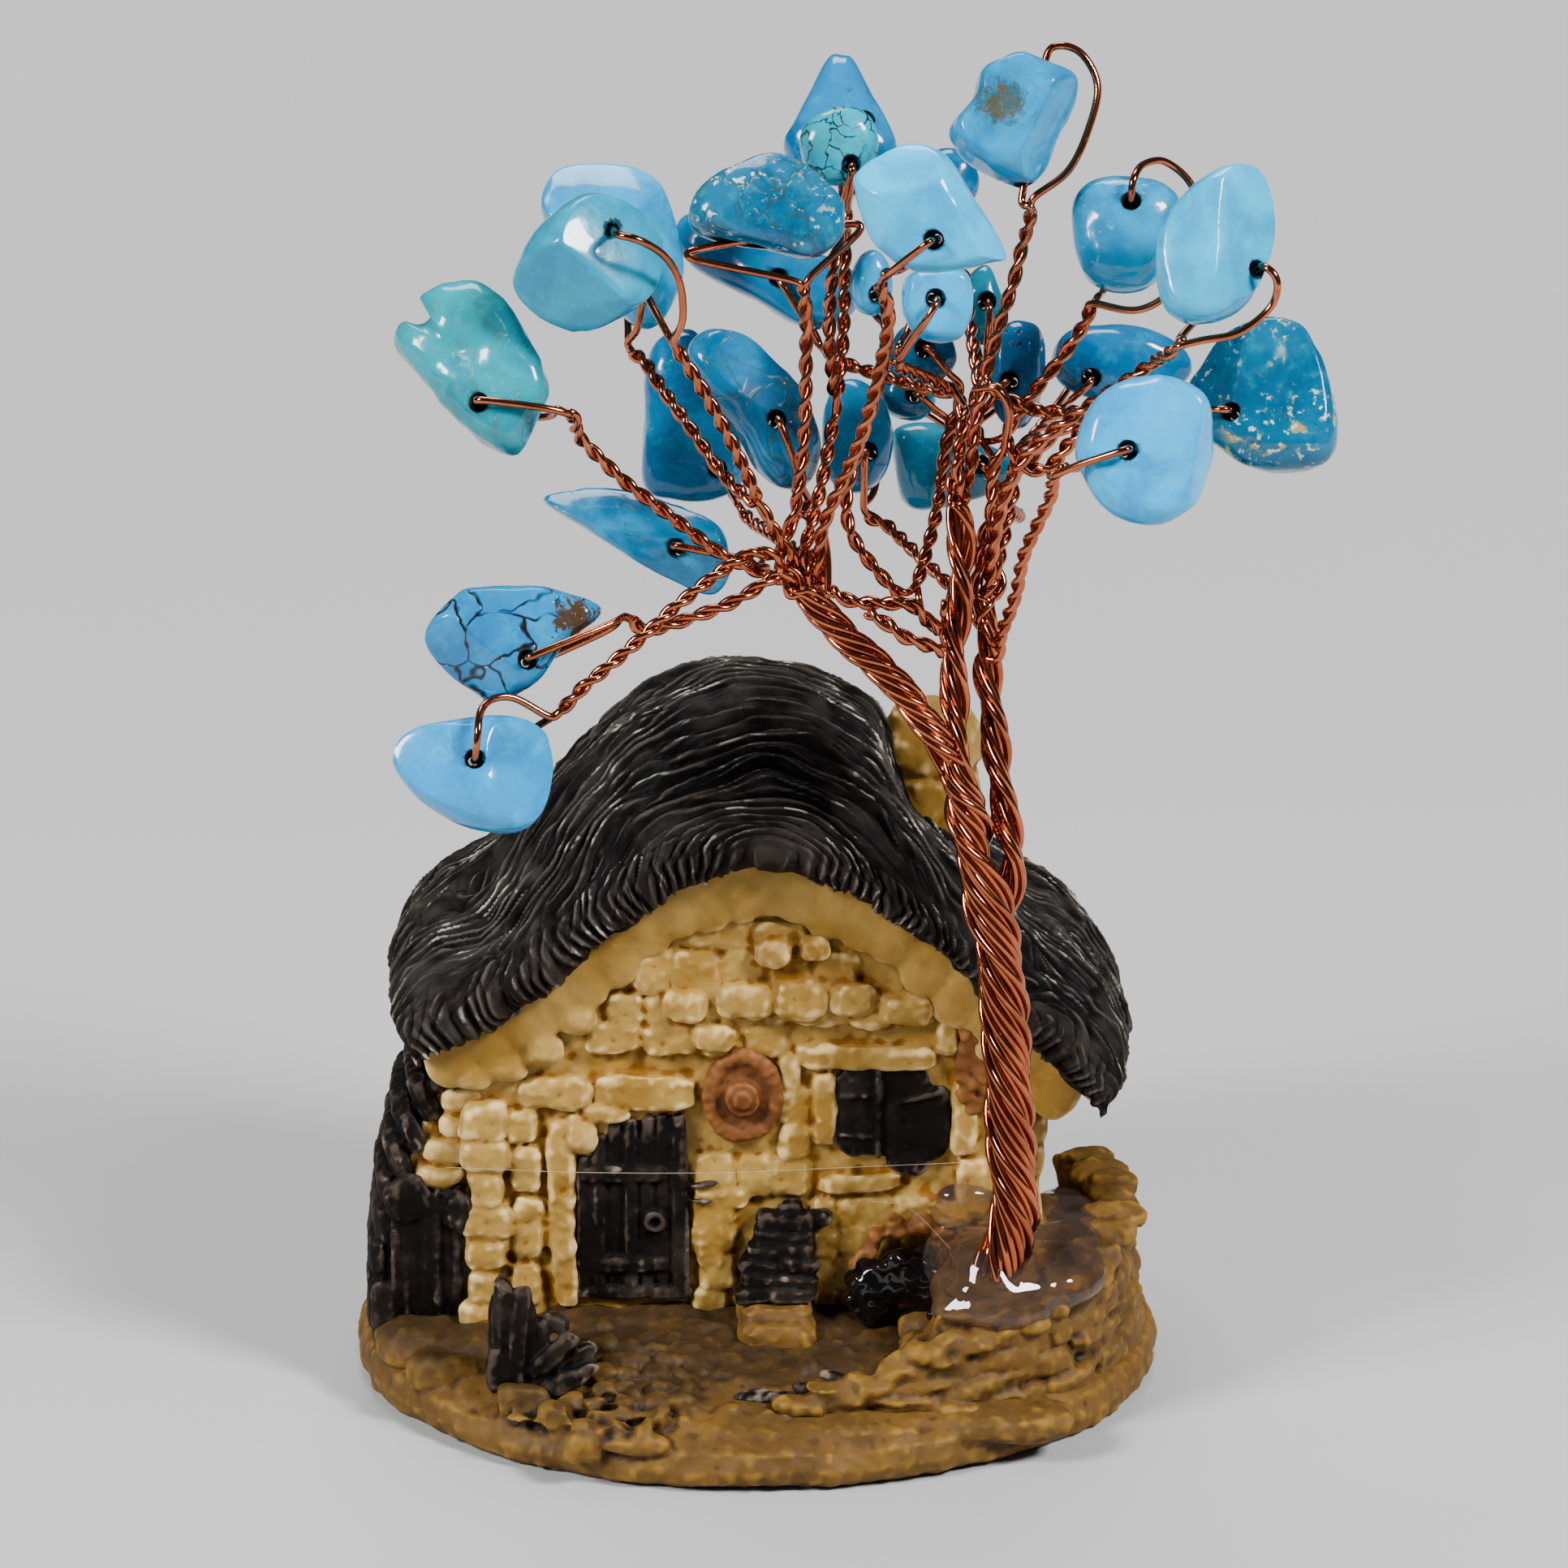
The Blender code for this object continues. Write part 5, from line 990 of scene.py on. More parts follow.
# A stone's colours, light and deep, then what marks it: (kind, colour, size in mm, how much).
SKY, PALE, MID, DEEP, GREEN = (rgb(104, 188, 226), rgb(132, 204, 236), rgb(56, 160, 205), rgb(16, 116, 160),
                               rgb(84, 180, 186))
BROWN, BLACK, OLIVE, GOLD, WHITE = (rgb(112, 92, 64), rgb(42, 34, 28), rgb(96, 118, 84), rgb(176, 164, 118),
                                    rgb(206, 214, 204))
MARKS = {
    "far_left": (GREEN, rgb(70, 160, 170), [("mottle", BROWN, 2.4, 0.42), ("speck", GOLD, 0.5, 0.3)]),
    "upper_left_back": (SKY, MID, [("mottle", rgb(52, 140, 170), 3.0, 0.4)]),
    "upper_left_front": (rgb(92, 186, 208), rgb(66, 166, 194), [("mottle", rgb(78, 150, 150), 2.0, 0.25)]),
    "back_left_long": (MID, rgb(40, 140, 184), [("mottle", rgb(34, 112, 140), 2.4, 0.4)]),
    "speckled_centre": (rgb(48, 140, 172), rgb(20, 110, 146),
                        [("mottle", OLIVE, 1.8, 0.5), ("speck", WHITE, 0.5, 0.8),
                         ("vein", rgb(70, 80, 60), 2.6, 0.5)]),
    "top_peak": (rgb(44, 156, 204), rgb(22, 128, 178), [("speck", rgb(22, 60, 72), 0.6, 0.3)]),
    "top_oval": (rgb(92, 186, 196), rgb(60, 160, 180),
                 [("vein", rgb(20, 66, 66), 1.6, 1.0), ("mottle", OLIVE, 1.4, 0.3)]),
    "sky_front": (PALE, SKY, [("mottle", rgb(70, 150, 186), 2.6, 0.22)]),
    "behind_sky": (rgb(40, 132, 176), DEEP, []),
    "top_right": (rgb(66, 176, 216), rgb(36, 146, 192),
                  [("spot", BROWN, 1.1, 1.0), ("spot", rgb(60, 96, 84), 1.6, 0.6),
                   ("mottle", rgb(30, 120, 150), 2.0, 0.4)]),
    "right_round": (rgb(66, 166, 212), rgb(44, 140, 190),
                    [("speck", WHITE, 0.4, 0.25), ("mottle", rgb(90, 130, 130), 2.0, 0.25)]),
    "right_leaf": (rgb(116, 202, 232), rgb(82, 184, 218), [("mottle", rgb(60, 150, 170), 3.0, 0.22)]),
    "right_back_dark": (rgb(36, 142, 188), rgb(18, 116, 164), [("mottle", rgb(20, 92, 116), 2.4, 0.5)]),
    "far_right_deep": (rgb(26, 140, 186), rgb(8, 112, 158),
                       [("speck", rgb(24, 84, 100), 1.4, 0.7), ("speck", GOLD, 0.9, 0.9),
                        ("speck", WHITE, 0.45, 0.9)]),
    "right_front": (PALE, rgb(100, 184, 228), [("mottle", rgb(120, 190, 220), 2.4, 0.3)]),
    "drilled_centre": (rgb(112, 194, 232), rgb(76, 170, 216), []),
    "small_oval": (rgb(112, 194, 232), rgb(76, 170, 216), []),
    "speckled_right": (rgb(40, 142, 192), DEEP, [("speck", BLACK, 0.6, 0.8)]),
    "back_drilled": (rgb(46, 140, 184), DEEP, [("vein", rgb(24, 60, 76), 2.0, 0.6)]),
    "back_teal": (rgb(60, 150, 176), DEEP, [("mottle", OLIVE, 1.6, 0.3)]),
    "back_low": (rgb(70, 160, 186), rgb(44, 132, 160), [("mottle", OLIVE, 2.0, 0.4)]),
    "centre_large": (rgb(52, 152, 196), rgb(26, 122, 168),
                     [("mottle", rgb(90, 110, 80), 2.6, 0.4), ("vein", OLIVE, 3.2, 0.4)]),
    "centre_back": (rgb(80, 168, 206), MID, []),
    "left_back_tall": (rgb(46, 148, 190), rgb(26, 122, 166), [("speck", OLIVE, 0.6, 0.3)]),
    "left_spike": (rgb(110, 192, 236), rgb(62, 158, 206), [("speck", rgb(60, 70, 60), 0.7, 0.3)]),
    "veined_left": (rgb(66, 160, 212), rgb(42, 138, 194),
                    [("vein", BLACK, 3.0, 1.0), ("spot", rgb(84, 66, 50), 1.2, 1.0)]),
    "low_left": (rgb(96, 186, 238), rgb(76, 170, 226), [("mottle", rgb(120, 200, 240), 2.0, 0.3)]),
    "back_grey": (rgb(110, 150, 168), rgb(84, 128, 148), []),
}


# Shares of a stone's green and blue that its pigment keeps, where they aren't the usual ones. No
# pigment keeps any red, because the film puts it back.
FADE = {"low_left": (0.64, 0.72), "right_front": (0.56, 0.73), "far_right_deep": (0.74, 0.70),
        "veined_left": (0.80, 0.84), "upper_left_front": (0.64, 0.74), "right_round": (1.02, 0.98),
        "left_spike": (0.48, 0.54), "far_left": (0.74, 0.82)}
USUAL_FADE = (0.70, 0.80)


def turquoise(name):
    """Polished stone: soft clouds of colour, then its own veins, specks, mottling or brown matrix."""
    light, deep, marks = MARKS[name]
    fade = FADE.get(name, USUAL_FADE)
    light, deep = ((0.0, fade[0] * tone[1], fade[1] * tone[2], 1.0) for tone in (light, deep))
    paint = Paint(f"turquoise_{name}", roughness=0.2, coat=0.4, coat_roughness=0.03)
    paint.shader.inputs["Specular IOR Level"].default_value = 0.22
    color = paint.mix(paint.between(paint.noise(3.6, 4.0, 0.6, distortion=0.4), 0.38, 0.66), light, deep)
    color = paint.mix(paint.between(paint.noise(0.9, 5.0, 0.7), 0.48, 0.8),
                      color, paint.mix(0.16, color, (0.0, 0.72, 0.80, 1.0)))
    grain = paint.noise(0.5, 4.0, 0.6)
    for kind, tone, size, amount in marks:
        if kind == "mottle":
            spread = paint.between(paint.noise(size, 6.0, 0.66, distortion=0.8), 0.50, 0.70)
        elif kind == "speck":
            dots = paint.between(paint.noise(size, 3.0, 0.6), 0.64 - 0.06 * amount, 0.70 - 0.06 * amount)
            spread = paint.times(dots, paint.between(paint.noise(2.6, 2.0), 0.40, 0.55))
        elif kind == "vein":
            line = paint.between(paint.cell_edges(size, 2.6 * size), 0.055, 0.012)
            spread = paint.times(line, paint.between(paint.noise(2.8, 2.0), 0.34, 0.50))
        else:
            ragged = paint.centred(paint.noise(size, 6.0, 0.75, distortion=2.0), 2.2)
            spread = paint.between(paint.math("ADD", paint.attribute("spot"), ragged), 0.56, 0.70)
        color = paint.mix(paint.times(spread, amount), color, tone)
        if kind != "mottle":
            paint.bump(paint.math("SUBTRACT", 1.0, spread), 0.05, 0.6)
    # The inside of the drilled hole is painted near-black as painted shade, and made rough and without
    # coat.
    bore = paint.attribute("bore")
    paint.color(paint.mix(paint.times(bore, 0.9), color, (0.002, 0.012, 0.016, 1.0)))
    polish = paint.mix(grain, grey(0.10), grey(0.24))
    paint.link(paint.mix(bore, polish, grey(0.9)), paint.shader.inputs["Roughness"])
    paint.link(paint.math("SUBTRACT", 0.4, paint.times(bore, 0.4)),
               paint.shader.inputs["Coat Weight"])
    paint.bump(paint.noise(1.1, 3.0, 0.5), 0.05, 0.35)
    return paint.mat


# ---- wires --------------------------------------------------------------------------------------
def carried_frame(points):
    """Two unit vectors square to a line at each of its points, carried along without twisting."""
    along = tangents(points)
    across = unit(RIGHT - along[0] * along[0][0])
    sides = []
    for direction in along:
        across = unit(across - direction * np.dot(across, direction))
        sides.append((across, np.cross(direction, across)))
    one, two = (np.array(part) for part in zip(*sides))
    return one, two


def fine_line(points):
    """Catmull-Rom curve with FINE points to each point of a relaxed line."""
    ends = np.vstack([2 * points[0] - points[1], points, 2 * points[-1] - points[-2]])
    t = (np.arange(FINE) / FINE)[:, None]
    return np.vstack([span(*ends[k - 1:k + 3], t) for k in range(1, len(ends) - 2)] + [points[-1:]])


def pair_places(places):
    """Split every wire's place in a section in two, and draw the 28 strands together."""
    outward = unit_rows(places)
    aside = np.stack([-outward[:, 1], outward[:, 0]], axis=1)
    return np.concatenate([places + 0.23 * aside, places - 0.23 * aside])


def twisted(line, begin_angle, end_angle, pitch=TWIST_PITCH):
    """The two strands of a twisted pair around a line, from one angle to about another."""
    one, two = carried_frame(line)
    length = travelled(line)
    turns = 2 * math.pi * length[-1] / pitch
    left_over = (end_angle - begin_angle - turns + math.pi) % (2 * math.pi) - math.pi
    angle = begin_angle + (turns + left_over) * length / length[-1]
    offset = STRAND * (np.cos(angle)[:, None] * one + np.sin(angle)[:, None] * two)
    return line + offset, line - offset


def angle_in(frame_one, frame_two, vector):
    return math.atan2(float(np.dot(vector, frame_two)), float(np.dot(vector, frame_one)))


def softened(points, rounds=4):
    pts = np.array(points, float)
    for _ in range(rounds):
        pts[1:-1] = 0.5 * pts[1:-1] + 0.25 * (pts[:-2] + pts[2:])
    return pts


def spaced(points, step):
    """Points of a line about a step apart, by the length along it."""
    length = travelled(points)
    return at_lengths(points, length, np.linspace(0.0, length[-1], max(2, int(length[-1] / step) + 1)))


def bar(name, points, radius, mat, sides=9):
    """Round wire along a line of points, with its ends rounded over."""
    points = np.asarray(points, float)
    one, two = carried_frame(points)
    radii = np.full(len(points), radius)
    radii[[0, -1]] = 0.45 * radius
    radii[[1, -2]] = 0.85 * radius
    turn = 2 * math.pi * np.arange(sides) / sides
    ring = (np.cos(turn)[None, :, None] * one[:, None] + np.sin(turn)[None, :, None] * two[:, None])
    grid = points[:, None] + radii[:, None, None] * ring
    return mesh_object(name, grid.reshape(-1, 3), tube_faces(len(points), sides), mat)


LAY_SEEN, LIMB_LAY_SEEN = 12.6, 8.5     # one turn of the strands in the trunk and in a limb


def trunk_strands(axis, places, distance):
    """Where a strand runs in the trunk and its limb, at distances along the limb's centre line."""
    line = even(smooth(axis, AXIS_STEP), RELAX_STEP)
    along = tangents(line)
    at = np.clip(distance / RELAX_STEP, 0, len(line) - 1)
    centre, direction = (at_lengths(rows, np.arange(len(line)), at) for rows in (line, along))
    direction /= np.linalg.norm(direction, axis=1)[:, None]
    place = place_at(places, distance[:, None])
    beyond = distance - RIGHT_LEAVES
    angle = -2 * math.pi * np.where(beyond < 0, beyond / LAY_SEEN, beyond / LIMB_LAY_SEEN)
    c, s = np.cos(angle), np.sin(angle)
    x = place[:, 0] * c - place[:, 1] * s
    y = place[:, 0] * s + place[:, 1] * c
    splay = 1.0 + 0.30 * np.clip(1.0 - distance / 5.0, 0, None) ** 1.5
    across = RIGHT[None] - direction * direction[:, :1]
    across /= np.linalg.norm(across, axis=1)[:, None]
    over = np.cross(direction, across)
    return centre + (splay * x)[:, None] * across + (splay * y)[:, None] * over


def make_wires(mat):
    """Every wire as one bare strand: up the trunk, round both stones, twisted on itself, and back."""
    chips = {chip[0]: chip for chip in CHIPS}
    lines, relaxed = wire_lines()
    sections, places = strand_sections(), strand_places()
    count = len(WIRES)
    for number, wire in enumerate(WIRES):
        name, limb, leaves = wire[:3]
        axis = TRUNK + LIMBS[limb]
        whole = bundle_line(axis, leaves, [place[number] for place in places])
        bottom = sum(1 for p in whole if p[2] <= FOOT_Z)
        in_bundle = len(whole) - bottom
        main, side = relaxed[2 * number], relaxed[2 * number + 1]
        fork = lines[2 * number + 1]["joined"] * FINE
        fine_main, fine_side = fine_line(main), fine_line(side)
        distance = (np.arange(len(fine_main)) / FINE + bottom) * RELAX_STEP
        leave = (in_bundle - 1) * FINE
        past = (np.arange(len(fine_main)) - leave) / (UNWIND / RELAX_STEP * FINE)
        fade = ease(clamp(past + 1.0))[:, None]
        laid = [trunk_strands(axis, [part[number + half * count] for part in sections], distance)
                for half in (0, 1)]
        loops = []
        for points, chip_name in ((main, wire[3]), (side, wire[5])):
            end, _, rim = loop_end(chips[chip_name], points[-1])
            direction = unit(points[-1] - points[-3])
            axis_of_hole = drill(*[chips[chip_name][k] for k in (0, 1, 3, 4)])[5]
            aside = unit(axis_of_hole - direction * np.dot(axis_of_hole, direction))
            loops.append((loop_path(chips[chip_name], end, rim, direction, 0.14), aside))
        start = max(0, leave - 5)
        local_one, local_two = carried_frame(fine_main[start:])
        begin = angle_in(local_one[0], local_two[0], laid[0][start] - laid[1][start])
        finish = angle_in(local_one[-1], local_two[-1], loops[0][1])
        pair = twisted(fine_main[start:], begin, finish)
        strands = []
        for half in (0, 1):
            free = np.vstack([laid[half][:start], pair[half]])
            strands.append((1 - fade) * laid[half] + fade * free)
        offset = strands[0][fork] - strands[1][fork]
        side_one, side_two = carried_frame(fine_side)
        begin = angle_in(side_one[0], side_two[0], offset)
        finish = angle_in(side_one[-1], side_two[-1], loops[1][1])
        branch = twisted(fine_side, begin, finish)
        gap = max(3, int(0.8 / RELAX_STEP * FINE))
        up, down = strands
        main_loop, side_loop = loops[0][0], loops[1][0]
        route = np.vstack([
            up[:-3], main_loop, down[fork + gap:-3][::-1], branch[0][gap:-3], side_loop,
            branch[1][gap:-3][::-1], down[:max(1, fork - gap)][::-1]])
        route = softened(spaced(route, STRAND_STEP), 5)
        bent = clamp((FOOT_BEND_Z - route[:, 2]) / (FOOT_BEND_Z - FOOT_Z))
        route[:, 0] -= FOOT_LEAN * bent ** 1.6
        obj = bar(f"strand_{name}", route, STRAND, mat)
        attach(obj, ROOT)
        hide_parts(f"wire_{name}")


def strand_sections():
    """Where all 28 strands lie in the trunk, in the two stems and in the three limbs."""
    count = len(WIRES)
    limbs = [[k for k, wire in enumerate(WIRES) if wire[1] == limb] for limb in ("left", "mid", "right")]
    parts = ([list(range(count))], [limbs[0] + limbs[1], limbs[2]], limbs)
    sections = []
    for places, together in zip(strand_places(), parts):
        section = np.zeros((2 * count, 2))
        for group in together:
            packed = settle(pair_places(places[group]), 2.06 * STRAND)
            section[group] = packed[:len(group)]
            section[[count + k for k in group]] = packed[len(group):]
        sections.append(section)
    return sections


def copper():
    paint = Paint("copper_wire", roughness=0.2, metallic=1.0)
    warm = paint.between(paint.noise(2.2, 3.0), 0.35, 0.7)
    color = paint.mix(warm, (0.52, 0.150, 0.066, 1.0), (0.34, 0.088, 0.036, 1.0))
    dull = paint.between(paint.noise(0.6, 4.0, 0.65), 0.55, 0.8)
    paint.color(paint.mix(paint.times(dull, 0.55), color, (0.09, 0.024, 0.012, 1.0)))
    paint.vary("Roughness", dull, 0.12, 0.34)
    return paint.mat


def add_loose_wire(mat):
    """Loose ends: pairs that cross between the limbs, cut tails, and a loop bent back on itself."""
    pairs = {"cross_low": [(4.1, -8.2, 49.5), (5.5, -8.6, 48.9), (8.4, -8.4, 48.7), (9.1, -8.0, 48.0),
                           (10.2, -7.4, 46.8)],
             "cross_high": [(6.1, -8.6, 48.4), (7.3, -9.2, 47.8), (8.3, -9.4, 47.1), (9.5, -9.0, 46.5),
                            (10.4, -8.4, 45.9)],
             "cross_right": [(12.5, -5.0, 60.5), (14.7, -5.5, 59.2), (16.9, -6.0, 59.0),
                             (18.4, -7.0, 59.4)],
             "kinked": [(13.8, -6.0, 57.5), (14.8, -7.0, 56.2), (16.1, -7.4, 56.3), (17.2, -8.0, 57.9),
                        (18.1, -9.0, 59.4)],
             "back_stem": [(14.5, -1.0, 55.1), (14.3, -2.0, 53.0), (13.6, -4.0, 50.3), (12.5, -6.0, 46.7)]}
    for name, points in pairs.items():
        line = spaced(smooth(points, 0.3), 0.12)
        for half, strand in enumerate(twisted(line, 0.4, 0.4)):
            ride_root(bar(f"{name}_{half + 1}", strand, STRAND, mat))
    singles = {"tail_high": [(3.7, -7.0, 52.9), (4.0, -7.2, 50.9), (4.0, -8.0, 48.9)],
               "tail_cut": [(10.4, -8.0, 48.9), (10.4, -8.2, 48.4), (10.3, -8.2, 47.9)],
               "open_loop": [(11.9, -6.0, 60.3), (13.2, -6.8, 60.6), (13.9, -7.0, 59.4), (13.8, -6.4, 57.6),
                             (13.6, -6.0, 56.6), (12.7, -5.0, 54.9)]}
    for name, points in singles.items():
        ride_root(bar(name, spaced(smooth(points, 0.3), 0.12), STRAND, mat))


def ride_root(obj):
    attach(obj, ROOT)
    return obj


# ---- the cast cottage ---------------------------------------------------------------------------
FACADE = -5.0                # where the walls' front and back faces stand in Y
WALL_BACK = 13.4
WALL_LEFT, WALL_RIGHT = -16.4, 15.9
# The thatch's section, (x, z): over its top from eave to eave, and along its underside.
ROOF_TOP = [(-20.0, 21.4), (-20.7, 23.4), (-18.6, 25.7), (-15.0, 27.3), (-10.5, 31.4), (-6.5, 34.4),
            (-3.0, 35.7), (0.4, 36.0), (4.0, 35.2), (8.0, 32.6), (12.0, 28.8), (15.5, 25.2),
            (18.8, 22.8), (21.0, 19.6), (20.6, 17.4)]
ROOF_UNDER = [(-18.6, 21.2), (-15.5, 22.8), (-12.0, 25.2), (-8.0, 28.4), (-4.0, 31.2), (0.0, 32.3),
              (4.5, 31.2), (8.6, 28.6), (12.5, 25.0), (15.8, 21.6), (18.8, 18.4)]
# The garden wall's outer foot, and the height of its top there.
GARDEN_WALL = [(2.0, -16.4, 3.4), (8.0, -15.7, 5.6), (14.6, -13.3, 7.6), (19.4, -9.4, 9.0),
               (21.6, -4.4, 10.2), (21.9, 0.5, 10.7), (19.6, 5.5, 10.9)]
PLINTH_HALF = (23.2, 19.6)   # half the plinth's width and depth


def verge(x):
    """Height of the underside of the thatch above a place on the front."""
    under = np.array(ROOF_UNDER)
    return float(np.interp(x, under[:, 0], under[:, 1]))


def cast(name, pieces, mat, voxel, rounds, layers, seed, depth=0.10):
    """Melt pieces into one part of the casting, roughen it and store its relief for the paint."""
    obj = fused(name, pieces, mat, voxel, rounds)
    roughen(obj, layers, seed)
    put_attribute(obj, "relief", np.clip(relief(obj, 7) / depth, -1.0, 1.0) * 0.5 + 0.5)
    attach(obj, ROOT)
    return obj


def wall_stones(place, span, levels, seed, keep, course=2.05, proud=0.30):
    """Rounded stones in level courses; place turns (along, out, up) into a point of the wall."""
    draw = np.random.default_rng(seed)
    pieces = []
    z = levels[0]
    while z < levels[1]:
        height = course * draw.uniform(0.85, 1.2)
        x = span[0] + draw.uniform(-1.5, 0.0)
        while x < span[1]:
            length = draw.uniform(1.9, 4.4)
            low, high = max(x, span[0]), min(x + length, span[1])
            span_left = keep(low, high, z, z + height) if high - low > 0.8 else None
            if span_left:
                low, high = span_left
                pieces.append((place(0.5 * (low + high), proud * draw.uniform(-0.5, 0.5),
                                     z + 0.5 * height + draw.uniform(-0.2, 0.2)),
                               (0.5 * (high - low) + 0.10, proud + 0.25,
                                0.5 * height * draw.uniform(1.0, 1.16)),
                               int(draw.integers(1, 9999)), draw.uniform(-0.13, 0.13)))
            x += length
        z += height
    return pieces


# Parts of the front that its small stones keep clear of: left, right, bottom and top.
TAKEN = ((-13.6, -3.1, 17.3, 19.4), (-12.3, -3.7, 4.0, 17.4), (-17.2, -12.3, 3.0, 18.6),
         (-3.0, 1.5, 15.5, 21.1), (2.4, 10.4, 19.7, 21.5), (3.0, 11.6, 13.6, 19.8),
         (-1.2, 3.3, 3.0, 11.0), (11.4, 15.9, 15.0, 23.0))


def front_run(low, high, bottom, top):
    """The part of a stone of the front that clears the door, window, plaque, posts and plaster band."""
    if top > min(verge(low), verge(high)) - 2.0:
        return None
    for x0, x1, z0, z1 in TAKEN:
        if low < x1 and high > x0 and bottom < z1 - 0.4 and top > z0 + 0.4:
            low, high = (low, min(high, x0)) if x0 - low > high - x1 else (max(low, x1), high)
    return (low, high) if high - low > 0.8 else None


def below_thatch(low, high, bottom, top):
    return (low, high) if top < min(verge(low), verge(high)) - 0.6 else None


def make_walls(mat):
    gable = [(-16.4, 2.2), (-16.4, 23.6), (-12.0, 26.8), (-8.0, 30.2), (-4.0, 32.8), (0.0, 34.0),
             (4.5, 32.8), (8.6, 30.2), (12.5, 26.6), (15.6, 23.0), (15.9, 2.2)]
    pieces = [prism(gable, FACADE, WALL_BACK)]
    front = wall_stones(lambda a, o, u: (a, FACADE - o, u), (-16.0, 15.8), (4.4, 31.0), 3, front_run)
    pieces += [stone(c, h, s, 6.5, 0.10, turn=t) for c, h, s, t in front]
    back = wall_stones(lambda a, o, u: (a, WALL_BACK + o, u), (-15.9, 15.5), (3.2, 31.0), 11,
                       below_thatch)
    pieces += [stone(c, h, s, 5.0, 0.20, turn=1.3 * t) for c, h, s, t in back]
    for x, seed, sign in ((WALL_LEFT, 21, -1), (WALL_RIGHT, 31, 1)):
        side = wall_stones(lambda a, o, u: (x + sign * o, a, u), (-4.6, 13.2), (3.2, 20.5), seed,
                           lambda a, b, c, d: (a, b) if sign > 0 or a > 4.4 or c > 20 else None)
        pieces += [stone(c, (h[1], h[0], h[2]), s, 6.0, 0.10) for c, h, s, t in side]
    # long lintels, posts and the big blocks at the corner
    blocks = [((-11.4, 18.4), (2.0, 1.0)), ((-6.2, 18.5), (2.9, 1.05)), ((6.4, 20.6), (3.9, 0.72)),
              ((-11.1, 13.8), (0.78, 2.9)), ((-11.0, 8.4), (0.75, 3.2)), ((3.9, 17.4), (0.72, 2.2)),
              ((11.9, 17.4), (0.7, 2.6)), ((12.3, 12.6), (0.9, 1.7)), ((6.0, 12.9), (2.4, 0.6)),
              ((-1.9, 11.9), (1.5, 0.62)), ((-2.6, 9.2), (0.85, 1.75)), ((-13.0, 10.0), (0.95, 1.9)),
              ((-13.1, 13.7), (0.9, 1.4)), ((-13.2, 6.6), (0.95, 1.3)), ((-13.3, 16.4), (0.9, 1.0))]
    for k, ((x, z), (half_x, half_z)) in enumerate(blocks):
        pieces.append(stone((x, FACADE - 0.1, z), (half_x, 0.62, half_z), 40 + k, 6.5, 0.09,
                            turn=0.05 * math.sin(5.0 * k)))
    for k in range(7):
        z = 4.6 + 2.02 * k
        pieces.append(stone((-15.4 + 0.15 * math.sin(3.1 * k), FACADE - 0.35, z),
                            (1.25 + 0.25 * math.cos(2.3 * k), 0.80, 1.08), 60 + k, 5.5, 0.12))
    # rubble under the peak
    rubble = ((1.0, 27.0, 1.1, 0.9), (3.2, 27.3, 0.9, 0.8), (-0.6, 24.2, 1.6, 1.1), (2.4, 24.4, 1.5, 1.2),
              (5.6, 24.3, 1.3, 1.0), (8.4, 23.6, 1.5, 1.0), (-4.0, 23.9, 1.2, 0.9), (-2.4, 21.9, 1.3, 0.8))
    pieces += [stone((x, FACADE - 0.5, z), (half_x, 0.8, half_z), 90 + k)
               for k, (x, z, half_x, half_z) in enumerate(rubble)]
    pieces += [stone((-9.9, FACADE - 0.2, 16.1), (0.8, 0.7, 1.0), 98, lump=0.2),
               stone((-8.6, FACADE - 0.2, 17.2), (1.3, 0.7, 0.5), 99, lump=0.2)]
    walls = cast("cottage_walls", pieces, mat, voxel=0.14, rounds=3,
                 layers=[(2.4, 0.20), (1.0, 0.13), (0.45, 0.06)], seed=5, depth=0.11)
    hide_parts("cottage_casting")


def make_plaster_band(mat):
    """The smooth band of plaster under the verge, thick and drawn down in soft folds."""
    x = np.linspace(-18.0, 17.5, 80)
    top = [(a, verge(a) + 0.8) for a in x]
    drop = (2.5 + 0.8 * np.exp(-((x + 12.0) / 4.0) ** 2)
            + 0.35 * np.sin(1.1 * x) + 0.25 * np.sin(2.7 * x + 1.0))
    bottom = [(a, verge(a) - d) for a, d in zip(x[::-1], drop[::-1])]
    pieces = [prism(top + bottom, FACADE - 0.75, FACADE + 0.4)]
    for k, a in enumerate(np.linspace(-17.2, 17.0, 20)):
        lean = 0.6 * math.atan2(verge(a + 1.0) - verge(a - 1.0), 2.0)
        pieces.append(stone((a, FACADE - 0.45, verge(a) - 1.1), (1.7, 0.50, 2.1 + 0.3 * math.sin(1.7 * k)),
                            170 + k, 2.4, 0.10, turn=lean))
    folds = ((-14.2, 3.4, 1.6), (-12.2, 3.9, 1.3), (-10.2, 3.6, 1.4), (-15.9, 2.9, 1.2), (13.6, 2.6, 1.5))
    for a, fall, wide in folds:
        pieces.append(stone((a, FACADE - 0.35, verge(a) - fall), (wide, 0.75, 1.0), int(70 + a), 2.3, 0.25))
    cast("plaster_band", pieces, mat, voxel=0.15, rounds=10, layers=[(2.6, 0.14), (0.9, 0.05), (0.4, 0.02)],
         seed=6, depth=0.13)


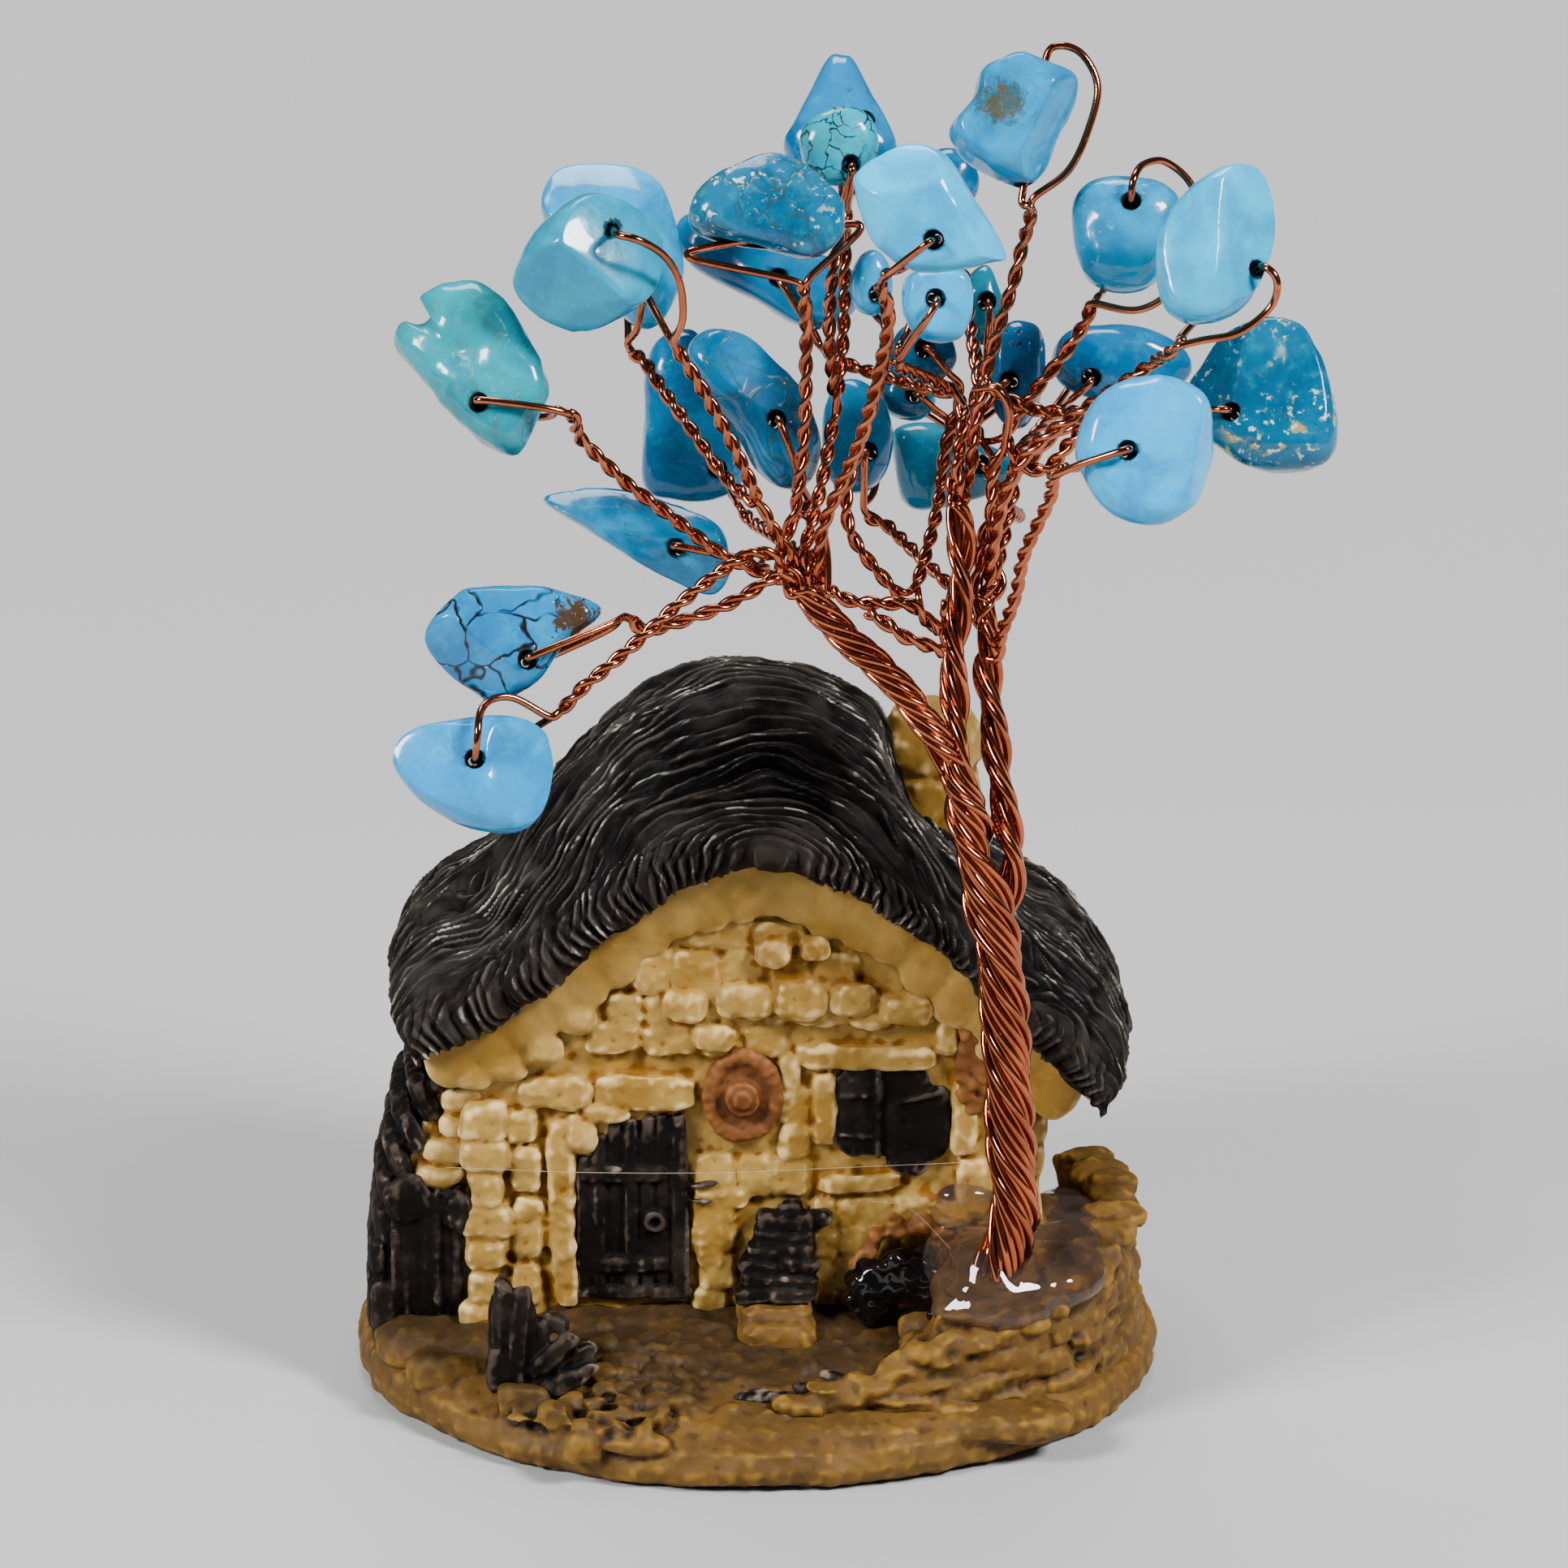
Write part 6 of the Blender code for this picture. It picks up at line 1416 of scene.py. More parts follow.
def make_ground(mat):
    rx, ry = PLINTH_HALF
    rings = [ellipse((rx - 0.7, ry - 0.7), (0, 0), 0.0), ellipse((rx - 0.1, ry - 0.1), (0, 0), 0.5),
             ellipse((rx, ry), (0, 0), 1.2), ellipse((rx - 0.4, ry - 0.5), (0, 0), 2.2),
             ellipse((rx - 1.6, ry - 1.8), (0, 0.4), 3.0), ellipse((rx - 4.5, ry - 5.5), (0, 2.6), 4.3),
             ellipse((rx - 7.0, ry - 9.0), (0, 4.8), 5.4)]
    pieces = [loft(rings)]
    draw = np.random.default_rng(8)
    # the cobbled path from the door to the rim
    for row in range(7):
        y = -9.8 - 1.35 * row
        for k in range(4 if row < 5 else 3):
            x = -8.7 + 1.62 * k + 0.55 * (row % 2) - 0.1 * row + draw.uniform(-0.3, 0.3)
            pieces.append(stone((x, y + draw.uniform(-0.25, 0.25), 4.5 - 0.2 * row),
                                (draw.uniform(0.6, 0.95), draw.uniform(0.5, 0.72), 0.5), 300 + 10 * row + k,
                                3.0, 0.4, turn=draw.uniform(-0.2, 0.2)))
    pieces += [stone((-6.6, -18.3, 2.55), (1.9, 0.75, 0.5), 401, power=3.2),
               stone((-9.6, -18.2, 2.3), (1.0, 0.8, 0.9), 402, power=3.2),
               stone((-11.2, -15.6, 3.1), (1.0, 0.9, 0.8), 403),
               stone((-13.0, -13.9, 3.2), (1.5, 1.0, 1.1), 404),
               stone((-17.4, -9.4, 3.1), (2.3, 1.4, 1.0), 405)]
    # grit trodden into the yard
    for k in range(110):
        x, y, size = draw.uniform(-13.5, 6.0), draw.uniform(-16.5, -6.5), draw.uniform(0.22, 0.5)
        z = float(np.interp(y, (-17.3, -11.5, -5.8), (3.0, 4.3, 5.3))) - 0.0028 * x * x
        pieces.append(stone((x, y, z), (1.4 * size, size, 0.55 * size), 430 + k, 2.6, 0.4))
    # the low sill of the door and the bank beside the wall
    pieces += [stone((-7.2, -6.0, 4.3), (4.9, 1.5, 0.9), 103, 4.0, 0.2),
               stone((-14.8, -7.0, 3.6), (3.2, 2.4, 1.0), 104, 3.0, 0.25),
               stone((-18.6, -6.0, 3.3), (3.0, 2.2, 1.1), 105, 3.0, 0.25)]
    # low swells round the foot of the garden wall
    pieces += [stone((5.0, -16.2, 2.4), (4.5, 1.6, 0.9), 410, power=2.6),
               stone((13.0, -14.2, 2.2), (5.0, 2.4, 1.1), 411, power=2.6)]
    plinth = cast("plinth", pieces, mat, voxel=0.18, rounds=2,
                  layers=[(5.0, 0.26), (1.6, 0.16), (0.7, 0.10), (0.4, 0.05)], seed=15,
                  depth=0.11)
    # higher ground, near the house, is marked for patches of dark brown: soil, and painted shade by the
    # house
    put_attribute(plinth, "soil_and_shade", clamp((mesh_points(plinth)[:, 2] - 3.0) / 1.3))


def make_bare_spot(mat):
    """A grain of bare white plaster at the end of the path."""
    cast("bare_spot", [stone((-9.25, -17.85, 2.15), (0.5, 0.45, 0.5), 7, 2.6, 0.4),
                       stone((-8.9, -17.9, 1.8), (0.35, 0.35, 0.35), 8, 2.6, 0.4)], mat, voxel=0.08,
                       rounds=2, layers=[(0.4, 0.05)], seed=9)


def make_garden_wall(mat):
    pts = np.array(GARDEN_WALL)
    line = smooth([(x, y, z) for x, y, z in pts], 0.4)
    length = travelled(line[:, :2])
    along = tangents(np.column_stack([line[:, :2], np.zeros(len(line))]))
    inward = np.stack([-along[:, 1], along[:, 0]], axis=1)
    rings = []
    for k in range(0, len(line), 4):
        (x, y, top), (dx, dy) = line[k], inward[k]
        rings.append([(x + 0.5 * dx, y + 0.5 * dy, 1.4), (x + 2.3 * dx, y + 2.3 * dy, 1.4),
                      (x + 2.2 * dx, y + 2.2 * dy, top - 0.5), (x + 0.6 * dx, y + 0.6 * dy, top - 0.5)])
    pieces = [loft(rings)]
    draw = np.random.default_rng(6)
    for course in range(4):
        at = draw.uniform(0.0, 2.0)
        while at < length[-1]:
            long = draw.uniform(2.6, 5.2)
            k = min(len(line) - 1, int(np.searchsorted(length, at + 0.5 * long)))
            (x, y, top), (dx, dy) = line[k], inward[k]
            rise = (top - 0.2 - 2.2) / 4.0
            heading = math.atan2(along[k][1], along[k][0])
            if rise > 0.45:
                lump = stone((0, 0, 0),
                             (0.5 * long + 0.05, draw.uniform(0.85, 1.15),
                              0.56 * rise * draw.uniform(0.85, 1.15)),
                             int(draw.integers(1, 9999)), 3.4, 0.34, turn=draw.uniform(-0.14, 0.14))
                c, s = math.cos(heading), math.sin(heading)
                turn = np.array([[c, s, 0], [-s, c, 0], [0, 0, 1.0]])
                inset = 0.8 + 0.22 * course + draw.uniform(-0.2, 0.2)
                pieces.append((lump[0] @ turn + np.array([x + inset * dx, y + inset * dy,
                                                          2.2 + rise * (course + 0.5)]),
                               lump[1]))
            at += long
    for k in range(2, len(line) - 1, 5):
        (x, y, top), (dx, dy) = line[k], inward[k]
        pieces.append(stone((x + 1.4 * dx, y + 1.4 * dy, top - 0.35 + 0.2 * math.sin(1.3 * k)),
                            (1.5, 1.2, 0.7), 500 + k, 2.6, 0.4))
    terrace = [(9.4, -12.6), (13.6, -12.4), (18.0, -9.6), (20.3, -4.2), (20.4, 1.0), (17.0, 4.4),
               (12.0, 3.0), (10.4, -4.0)]
    pieces.append(loft([[(x - (reach if x < 12.5 else 0.0), y, z) for x, y in terrace]
                        for z, reach in ((1.3, 2.4), (5.0, 0.6), (7.9, -0.9))]))
    pieces += [stone((9.6 + 0.5 * math.sin(2.0 * k), -12.2 + 1.5 * k, 4.6 + 0.5 * math.cos(1.7 * k)),
                     (1.3, 1.2, 1.3), 540 + k, 2.4, 0.35) for k in range(5)]
    # the step below the dark planks
    pieces += [stone((1.2, -8.4, 4.3), (2.25, 1.4, 1.5), 101, 6.0, 0.10),
               stone((1.1, -7.2, 5.2), (2.1, 1.5, 1.3), 102, 6.0, 0.10)]
    cast("garden_wall", pieces, mat, voxel=0.16, rounds=2, layers=[(1.6, 0.18), (0.8, 0.12), (0.4, 0.05)],
         seed=25, depth=0.11)


SLOPES = 58.0                # distance over the thatch, eave to eave
STRAW = 0.86                 # distance from one ridge of straw to the next


def make_thatch(mat):
    """The thatch as one thick roll of straw: its strands run down the slopes and turn over the verge."""
    count, around = 460, 500
    top = smooth([(x, 0, z) for x, z in ROOF_TOP], 0.3)[:, [0, 2]]
    under = smooth([(x, 0, z) for x, z in ROOF_UNDER], 0.3)[:, [0, 2]]

    def at(line, share):
        length = travelled(line)
        return at_lengths(line, length, share * length[-1])

    share = np.linspace(0.0, 1.0, count)
    outer, inner = at(top, share), at(under, share)
    # the roll's section from front to back, (y, height): 0 is the underside and 5 the top
    section = [(-6.2, 0.0), (-7.1, 0.5), (-7.4, 1.4), (-7.0, 2.6), (-5.9, 3.6), (-4.0, 4.4), (-1.0, 4.8),
               (4.6, 5.0), (10.0, 4.8), (13.6, 4.4), (15.8, 3.5), (16.6, 2.0), (16.2, 0.6), (15.0, 0.0),
               (4.6, 0.0), (-6.2, 0.0)]
    lap = smooth([(y, 0, h) for y, h in section], 0.1)[:, [0, 2]]
    lap = at(lap, np.arange(around) / around)
    y, rise = lap[:, 0], lap[:, 1] / 5.0
    lie = travelled(lap)
    crown = 3.9 * np.sin(math.pi * clamp((y + 5.0) / 22.0)) * clamp(2 * rise - 1)
    grid = np.empty((count, around, 3))
    for k in range(count):
        from_end = min(1.0, min(share[k], 1 - share[k]) / 0.035)
        pinch = math.sqrt(max(0.02, 1 - (1 - from_end) ** 2))
        middle = 0.5 * (outer[k] + inner[k])
        high = middle + (outer[k] - middle) * pinch
        low = middle + (inner[k] - middle) * pinch
        grid[k, :, 0] = low[0] + (high[0] - low[0]) * rise
        beside = ease(clamp((outer[k][0] - 6.6) / 2.4)) * clamp((17.0 - outer[k][0]) / 5.0)
        notch = beside * clamp(2 * rise - 1) * clamp((y + 1.0) / 5.0)
        swell = crown * (1 - 0.8 * notch) * math.sin(math.pi * share[k])
        grid[k, :, 2] = low[1] + (high[1] - low[1]) * rise + swell - 1.2 * notch
        grid[k, :, 1] = y
    flat = grid.reshape(-1, 3)
    normal = grid_normals(grid).reshape(-1, 3)
    centre = np.array([0.0, 5.0, 24.0])
    if ((flat - centre) * normal).sum() < 0:
        normal = -normal
    # strands: down the slopes on top, sweeping forward and hanging over the verge in front
    slope = np.repeat(SLOPES * share, around) - 0.5 * SLOPES
    out = np.sqrt(slope ** 2 + 9.0)
    forward = -np.tile(lie, count)
    verge_share = ease(np.tile(clamp((6.0 - lie) / 4.0), count))
    wander = 1.6 * noise(flat, (7.0, 6.0, 7.0), 3) + 0.55 * noise(flat, 2.8, 4)
    push = np.zeros(len(flat))
    # the strands' slant, on the roof, where they turn and on the verge
    for angle, at_share in ((13.0, 0.0), (46.0, 0.5), (80.0, 1.0)):
        c, s = math.cos(math.radians(angle)), math.sin(math.radians(angle))
        across = forward * c - out * s + wander
        down = out * c + forward * s
        weight = clamp(1 - np.abs(verge_share - at_share) / 0.5)
        strands = np.stack([down / 4.4, across, 0 * across], 1)
        locks = noise(strands, (1.3, 1.5, 9.0), 31)
        phase = across / STRAW + 1.3 * noise(strands, (0.8, 1.7, 9.0), 32)
        straws = 2.0 * np.abs(np.sin(math.pi * phase)) ** 0.75 - 1.0
        threads = 1.0 - 3.2 * np.abs(noise(strands, (0.50, 0.36, 9.0), 33))
        push += weight * (0.30 * locks + 0.24 * straws + 0.11 * np.clip(threads, -1, 1))
    push += 0.40 * noise(flat, (7.0, 5.0, 7.0), 35) + 0.10 * noise(flat, 1.1, 36)
    points = flat + normal * push[:, None]
    faces = grid_faces(count, around) + [tuple(range(around))[::-1],
                                         tuple(range((count - 1) * around, count * around))]
    obj = mesh_object("thatch", points, faces, mat)
    put_attribute(obj, "relief", np.clip(relief(obj, 8) / 0.17, -1, 1) * 0.5 + 0.5)
    put_attribute(obj, "verge", verge_share)
    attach(obj, ROOT)


def planks(x0, x1, z0, z1, y, count, seed, out=0.5):
    """Upright boards side by side, each a little different in depth."""
    draw = np.random.default_rng(seed)
    pieces = []
    edges = np.linspace(x0, x1, count + 1)
    for k in range(count):
        low, high = edges[k], edges[k + 1]
        drop = draw.uniform(-0.12, 0.12)
        pieces.append(stone(((low + high) / 2, y + draw.uniform(-0.08, 0.08), 0.5 * (z0 + z1) + drop),
                            (0.5 * (high - low) - 0.02, out, 0.5 * (z1 - z0)), int(draw.integers(1, 999)),
                            7.0, 0.05))
    return pieces


def make_dark_parts(mat):
    """All that is painted near-black: door, window, planks, splinters, a root and the lean-to's strip."""
    pieces = []
    # door: boards under an arched head, two ledges, a ring handle and hinge straps
    tops = (14.6, 15.9, 16.5, 16.8, 17.0, 17.1, 17.1)
    for k, top in enumerate(tops):
        x = -9.85 + 0.91 * k
        pieces.append(stone((x, FACADE - 0.08 - 0.13 * math.sin(2.4 * k), 0.5 * (top + 5.9)),
                            (0.43, 0.42, 0.5 * (top - 5.9)), 700 + k, 8.0, 0.04))
    pieces += [stone((-7.5, FACADE - 0.45, 13.5), (2.4, 0.26, 0.48), 710, 6.0, 0.08),
               stone((-7.3, FACADE - 0.45, 7.9), (2.1, 0.26, 0.45), 711, 6.0, 0.08),
               stone((-4.1, FACADE - 0.30, 11.4), (0.28, 0.38, 5.4), 712, 6.0, 0.05),
               stone((-7.1, FACADE - 0.25, 6.1), (3.3, 0.35, 0.4), 713, 5.0, 0.1)]
    for k in range(14):
        t = 2 * math.pi * k / 14
        pieces.append(stone((-5.75 + 0.48 * math.cos(t), FACADE - 0.62, 10.6 + 0.5 * math.sin(t)),
                            (0.2, 0.2, 0.2), 720 + k, 2.0, 0.0))
    pieces += [stone((-3.0, FACADE - 0.55, 12.9), (0.85, 0.3, 0.16), 740, power=2.6, turn=0.12),
               stone((-3.1, FACADE - 0.55, 11.9), (0.7, 0.3, 0.14), 741, power=2.6)]
    # window: the opening and its ragged edge, with bars and a broken shutter
    pieces += [stone((7.3, FACADE - 0.12, 17.3), (2.7, 0.40, 2.9), 750, 6.0, 0.10),
               stone((9.9, FACADE - 0.12, 16.6), (1.2, 0.40, 2.3), 751, 3.6, 0.14),
               stone((8.6, FACADE - 0.12, 14.3), (1.2, 0.40, 0.9), 752, 2.6, 0.25),
               stone((7.0, FACADE - 0.42, 17.3), (0.22, 0.3, 2.7), 753, power=5.0),
               stone((5.9, FACADE - 0.42, 18.4), (1.1, 0.25, 0.18), 754, power=4.0),
               stone((5.8, FACADE - 0.42, 15.9), (1.1, 0.25, 0.18), 755, power=4.0),
               stone((9.2, FACADE - 0.42, 18.2), (1.5, 0.25, 0.2), 756, power=3.0, turn=0.25)]
    # dark planks stacked over the step, each course a little narrower and set back
    draw = np.random.default_rng(33)
    for k in range(6):
        z, half = 6.9 + 0.80 * k, 2.05 - 0.10 * k
        for part in (-0.5, 0.5):
            pieces.append(stone((1.1 + 0.11 * k + part * half + draw.uniform(-0.25, 0.25), -7.2 + 0.22 * k,
                                 z + draw.uniform(-0.12, 0.12)),
                                (0.66 * half, 0.8, 0.45), 760 + 2 * k + int(part > 0), 7.0, 0.10,
                                turn=draw.uniform(-0.16, 0.16)))
    pieces += [stone((3.4, -5.8, 10.9), (0.9, 0.6, 0.45), 778, 5.0, 0.3, turn=0.3),
               stone((2.0, -5.6, 11.5), (0.7, 0.6, 0.42), 779, 5.0, 0.3)]
    # a stump of upright splinters with a fallen rail
    splinters = ((-14.5, 8.6, -12.0), (-14.0, 9.8, -12.3), (-13.4, 9.5, -12.6), (-12.8, 8.9, -12.4),
                 (-12.3, 7.6, -12.2), (-13.7, 7.2, -11.6), (-14.6, 6.0, -12.5))
    for k, (x, top, y) in enumerate(splinters):
        pieces.append(stone((x, y, 0.5 * (top + 3.2)), (0.56, 0.75, 0.5 * (top - 3.2)), 900 + k, 6.0, 0.16,
                            turn=0.10 * math.sin(2.6 * k)))
    rails = ((-11.6, -12.9, 5.5, 1.9, 0.72), (-11.0, -12.5, 4.7, 2.3, 0.60), (-10.4, -13.2, 4.3, 1.8, 0.52),
             (-12.2, -12.7, 4.6, 1.6, 0.9), (-11.3, -12.0, 7.2, 0.8, -0.2))
    for k, (x, y, z, long, turn) in enumerate(rails):
        pieces.append(stone((x, y, z), (long, 0.55, 0.5), 920 + k, 5.0, 0.2, turn=turn))
    # a root along the ground in front of the garden wall
    root = ((-0.2, -14.3, 3.7), (1.6, -14.6, 3.7), (3.2, -14.6, 4.2), (4.6, -14.2, 4.8))
    for k, (x, y, z) in enumerate(root):
        pieces.append(stone((x, y, z), (1.1, 0.5, 0.32), 780 + k, power=2.4, turn=-0.25 if k > 1 else 0.0))
    # the lean-to's thatch strip and the wood stacked under it
    edge = [(-17.4, 19.3), (-18.6, 18.6), (-20.3, 14.8), (-21.3, 10.8), (-21.8, 6.6), (-21.9, 3.6)]
    for k, ((x0, z0), (x1, z1)) in enumerate(zip(edge[:-1], edge[1:])):
        for part in (0.25, 0.75):
            x, z = x0 + (x1 - x0) * part, z0 + (z1 - z0) * part
            tilt = math.atan2(x1 - x0, z1 - z0)
            pieces.append(stone((x + 0.2, -0.2, z), (0.85, 4.9, 0.5 * math.hypot(x1 - x0, z1 - z0)),
                                800 + 2 * k, 3.6, 0.05, turn=tilt))
    pieces += planks(-20.9, -16.2, 4.2, 12.4, -4.9, 8, 9, out=0.75)
    pieces += [stone((-19.9, -5.3, 12.0), (1.5, 0.7, 1.4), 820, 3.0, 0.2, turn=0.5),
               stone((-16.9, -5.4, 11.2), (0.8, 0.6, 1.3), 821, 3.0, 0.2),
               stone((-21.3, -5.0, 4.6), (0.9, 0.9, 2.2), 822, 3.0, 0.2)]
    cast("dark_parts", pieces, mat, voxel=0.13, rounds=1,
         layers=[((0.45, 0.45, 2.6), 0.07), (0.9, 0.07), (0.35, 0.03)], seed=45, depth=0.08)


def make_lean_to(mat):
    """The side wall that the lean-to's strip leans on."""
    outline = [(-15.0, 2.1), (-21.3, 2.1), (-21.2, 8.0), (-19.9, 14.0), (-18.1, 18.8), (-15.0, 20.4)]
    pieces = [prism(outline, -4.3, 4.2)]
    for k in range(9):
        z = 5.0 + 1.6 * k
        x = float(np.interp(z, (3, 8, 14, 19), (-20.2, -20.0, -18.6, -17.0)))
        pieces.append(stone((x + 0.9 + 0.3 * math.sin(2 * k), -4.6, z), (1.4, 0.6, 0.75), 830 + k))
    for k in range(6):
        for m in range(4):
            pieces.append(stone((-19.6 + 1.5 * m + 0.5 * (k % 2), 4.2, 4.0 + 2.0 * k), (0.8, 0.5, 0.9),
                                850 + 10 * k + m))
    pieces = [piece for piece in pieces if np.asarray(piece[0])[:, 2].max() < 20.8]
    cast("lean_to_wall", pieces, mat, voxel=0.18, rounds=2, layers=[(1.6, 0.12), (0.6, 0.05)], seed=55)


def make_chimney(mat):
    x, y = 10.1, 9.0
    profile = ((26.0, 3.0), (30.0, 3.0), (32.6, 2.9), (33.0, 2.5), (33.5, 2.85), (35.4, 2.8), (36.5, 2.3),
               (37.0, 1.2))
    pieces = [loft([ellipse((r, r * 0.86), (x, y), z, 30) for z, r in profile])]
    pieces += [stone((x + 2.1 * math.cos(t), y + 1.8 * math.sin(t), z), (1.1, 0.9, 1.5),
                     int(10 * z + 9 * t), 2.6, 0.2)
               for z in (30.2, 34.2) for t in (0.4, 1.7, 2.9, 4.0, 5.2)]
    cast("chimney", pieces, mat, voxel=0.16, rounds=6, layers=[(1.4, 0.12), (0.5, 0.05)], seed=65)


def make_plaque(mat):
    """The round moulded plaque between door and window, with a beaded rim and a knob, and the vine."""
    pieces = []
    for half, out, z in (((2.25, 2.85), 0.55, 18.3), ((0.95, 1.1), 1.15, 18.3), ((0.55, 0.6), 1.4, 18.35)):
        ring = [[(-0.75 + half[0] * f * math.cos(a), y, z + half[1] * f * math.sin(a))
                 for a in [2 * math.pi * k / 32 for k in range(32)]]
                for y, f in ((FACADE + 0.3, 1.0), (FACADE - out, 1.0), (FACADE - out - 0.12, 0.9))]
        pieces.append(loft(ring))
    for k in range(28):
        a = 2 * math.pi * k / 28
        pieces.append(stone((-0.75 + 1.88 * math.cos(a), FACADE - 0.52, 18.3 + 2.4 * math.sin(a)),
                            (0.46, 0.40, 0.46), 900 + k, 2.2, 0.12))
    draw = np.random.default_rng(14)
    for k in range(20):
        pieces.append(stone((12.4 + 0.9 * math.sin(1.9 * k) * draw.uniform(0.4, 1.0), FACADE - 0.45,
                             17.8 + 5.4 * k / 20.0), (0.55, 0.45, 0.55), 940 + k, 2.2, 0.3))
    cast("plaque_and_vine", pieces, mat, voxel=0.13, rounds=4, layers=[(1.2, 0.14), (0.35, 0.04)], seed=75)


def make_bush(mat, rust):
    draw = np.random.default_rng(17)
    pieces = [stone((8.6, -7.2, 7.0), (2.9, 1.1, 2.1), 960, 2.3, 0.3)]
    for k in range(34):
        u, v = draw.uniform(0, 2 * math.pi), draw.uniform(-0.7, 0.95)
        r = math.sqrt(max(0.0, 1 - v * v))
        pieces.append(stone((8.6 + 2.8 * r * math.cos(u), -7.2 + 0.95 * r * math.sin(u), 7.0 + 2.1 * v),
                            (0.85, 0.5, 0.6), 961 + k, 2.2, 0.5, turn=draw.uniform(-1.2, 1.2)))
    for k in range(12):
        pieces.append(stone((10.4 + 0.28 * k, -9.4 - 0.14 * k, 6.3 - 0.08 * k + 0.3 * math.sin(2.2 * k)),
                            (0.7, 0.7, 0.55), 1010 + k, 2.2, 0.35))
    cast("bush", pieces, mat, voxel=0.14, rounds=1, layers=[(0.7, 0.12), (0.3, 0.05)], seed=85, depth=0.07)
    arch = []
    for k in range(17):
        t = math.pi * (0.10 + 0.80 * k / 16)
        size = 0.52 + 0.14 * math.sin(2.1 * k)
        arch.append(stone((8.8 + 3.0 * math.cos(t) + 0.2 * math.sin(1.9 * k), -6.5,
                           7.2 + (3.6 + 0.25 * math.sin(1.3 * k)) * math.sin(t)),
                          (size, 0.6, size), 1030 + k, 2.3, 0.45))
    cast("bush_arch", arch, rust, voxel=0.15, rounds=3, layers=[(1.0, 0.08)], seed=86)


def wall_paint(name, face, high, wash, deep, shade, soil_and_shade=None):
    """Flat cast paint: painted highlight on the crests, a brown wash and painted shade in the creases,
    tinted patches and gloss.
    """
    paint = Paint(name, roughness=0.55)
    paint.shader.inputs["Specular IOR Level"].default_value = 0.16
    rise = paint.attribute("relief")
    uneven = paint.math("ADD", rise, paint.centred(paint.noise(0.8, 4.0, 0.65), 0.30))
    color = paint.mix(paint.between(paint.noise(5.0, 3.0), 0.42, 0.62), face, shade)
    # lighter on the crests: a painted highlight
    color = paint.mix(paint.between(uneven, 0.55, 0.90), color, high)
    # darker in the creases: a brown wash there, and painted shade in the deepest
    color = paint.mix(paint.between(uneven, 0.44, 0.28), color, wash)
    color = paint.mix(paint.between(uneven, 0.24, 0.06), color, deep)
    stain = paint.between(paint.noise(2.2, 5.0, 0.7), 0.55, 0.74)
    color = paint.mix(paint.times(stain, 0.5), color, wash)
    if soil_and_shade:
        # patches of dark brown on the higher ground near the house: soil and painted shade
        soil_and_shade_patches = paint.times(paint.attribute("soil_and_shade"), paint.between(paint.noise(2.8, 5.0, 0.65), 0.16, 0.52))
        color = paint.mix(paint.times(soil_and_shade_patches, 0.85), color, soil_and_shade)
    paint.color(color)
    paint.vary("Roughness", paint.noise(1.2, 3.0), 0.44, 0.72)
    paint.bump(paint.noise(0.35, 4.0, 0.6), 0.05, 0.6)
    return paint.mat


def dark_paint(name, base, crest, fleck, gloss=0.5, worn=None):
    """Near-black paint, pale on the crests from dry-brushing and painted highlight, painted shade in the
    creases, with stray flecks of the brush.
    """
    paint = Paint(name, roughness=gloss)
    paint.shader.inputs["Specular IOR Level"].default_value = 0.04
    rise = paint.attribute("relief")
    patchy = paint.noise(1.6, 4.0, 0.65)
    color = base
    if worn:
        color = paint.mix(paint.times(paint.attribute("verge"), 0.8), base, worn)
    color = paint.mix(paint.between(paint.noise(3.5, 3.0), 0.45, 0.7), color, paint.mix(0.35, color, crest))
    # pale on the crests: dry-brush paint and painted highlight
    dry_brush_and_highlight = paint.times(paint.between(rise, 0.58, 0.84), paint.between(patchy, 0.30, 0.58))
    color = paint.mix(dry_brush_and_highlight, color, crest)
    flecked = paint.between(paint.noise(2.4, 5.0, 0.7), 0.53, 0.63)
    color = paint.mix(paint.times(paint.between(rise, 0.66, 0.88), flecked), color, fleck)
    # creases go near-black: painted shade
    color = paint.mix(paint.between(rise, 0.44, 0.22), color, (0.003, 0.0025, 0.0025, 1.0))
    paint.color(color)
    paint.vary("Roughness", patchy, gloss - 0.12, gloss + 0.14)
    paint.bump(paint.noise(0.3, 4.0, 0.6), 0.05, 0.6)
    return paint.mat


# ---- glue -----------------------------------------------------------------------------------------
THREAD = 0.015               # radius of a drawn-out thread of glue


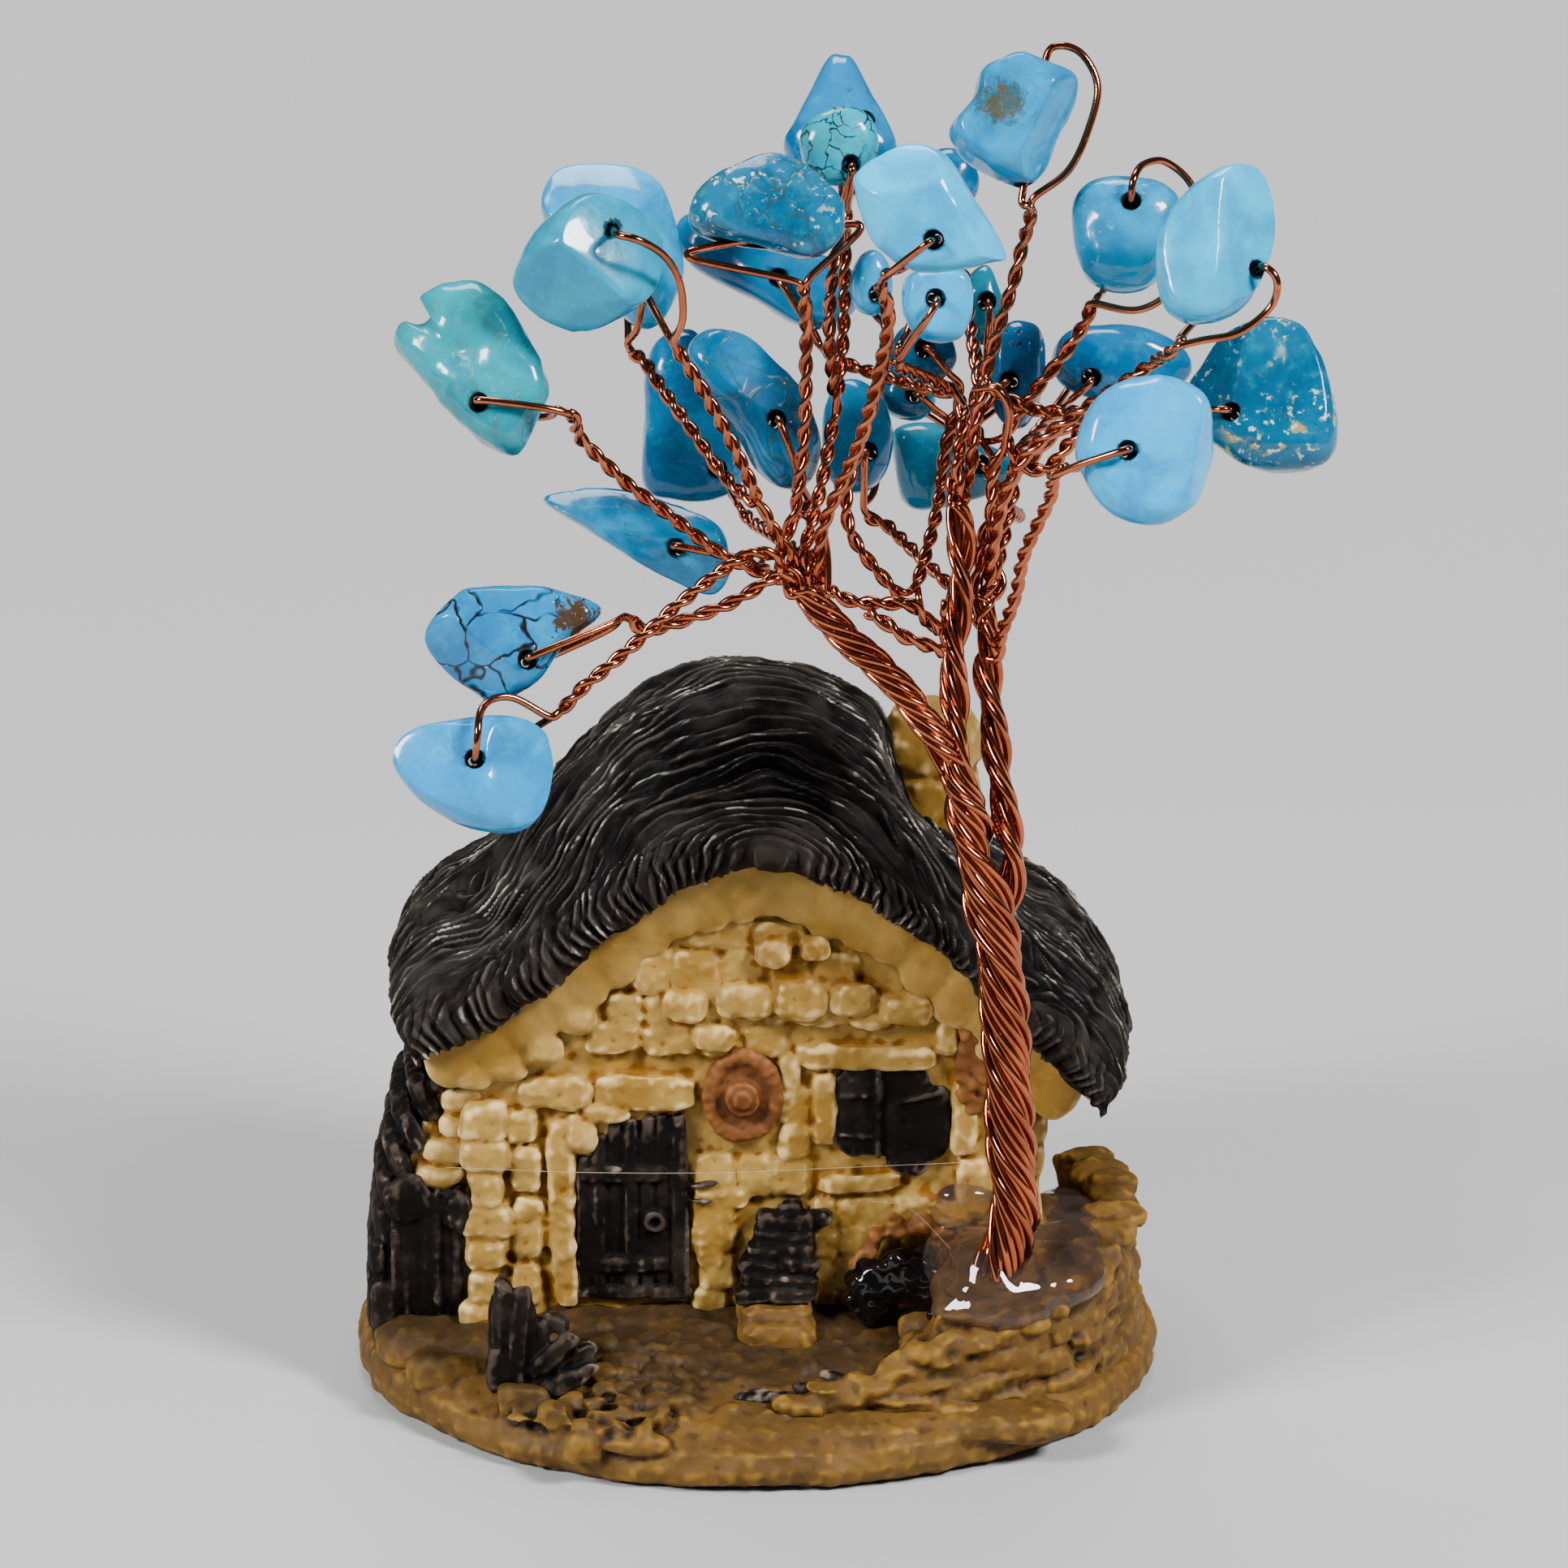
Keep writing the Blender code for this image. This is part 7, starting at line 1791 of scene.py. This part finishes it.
def make_glue(mat):
    """The clear glue: heaped round the trunk's foot, run along the terrace and up against the wall."""
    pieces = [stone((13.8, -9.8, 8.3), (4.0, 3.4, 2.0), 1, 2.2, 0.03),
              stone((16.4, -7.4, 8.6), (4.0, 4.6, 1.7), 3, 2.2, 0.03),
              stone((18.0, -2.8, 8.9), (3.0, 5.2, 1.5), 4, 2.2, 0.03),
              stone((12.2, -7.2, 8.8), (3.0, 2.2, 2.0), 5, 2.2, 0.05),
              stone((12.4, -5.7, 10.6), (2.6, 1.0, 2.2), 7, 2.2, 0.08),
              stone((13.4, -11.6, 7.9), (3.6, 2.0, 1.3), 6, 2.2, 0.03),
              stone((13.2, -9.6, 9.6), (2.6, 2.3, 1.9), 8, 2.0, 0.05),
              stone((17.4, -6.6, 9.7), (2.4, 1.5, 1.1), 9, 2.0, 0.10),
              stone((16.6, -9.4, 9.4), (1.9, 1.3, 1.0), 10, 2.0, 0.10),
              stone((12.0, -6.3, 12.4), (1.9, 0.9, 1.0), 11, 2.0, 0.10)]
    obj = fused("glue", pieces, mat, voxel=0.22, rounds=26)
    roughen(obj, [(3.2, 0.34), (1.3, 0.13)], 95)
    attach(obj, ROOT)
    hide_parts("glue_pool")
    # threads of dried glue across the front
    threads = ([(-17.6, -6.6, 14.4), (-10.0, -6.4, 14.0), (-2.0, -6.2, 13.9), (6.0, -6.3, 14.3),
                (12.6, -7.0, 14.9)],
               [(6.6, -6.6, 12.3), (8.6, -7.2, 12.2), (10.4, -8.4, 10.9), (11.8, -9.6, 9.6)])
    thread_paint = Paint("glue_thread", roughness=0.15)
    thread_paint.color(thread_paint.mix(thread_paint.noise(2.0), (0.34, 0.27, 0.17, 1.0),
                                        (0.50, 0.43, 0.32, 1.0)))
    for k, points in enumerate(threads):
        thread = bar(f"glue_string_{k + 1}", smooth(points, 0.5), THREAD, thread_paint.mat, sides=6)
        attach(thread, ROOT)


def clear_glue():
    paint = Paint("clear_glue_look", roughness=0.02)
    paint.shader.inputs["Transmission Weight"].default_value = 0.97
    paint.shader.inputs["IOR"].default_value = 1.42
    paint.color(paint.mix(paint.between(paint.noise(2.6, 3.0), 0.4, 0.7), (0.74, 0.60, 0.50, 1.0),
                          (0.56, 0.42, 0.33, 1.0)))
    paint.bump(paint.noise(2.0, 2.0), 0.16, 0.5)
    return paint.mat


# ---- stage ------------------------------------------------------------------------------------------
def make_stage():
    paint = Paint("floor", roughness=0.75)
    distance = paint.tree.nodes.new("ShaderNodeVectorMath")
    distance.operation = "LENGTH"
    paint.link(paint.where, distance.inputs[0])
    # The floor is painted darker near the cottage and paler further off: painted shade and painted light
    # standing in for how the lamps fall off.
    far = paint.between(distance.outputs["Value"], 0.10, 0.55)
    paint.color(paint.mix(far,
                          paint.mix(paint.noise(60.0, 3.0), (0.40, 0.40, 0.402, 1.0),
                                    (0.385, 0.385, 0.388, 1.0)),
                          (0.72, 0.72, 0.725, 1.0)))
    size = 3.0
    mesh = bpy.data.meshes.new("floor")
    mesh.from_pydata([(-size, -size, 0), (size, -size, 0), (size, size, 0), (-size, size, 0)], [],
                     [(0, 1, 2, 3)])
    mesh.materials.append(paint.mat)
    placed("floor", mesh)
    world = bpy.data.worlds.new("studio")
    world.use_nodes = True
    sky = world.node_tree.nodes["Background"]
    sky.inputs["Color"].default_value = (0.92, 0.94, 1.0, 1.0)
    sky.inputs["Strength"].default_value = 0.09
    bpy.context.scene.world = world
    for name, place, size, power in (("key", (0.36, -0.22, 0.42), 0.13, 6.0),
                                     ("fill", (-0.40, -0.26, 0.36), 0.15, 5.2),
                                     ("top", (-0.05, 0.30, 0.62), 0.30, 3.6)):
        light = bpy.data.lights.new(name, "AREA")
        light.shape = "SQUARE"
        light.size = size
        light.energy = power
        lamp = placed(name, light)
        lamp.location = place
        toward = np.array([0.0, 0.0, 0.04]) - np.array(place)
        lamp.rotation_euler = (math.atan2(math.hypot(toward[0], toward[1]), -toward[2]), 0.0,
                               math.atan2(-toward[0], toward[1]))


def make_camera():
    """A long lens, 20 degrees above the horizon, straight on to the cottage's front."""
    elevation = math.radians(20.0)
    aim = np.array([1.6, -4.0, 36.6])
    away = 420.0
    camera = bpy.data.cameras.new("camera")
    camera.lens = 172.0
    camera.sensor_width = 36.0
    obj = placed("camera", camera)
    obj.location = (aim + away * np.array([0.0, -math.cos(elevation), math.sin(elevation)])) * MM
    obj.rotation_euler = (math.radians(90.0) - elevation, 0.0, 0.0)
    bpy.context.scene.camera = obj


def main():
    make_camera()
    make_stage()
    for number, chip in enumerate(CHIPS):
        make_stone(chip, number, turquoise(chip[0]))
    wire = copper()
    make_wires(wire)
    add_loose_wire(wire)
    cream = wall_paint("cream_paint", rgb(180, 150, 102), rgb(213, 190, 150), rgb(146, 100, 46),
                       rgb(92, 62, 30), rgb(166, 132, 82))
    ochre = wall_paint("ochre_paint", rgb(128, 98, 60), rgb(158, 124, 76), rgb(92, 68, 42), rgb(38, 29, 18),
                       rgb(108, 82, 50), soil_and_shade=rgb(50, 38, 26))
    rust = wall_paint("rust_paint", rgb(134, 90, 58), rgb(164, 116, 80), rgb(102, 60, 36), rgb(60, 36, 22),
                      rgb(122, 78, 50))
    dark = dark_paint("dark_paint", (0.0050, 0.0037, 0.0031, 1.0), (0.050, 0.036, 0.027, 1.0),
                      (0.16, 0.125, 0.095, 1.0))
    black = dark_paint("bush_paint", rgb(13, 11, 11), rgb(26, 22, 20), rgb(40, 34, 30), gloss=0.16)
    black.node_tree.nodes["Principled BSDF"].inputs["Coat Weight"].default_value = 0.8
    black.node_tree.nodes["Principled BSDF"].inputs["Coat Roughness"].default_value = 0.06
    straw = dark_paint("thatch_paint", (0.0030, 0.0025, 0.0025, 1.0), (0.050, 0.043, 0.036, 1.0),
                       (0.34, 0.31, 0.26, 1.0), worn=(0.0130, 0.0085, 0.0065, 1.0))
    make_walls(cream)
    make_plaster_band(cream)
    make_ground(ochre)
    make_garden_wall(ochre)
    make_bare_spot(wall_paint("bare_plaster", rgb(206, 200, 190), rgb(226, 222, 214), rgb(170, 156, 134),
                              rgb(120, 100, 76), rgb(196, 188, 176)))
    make_lean_to(cream)
    make_chimney(cream)
    make_thatch(straw)
    make_dark_parts(dark)
    make_plaque(rust)
    make_bush(black, rust)
    make_glue(clear_glue())


main()
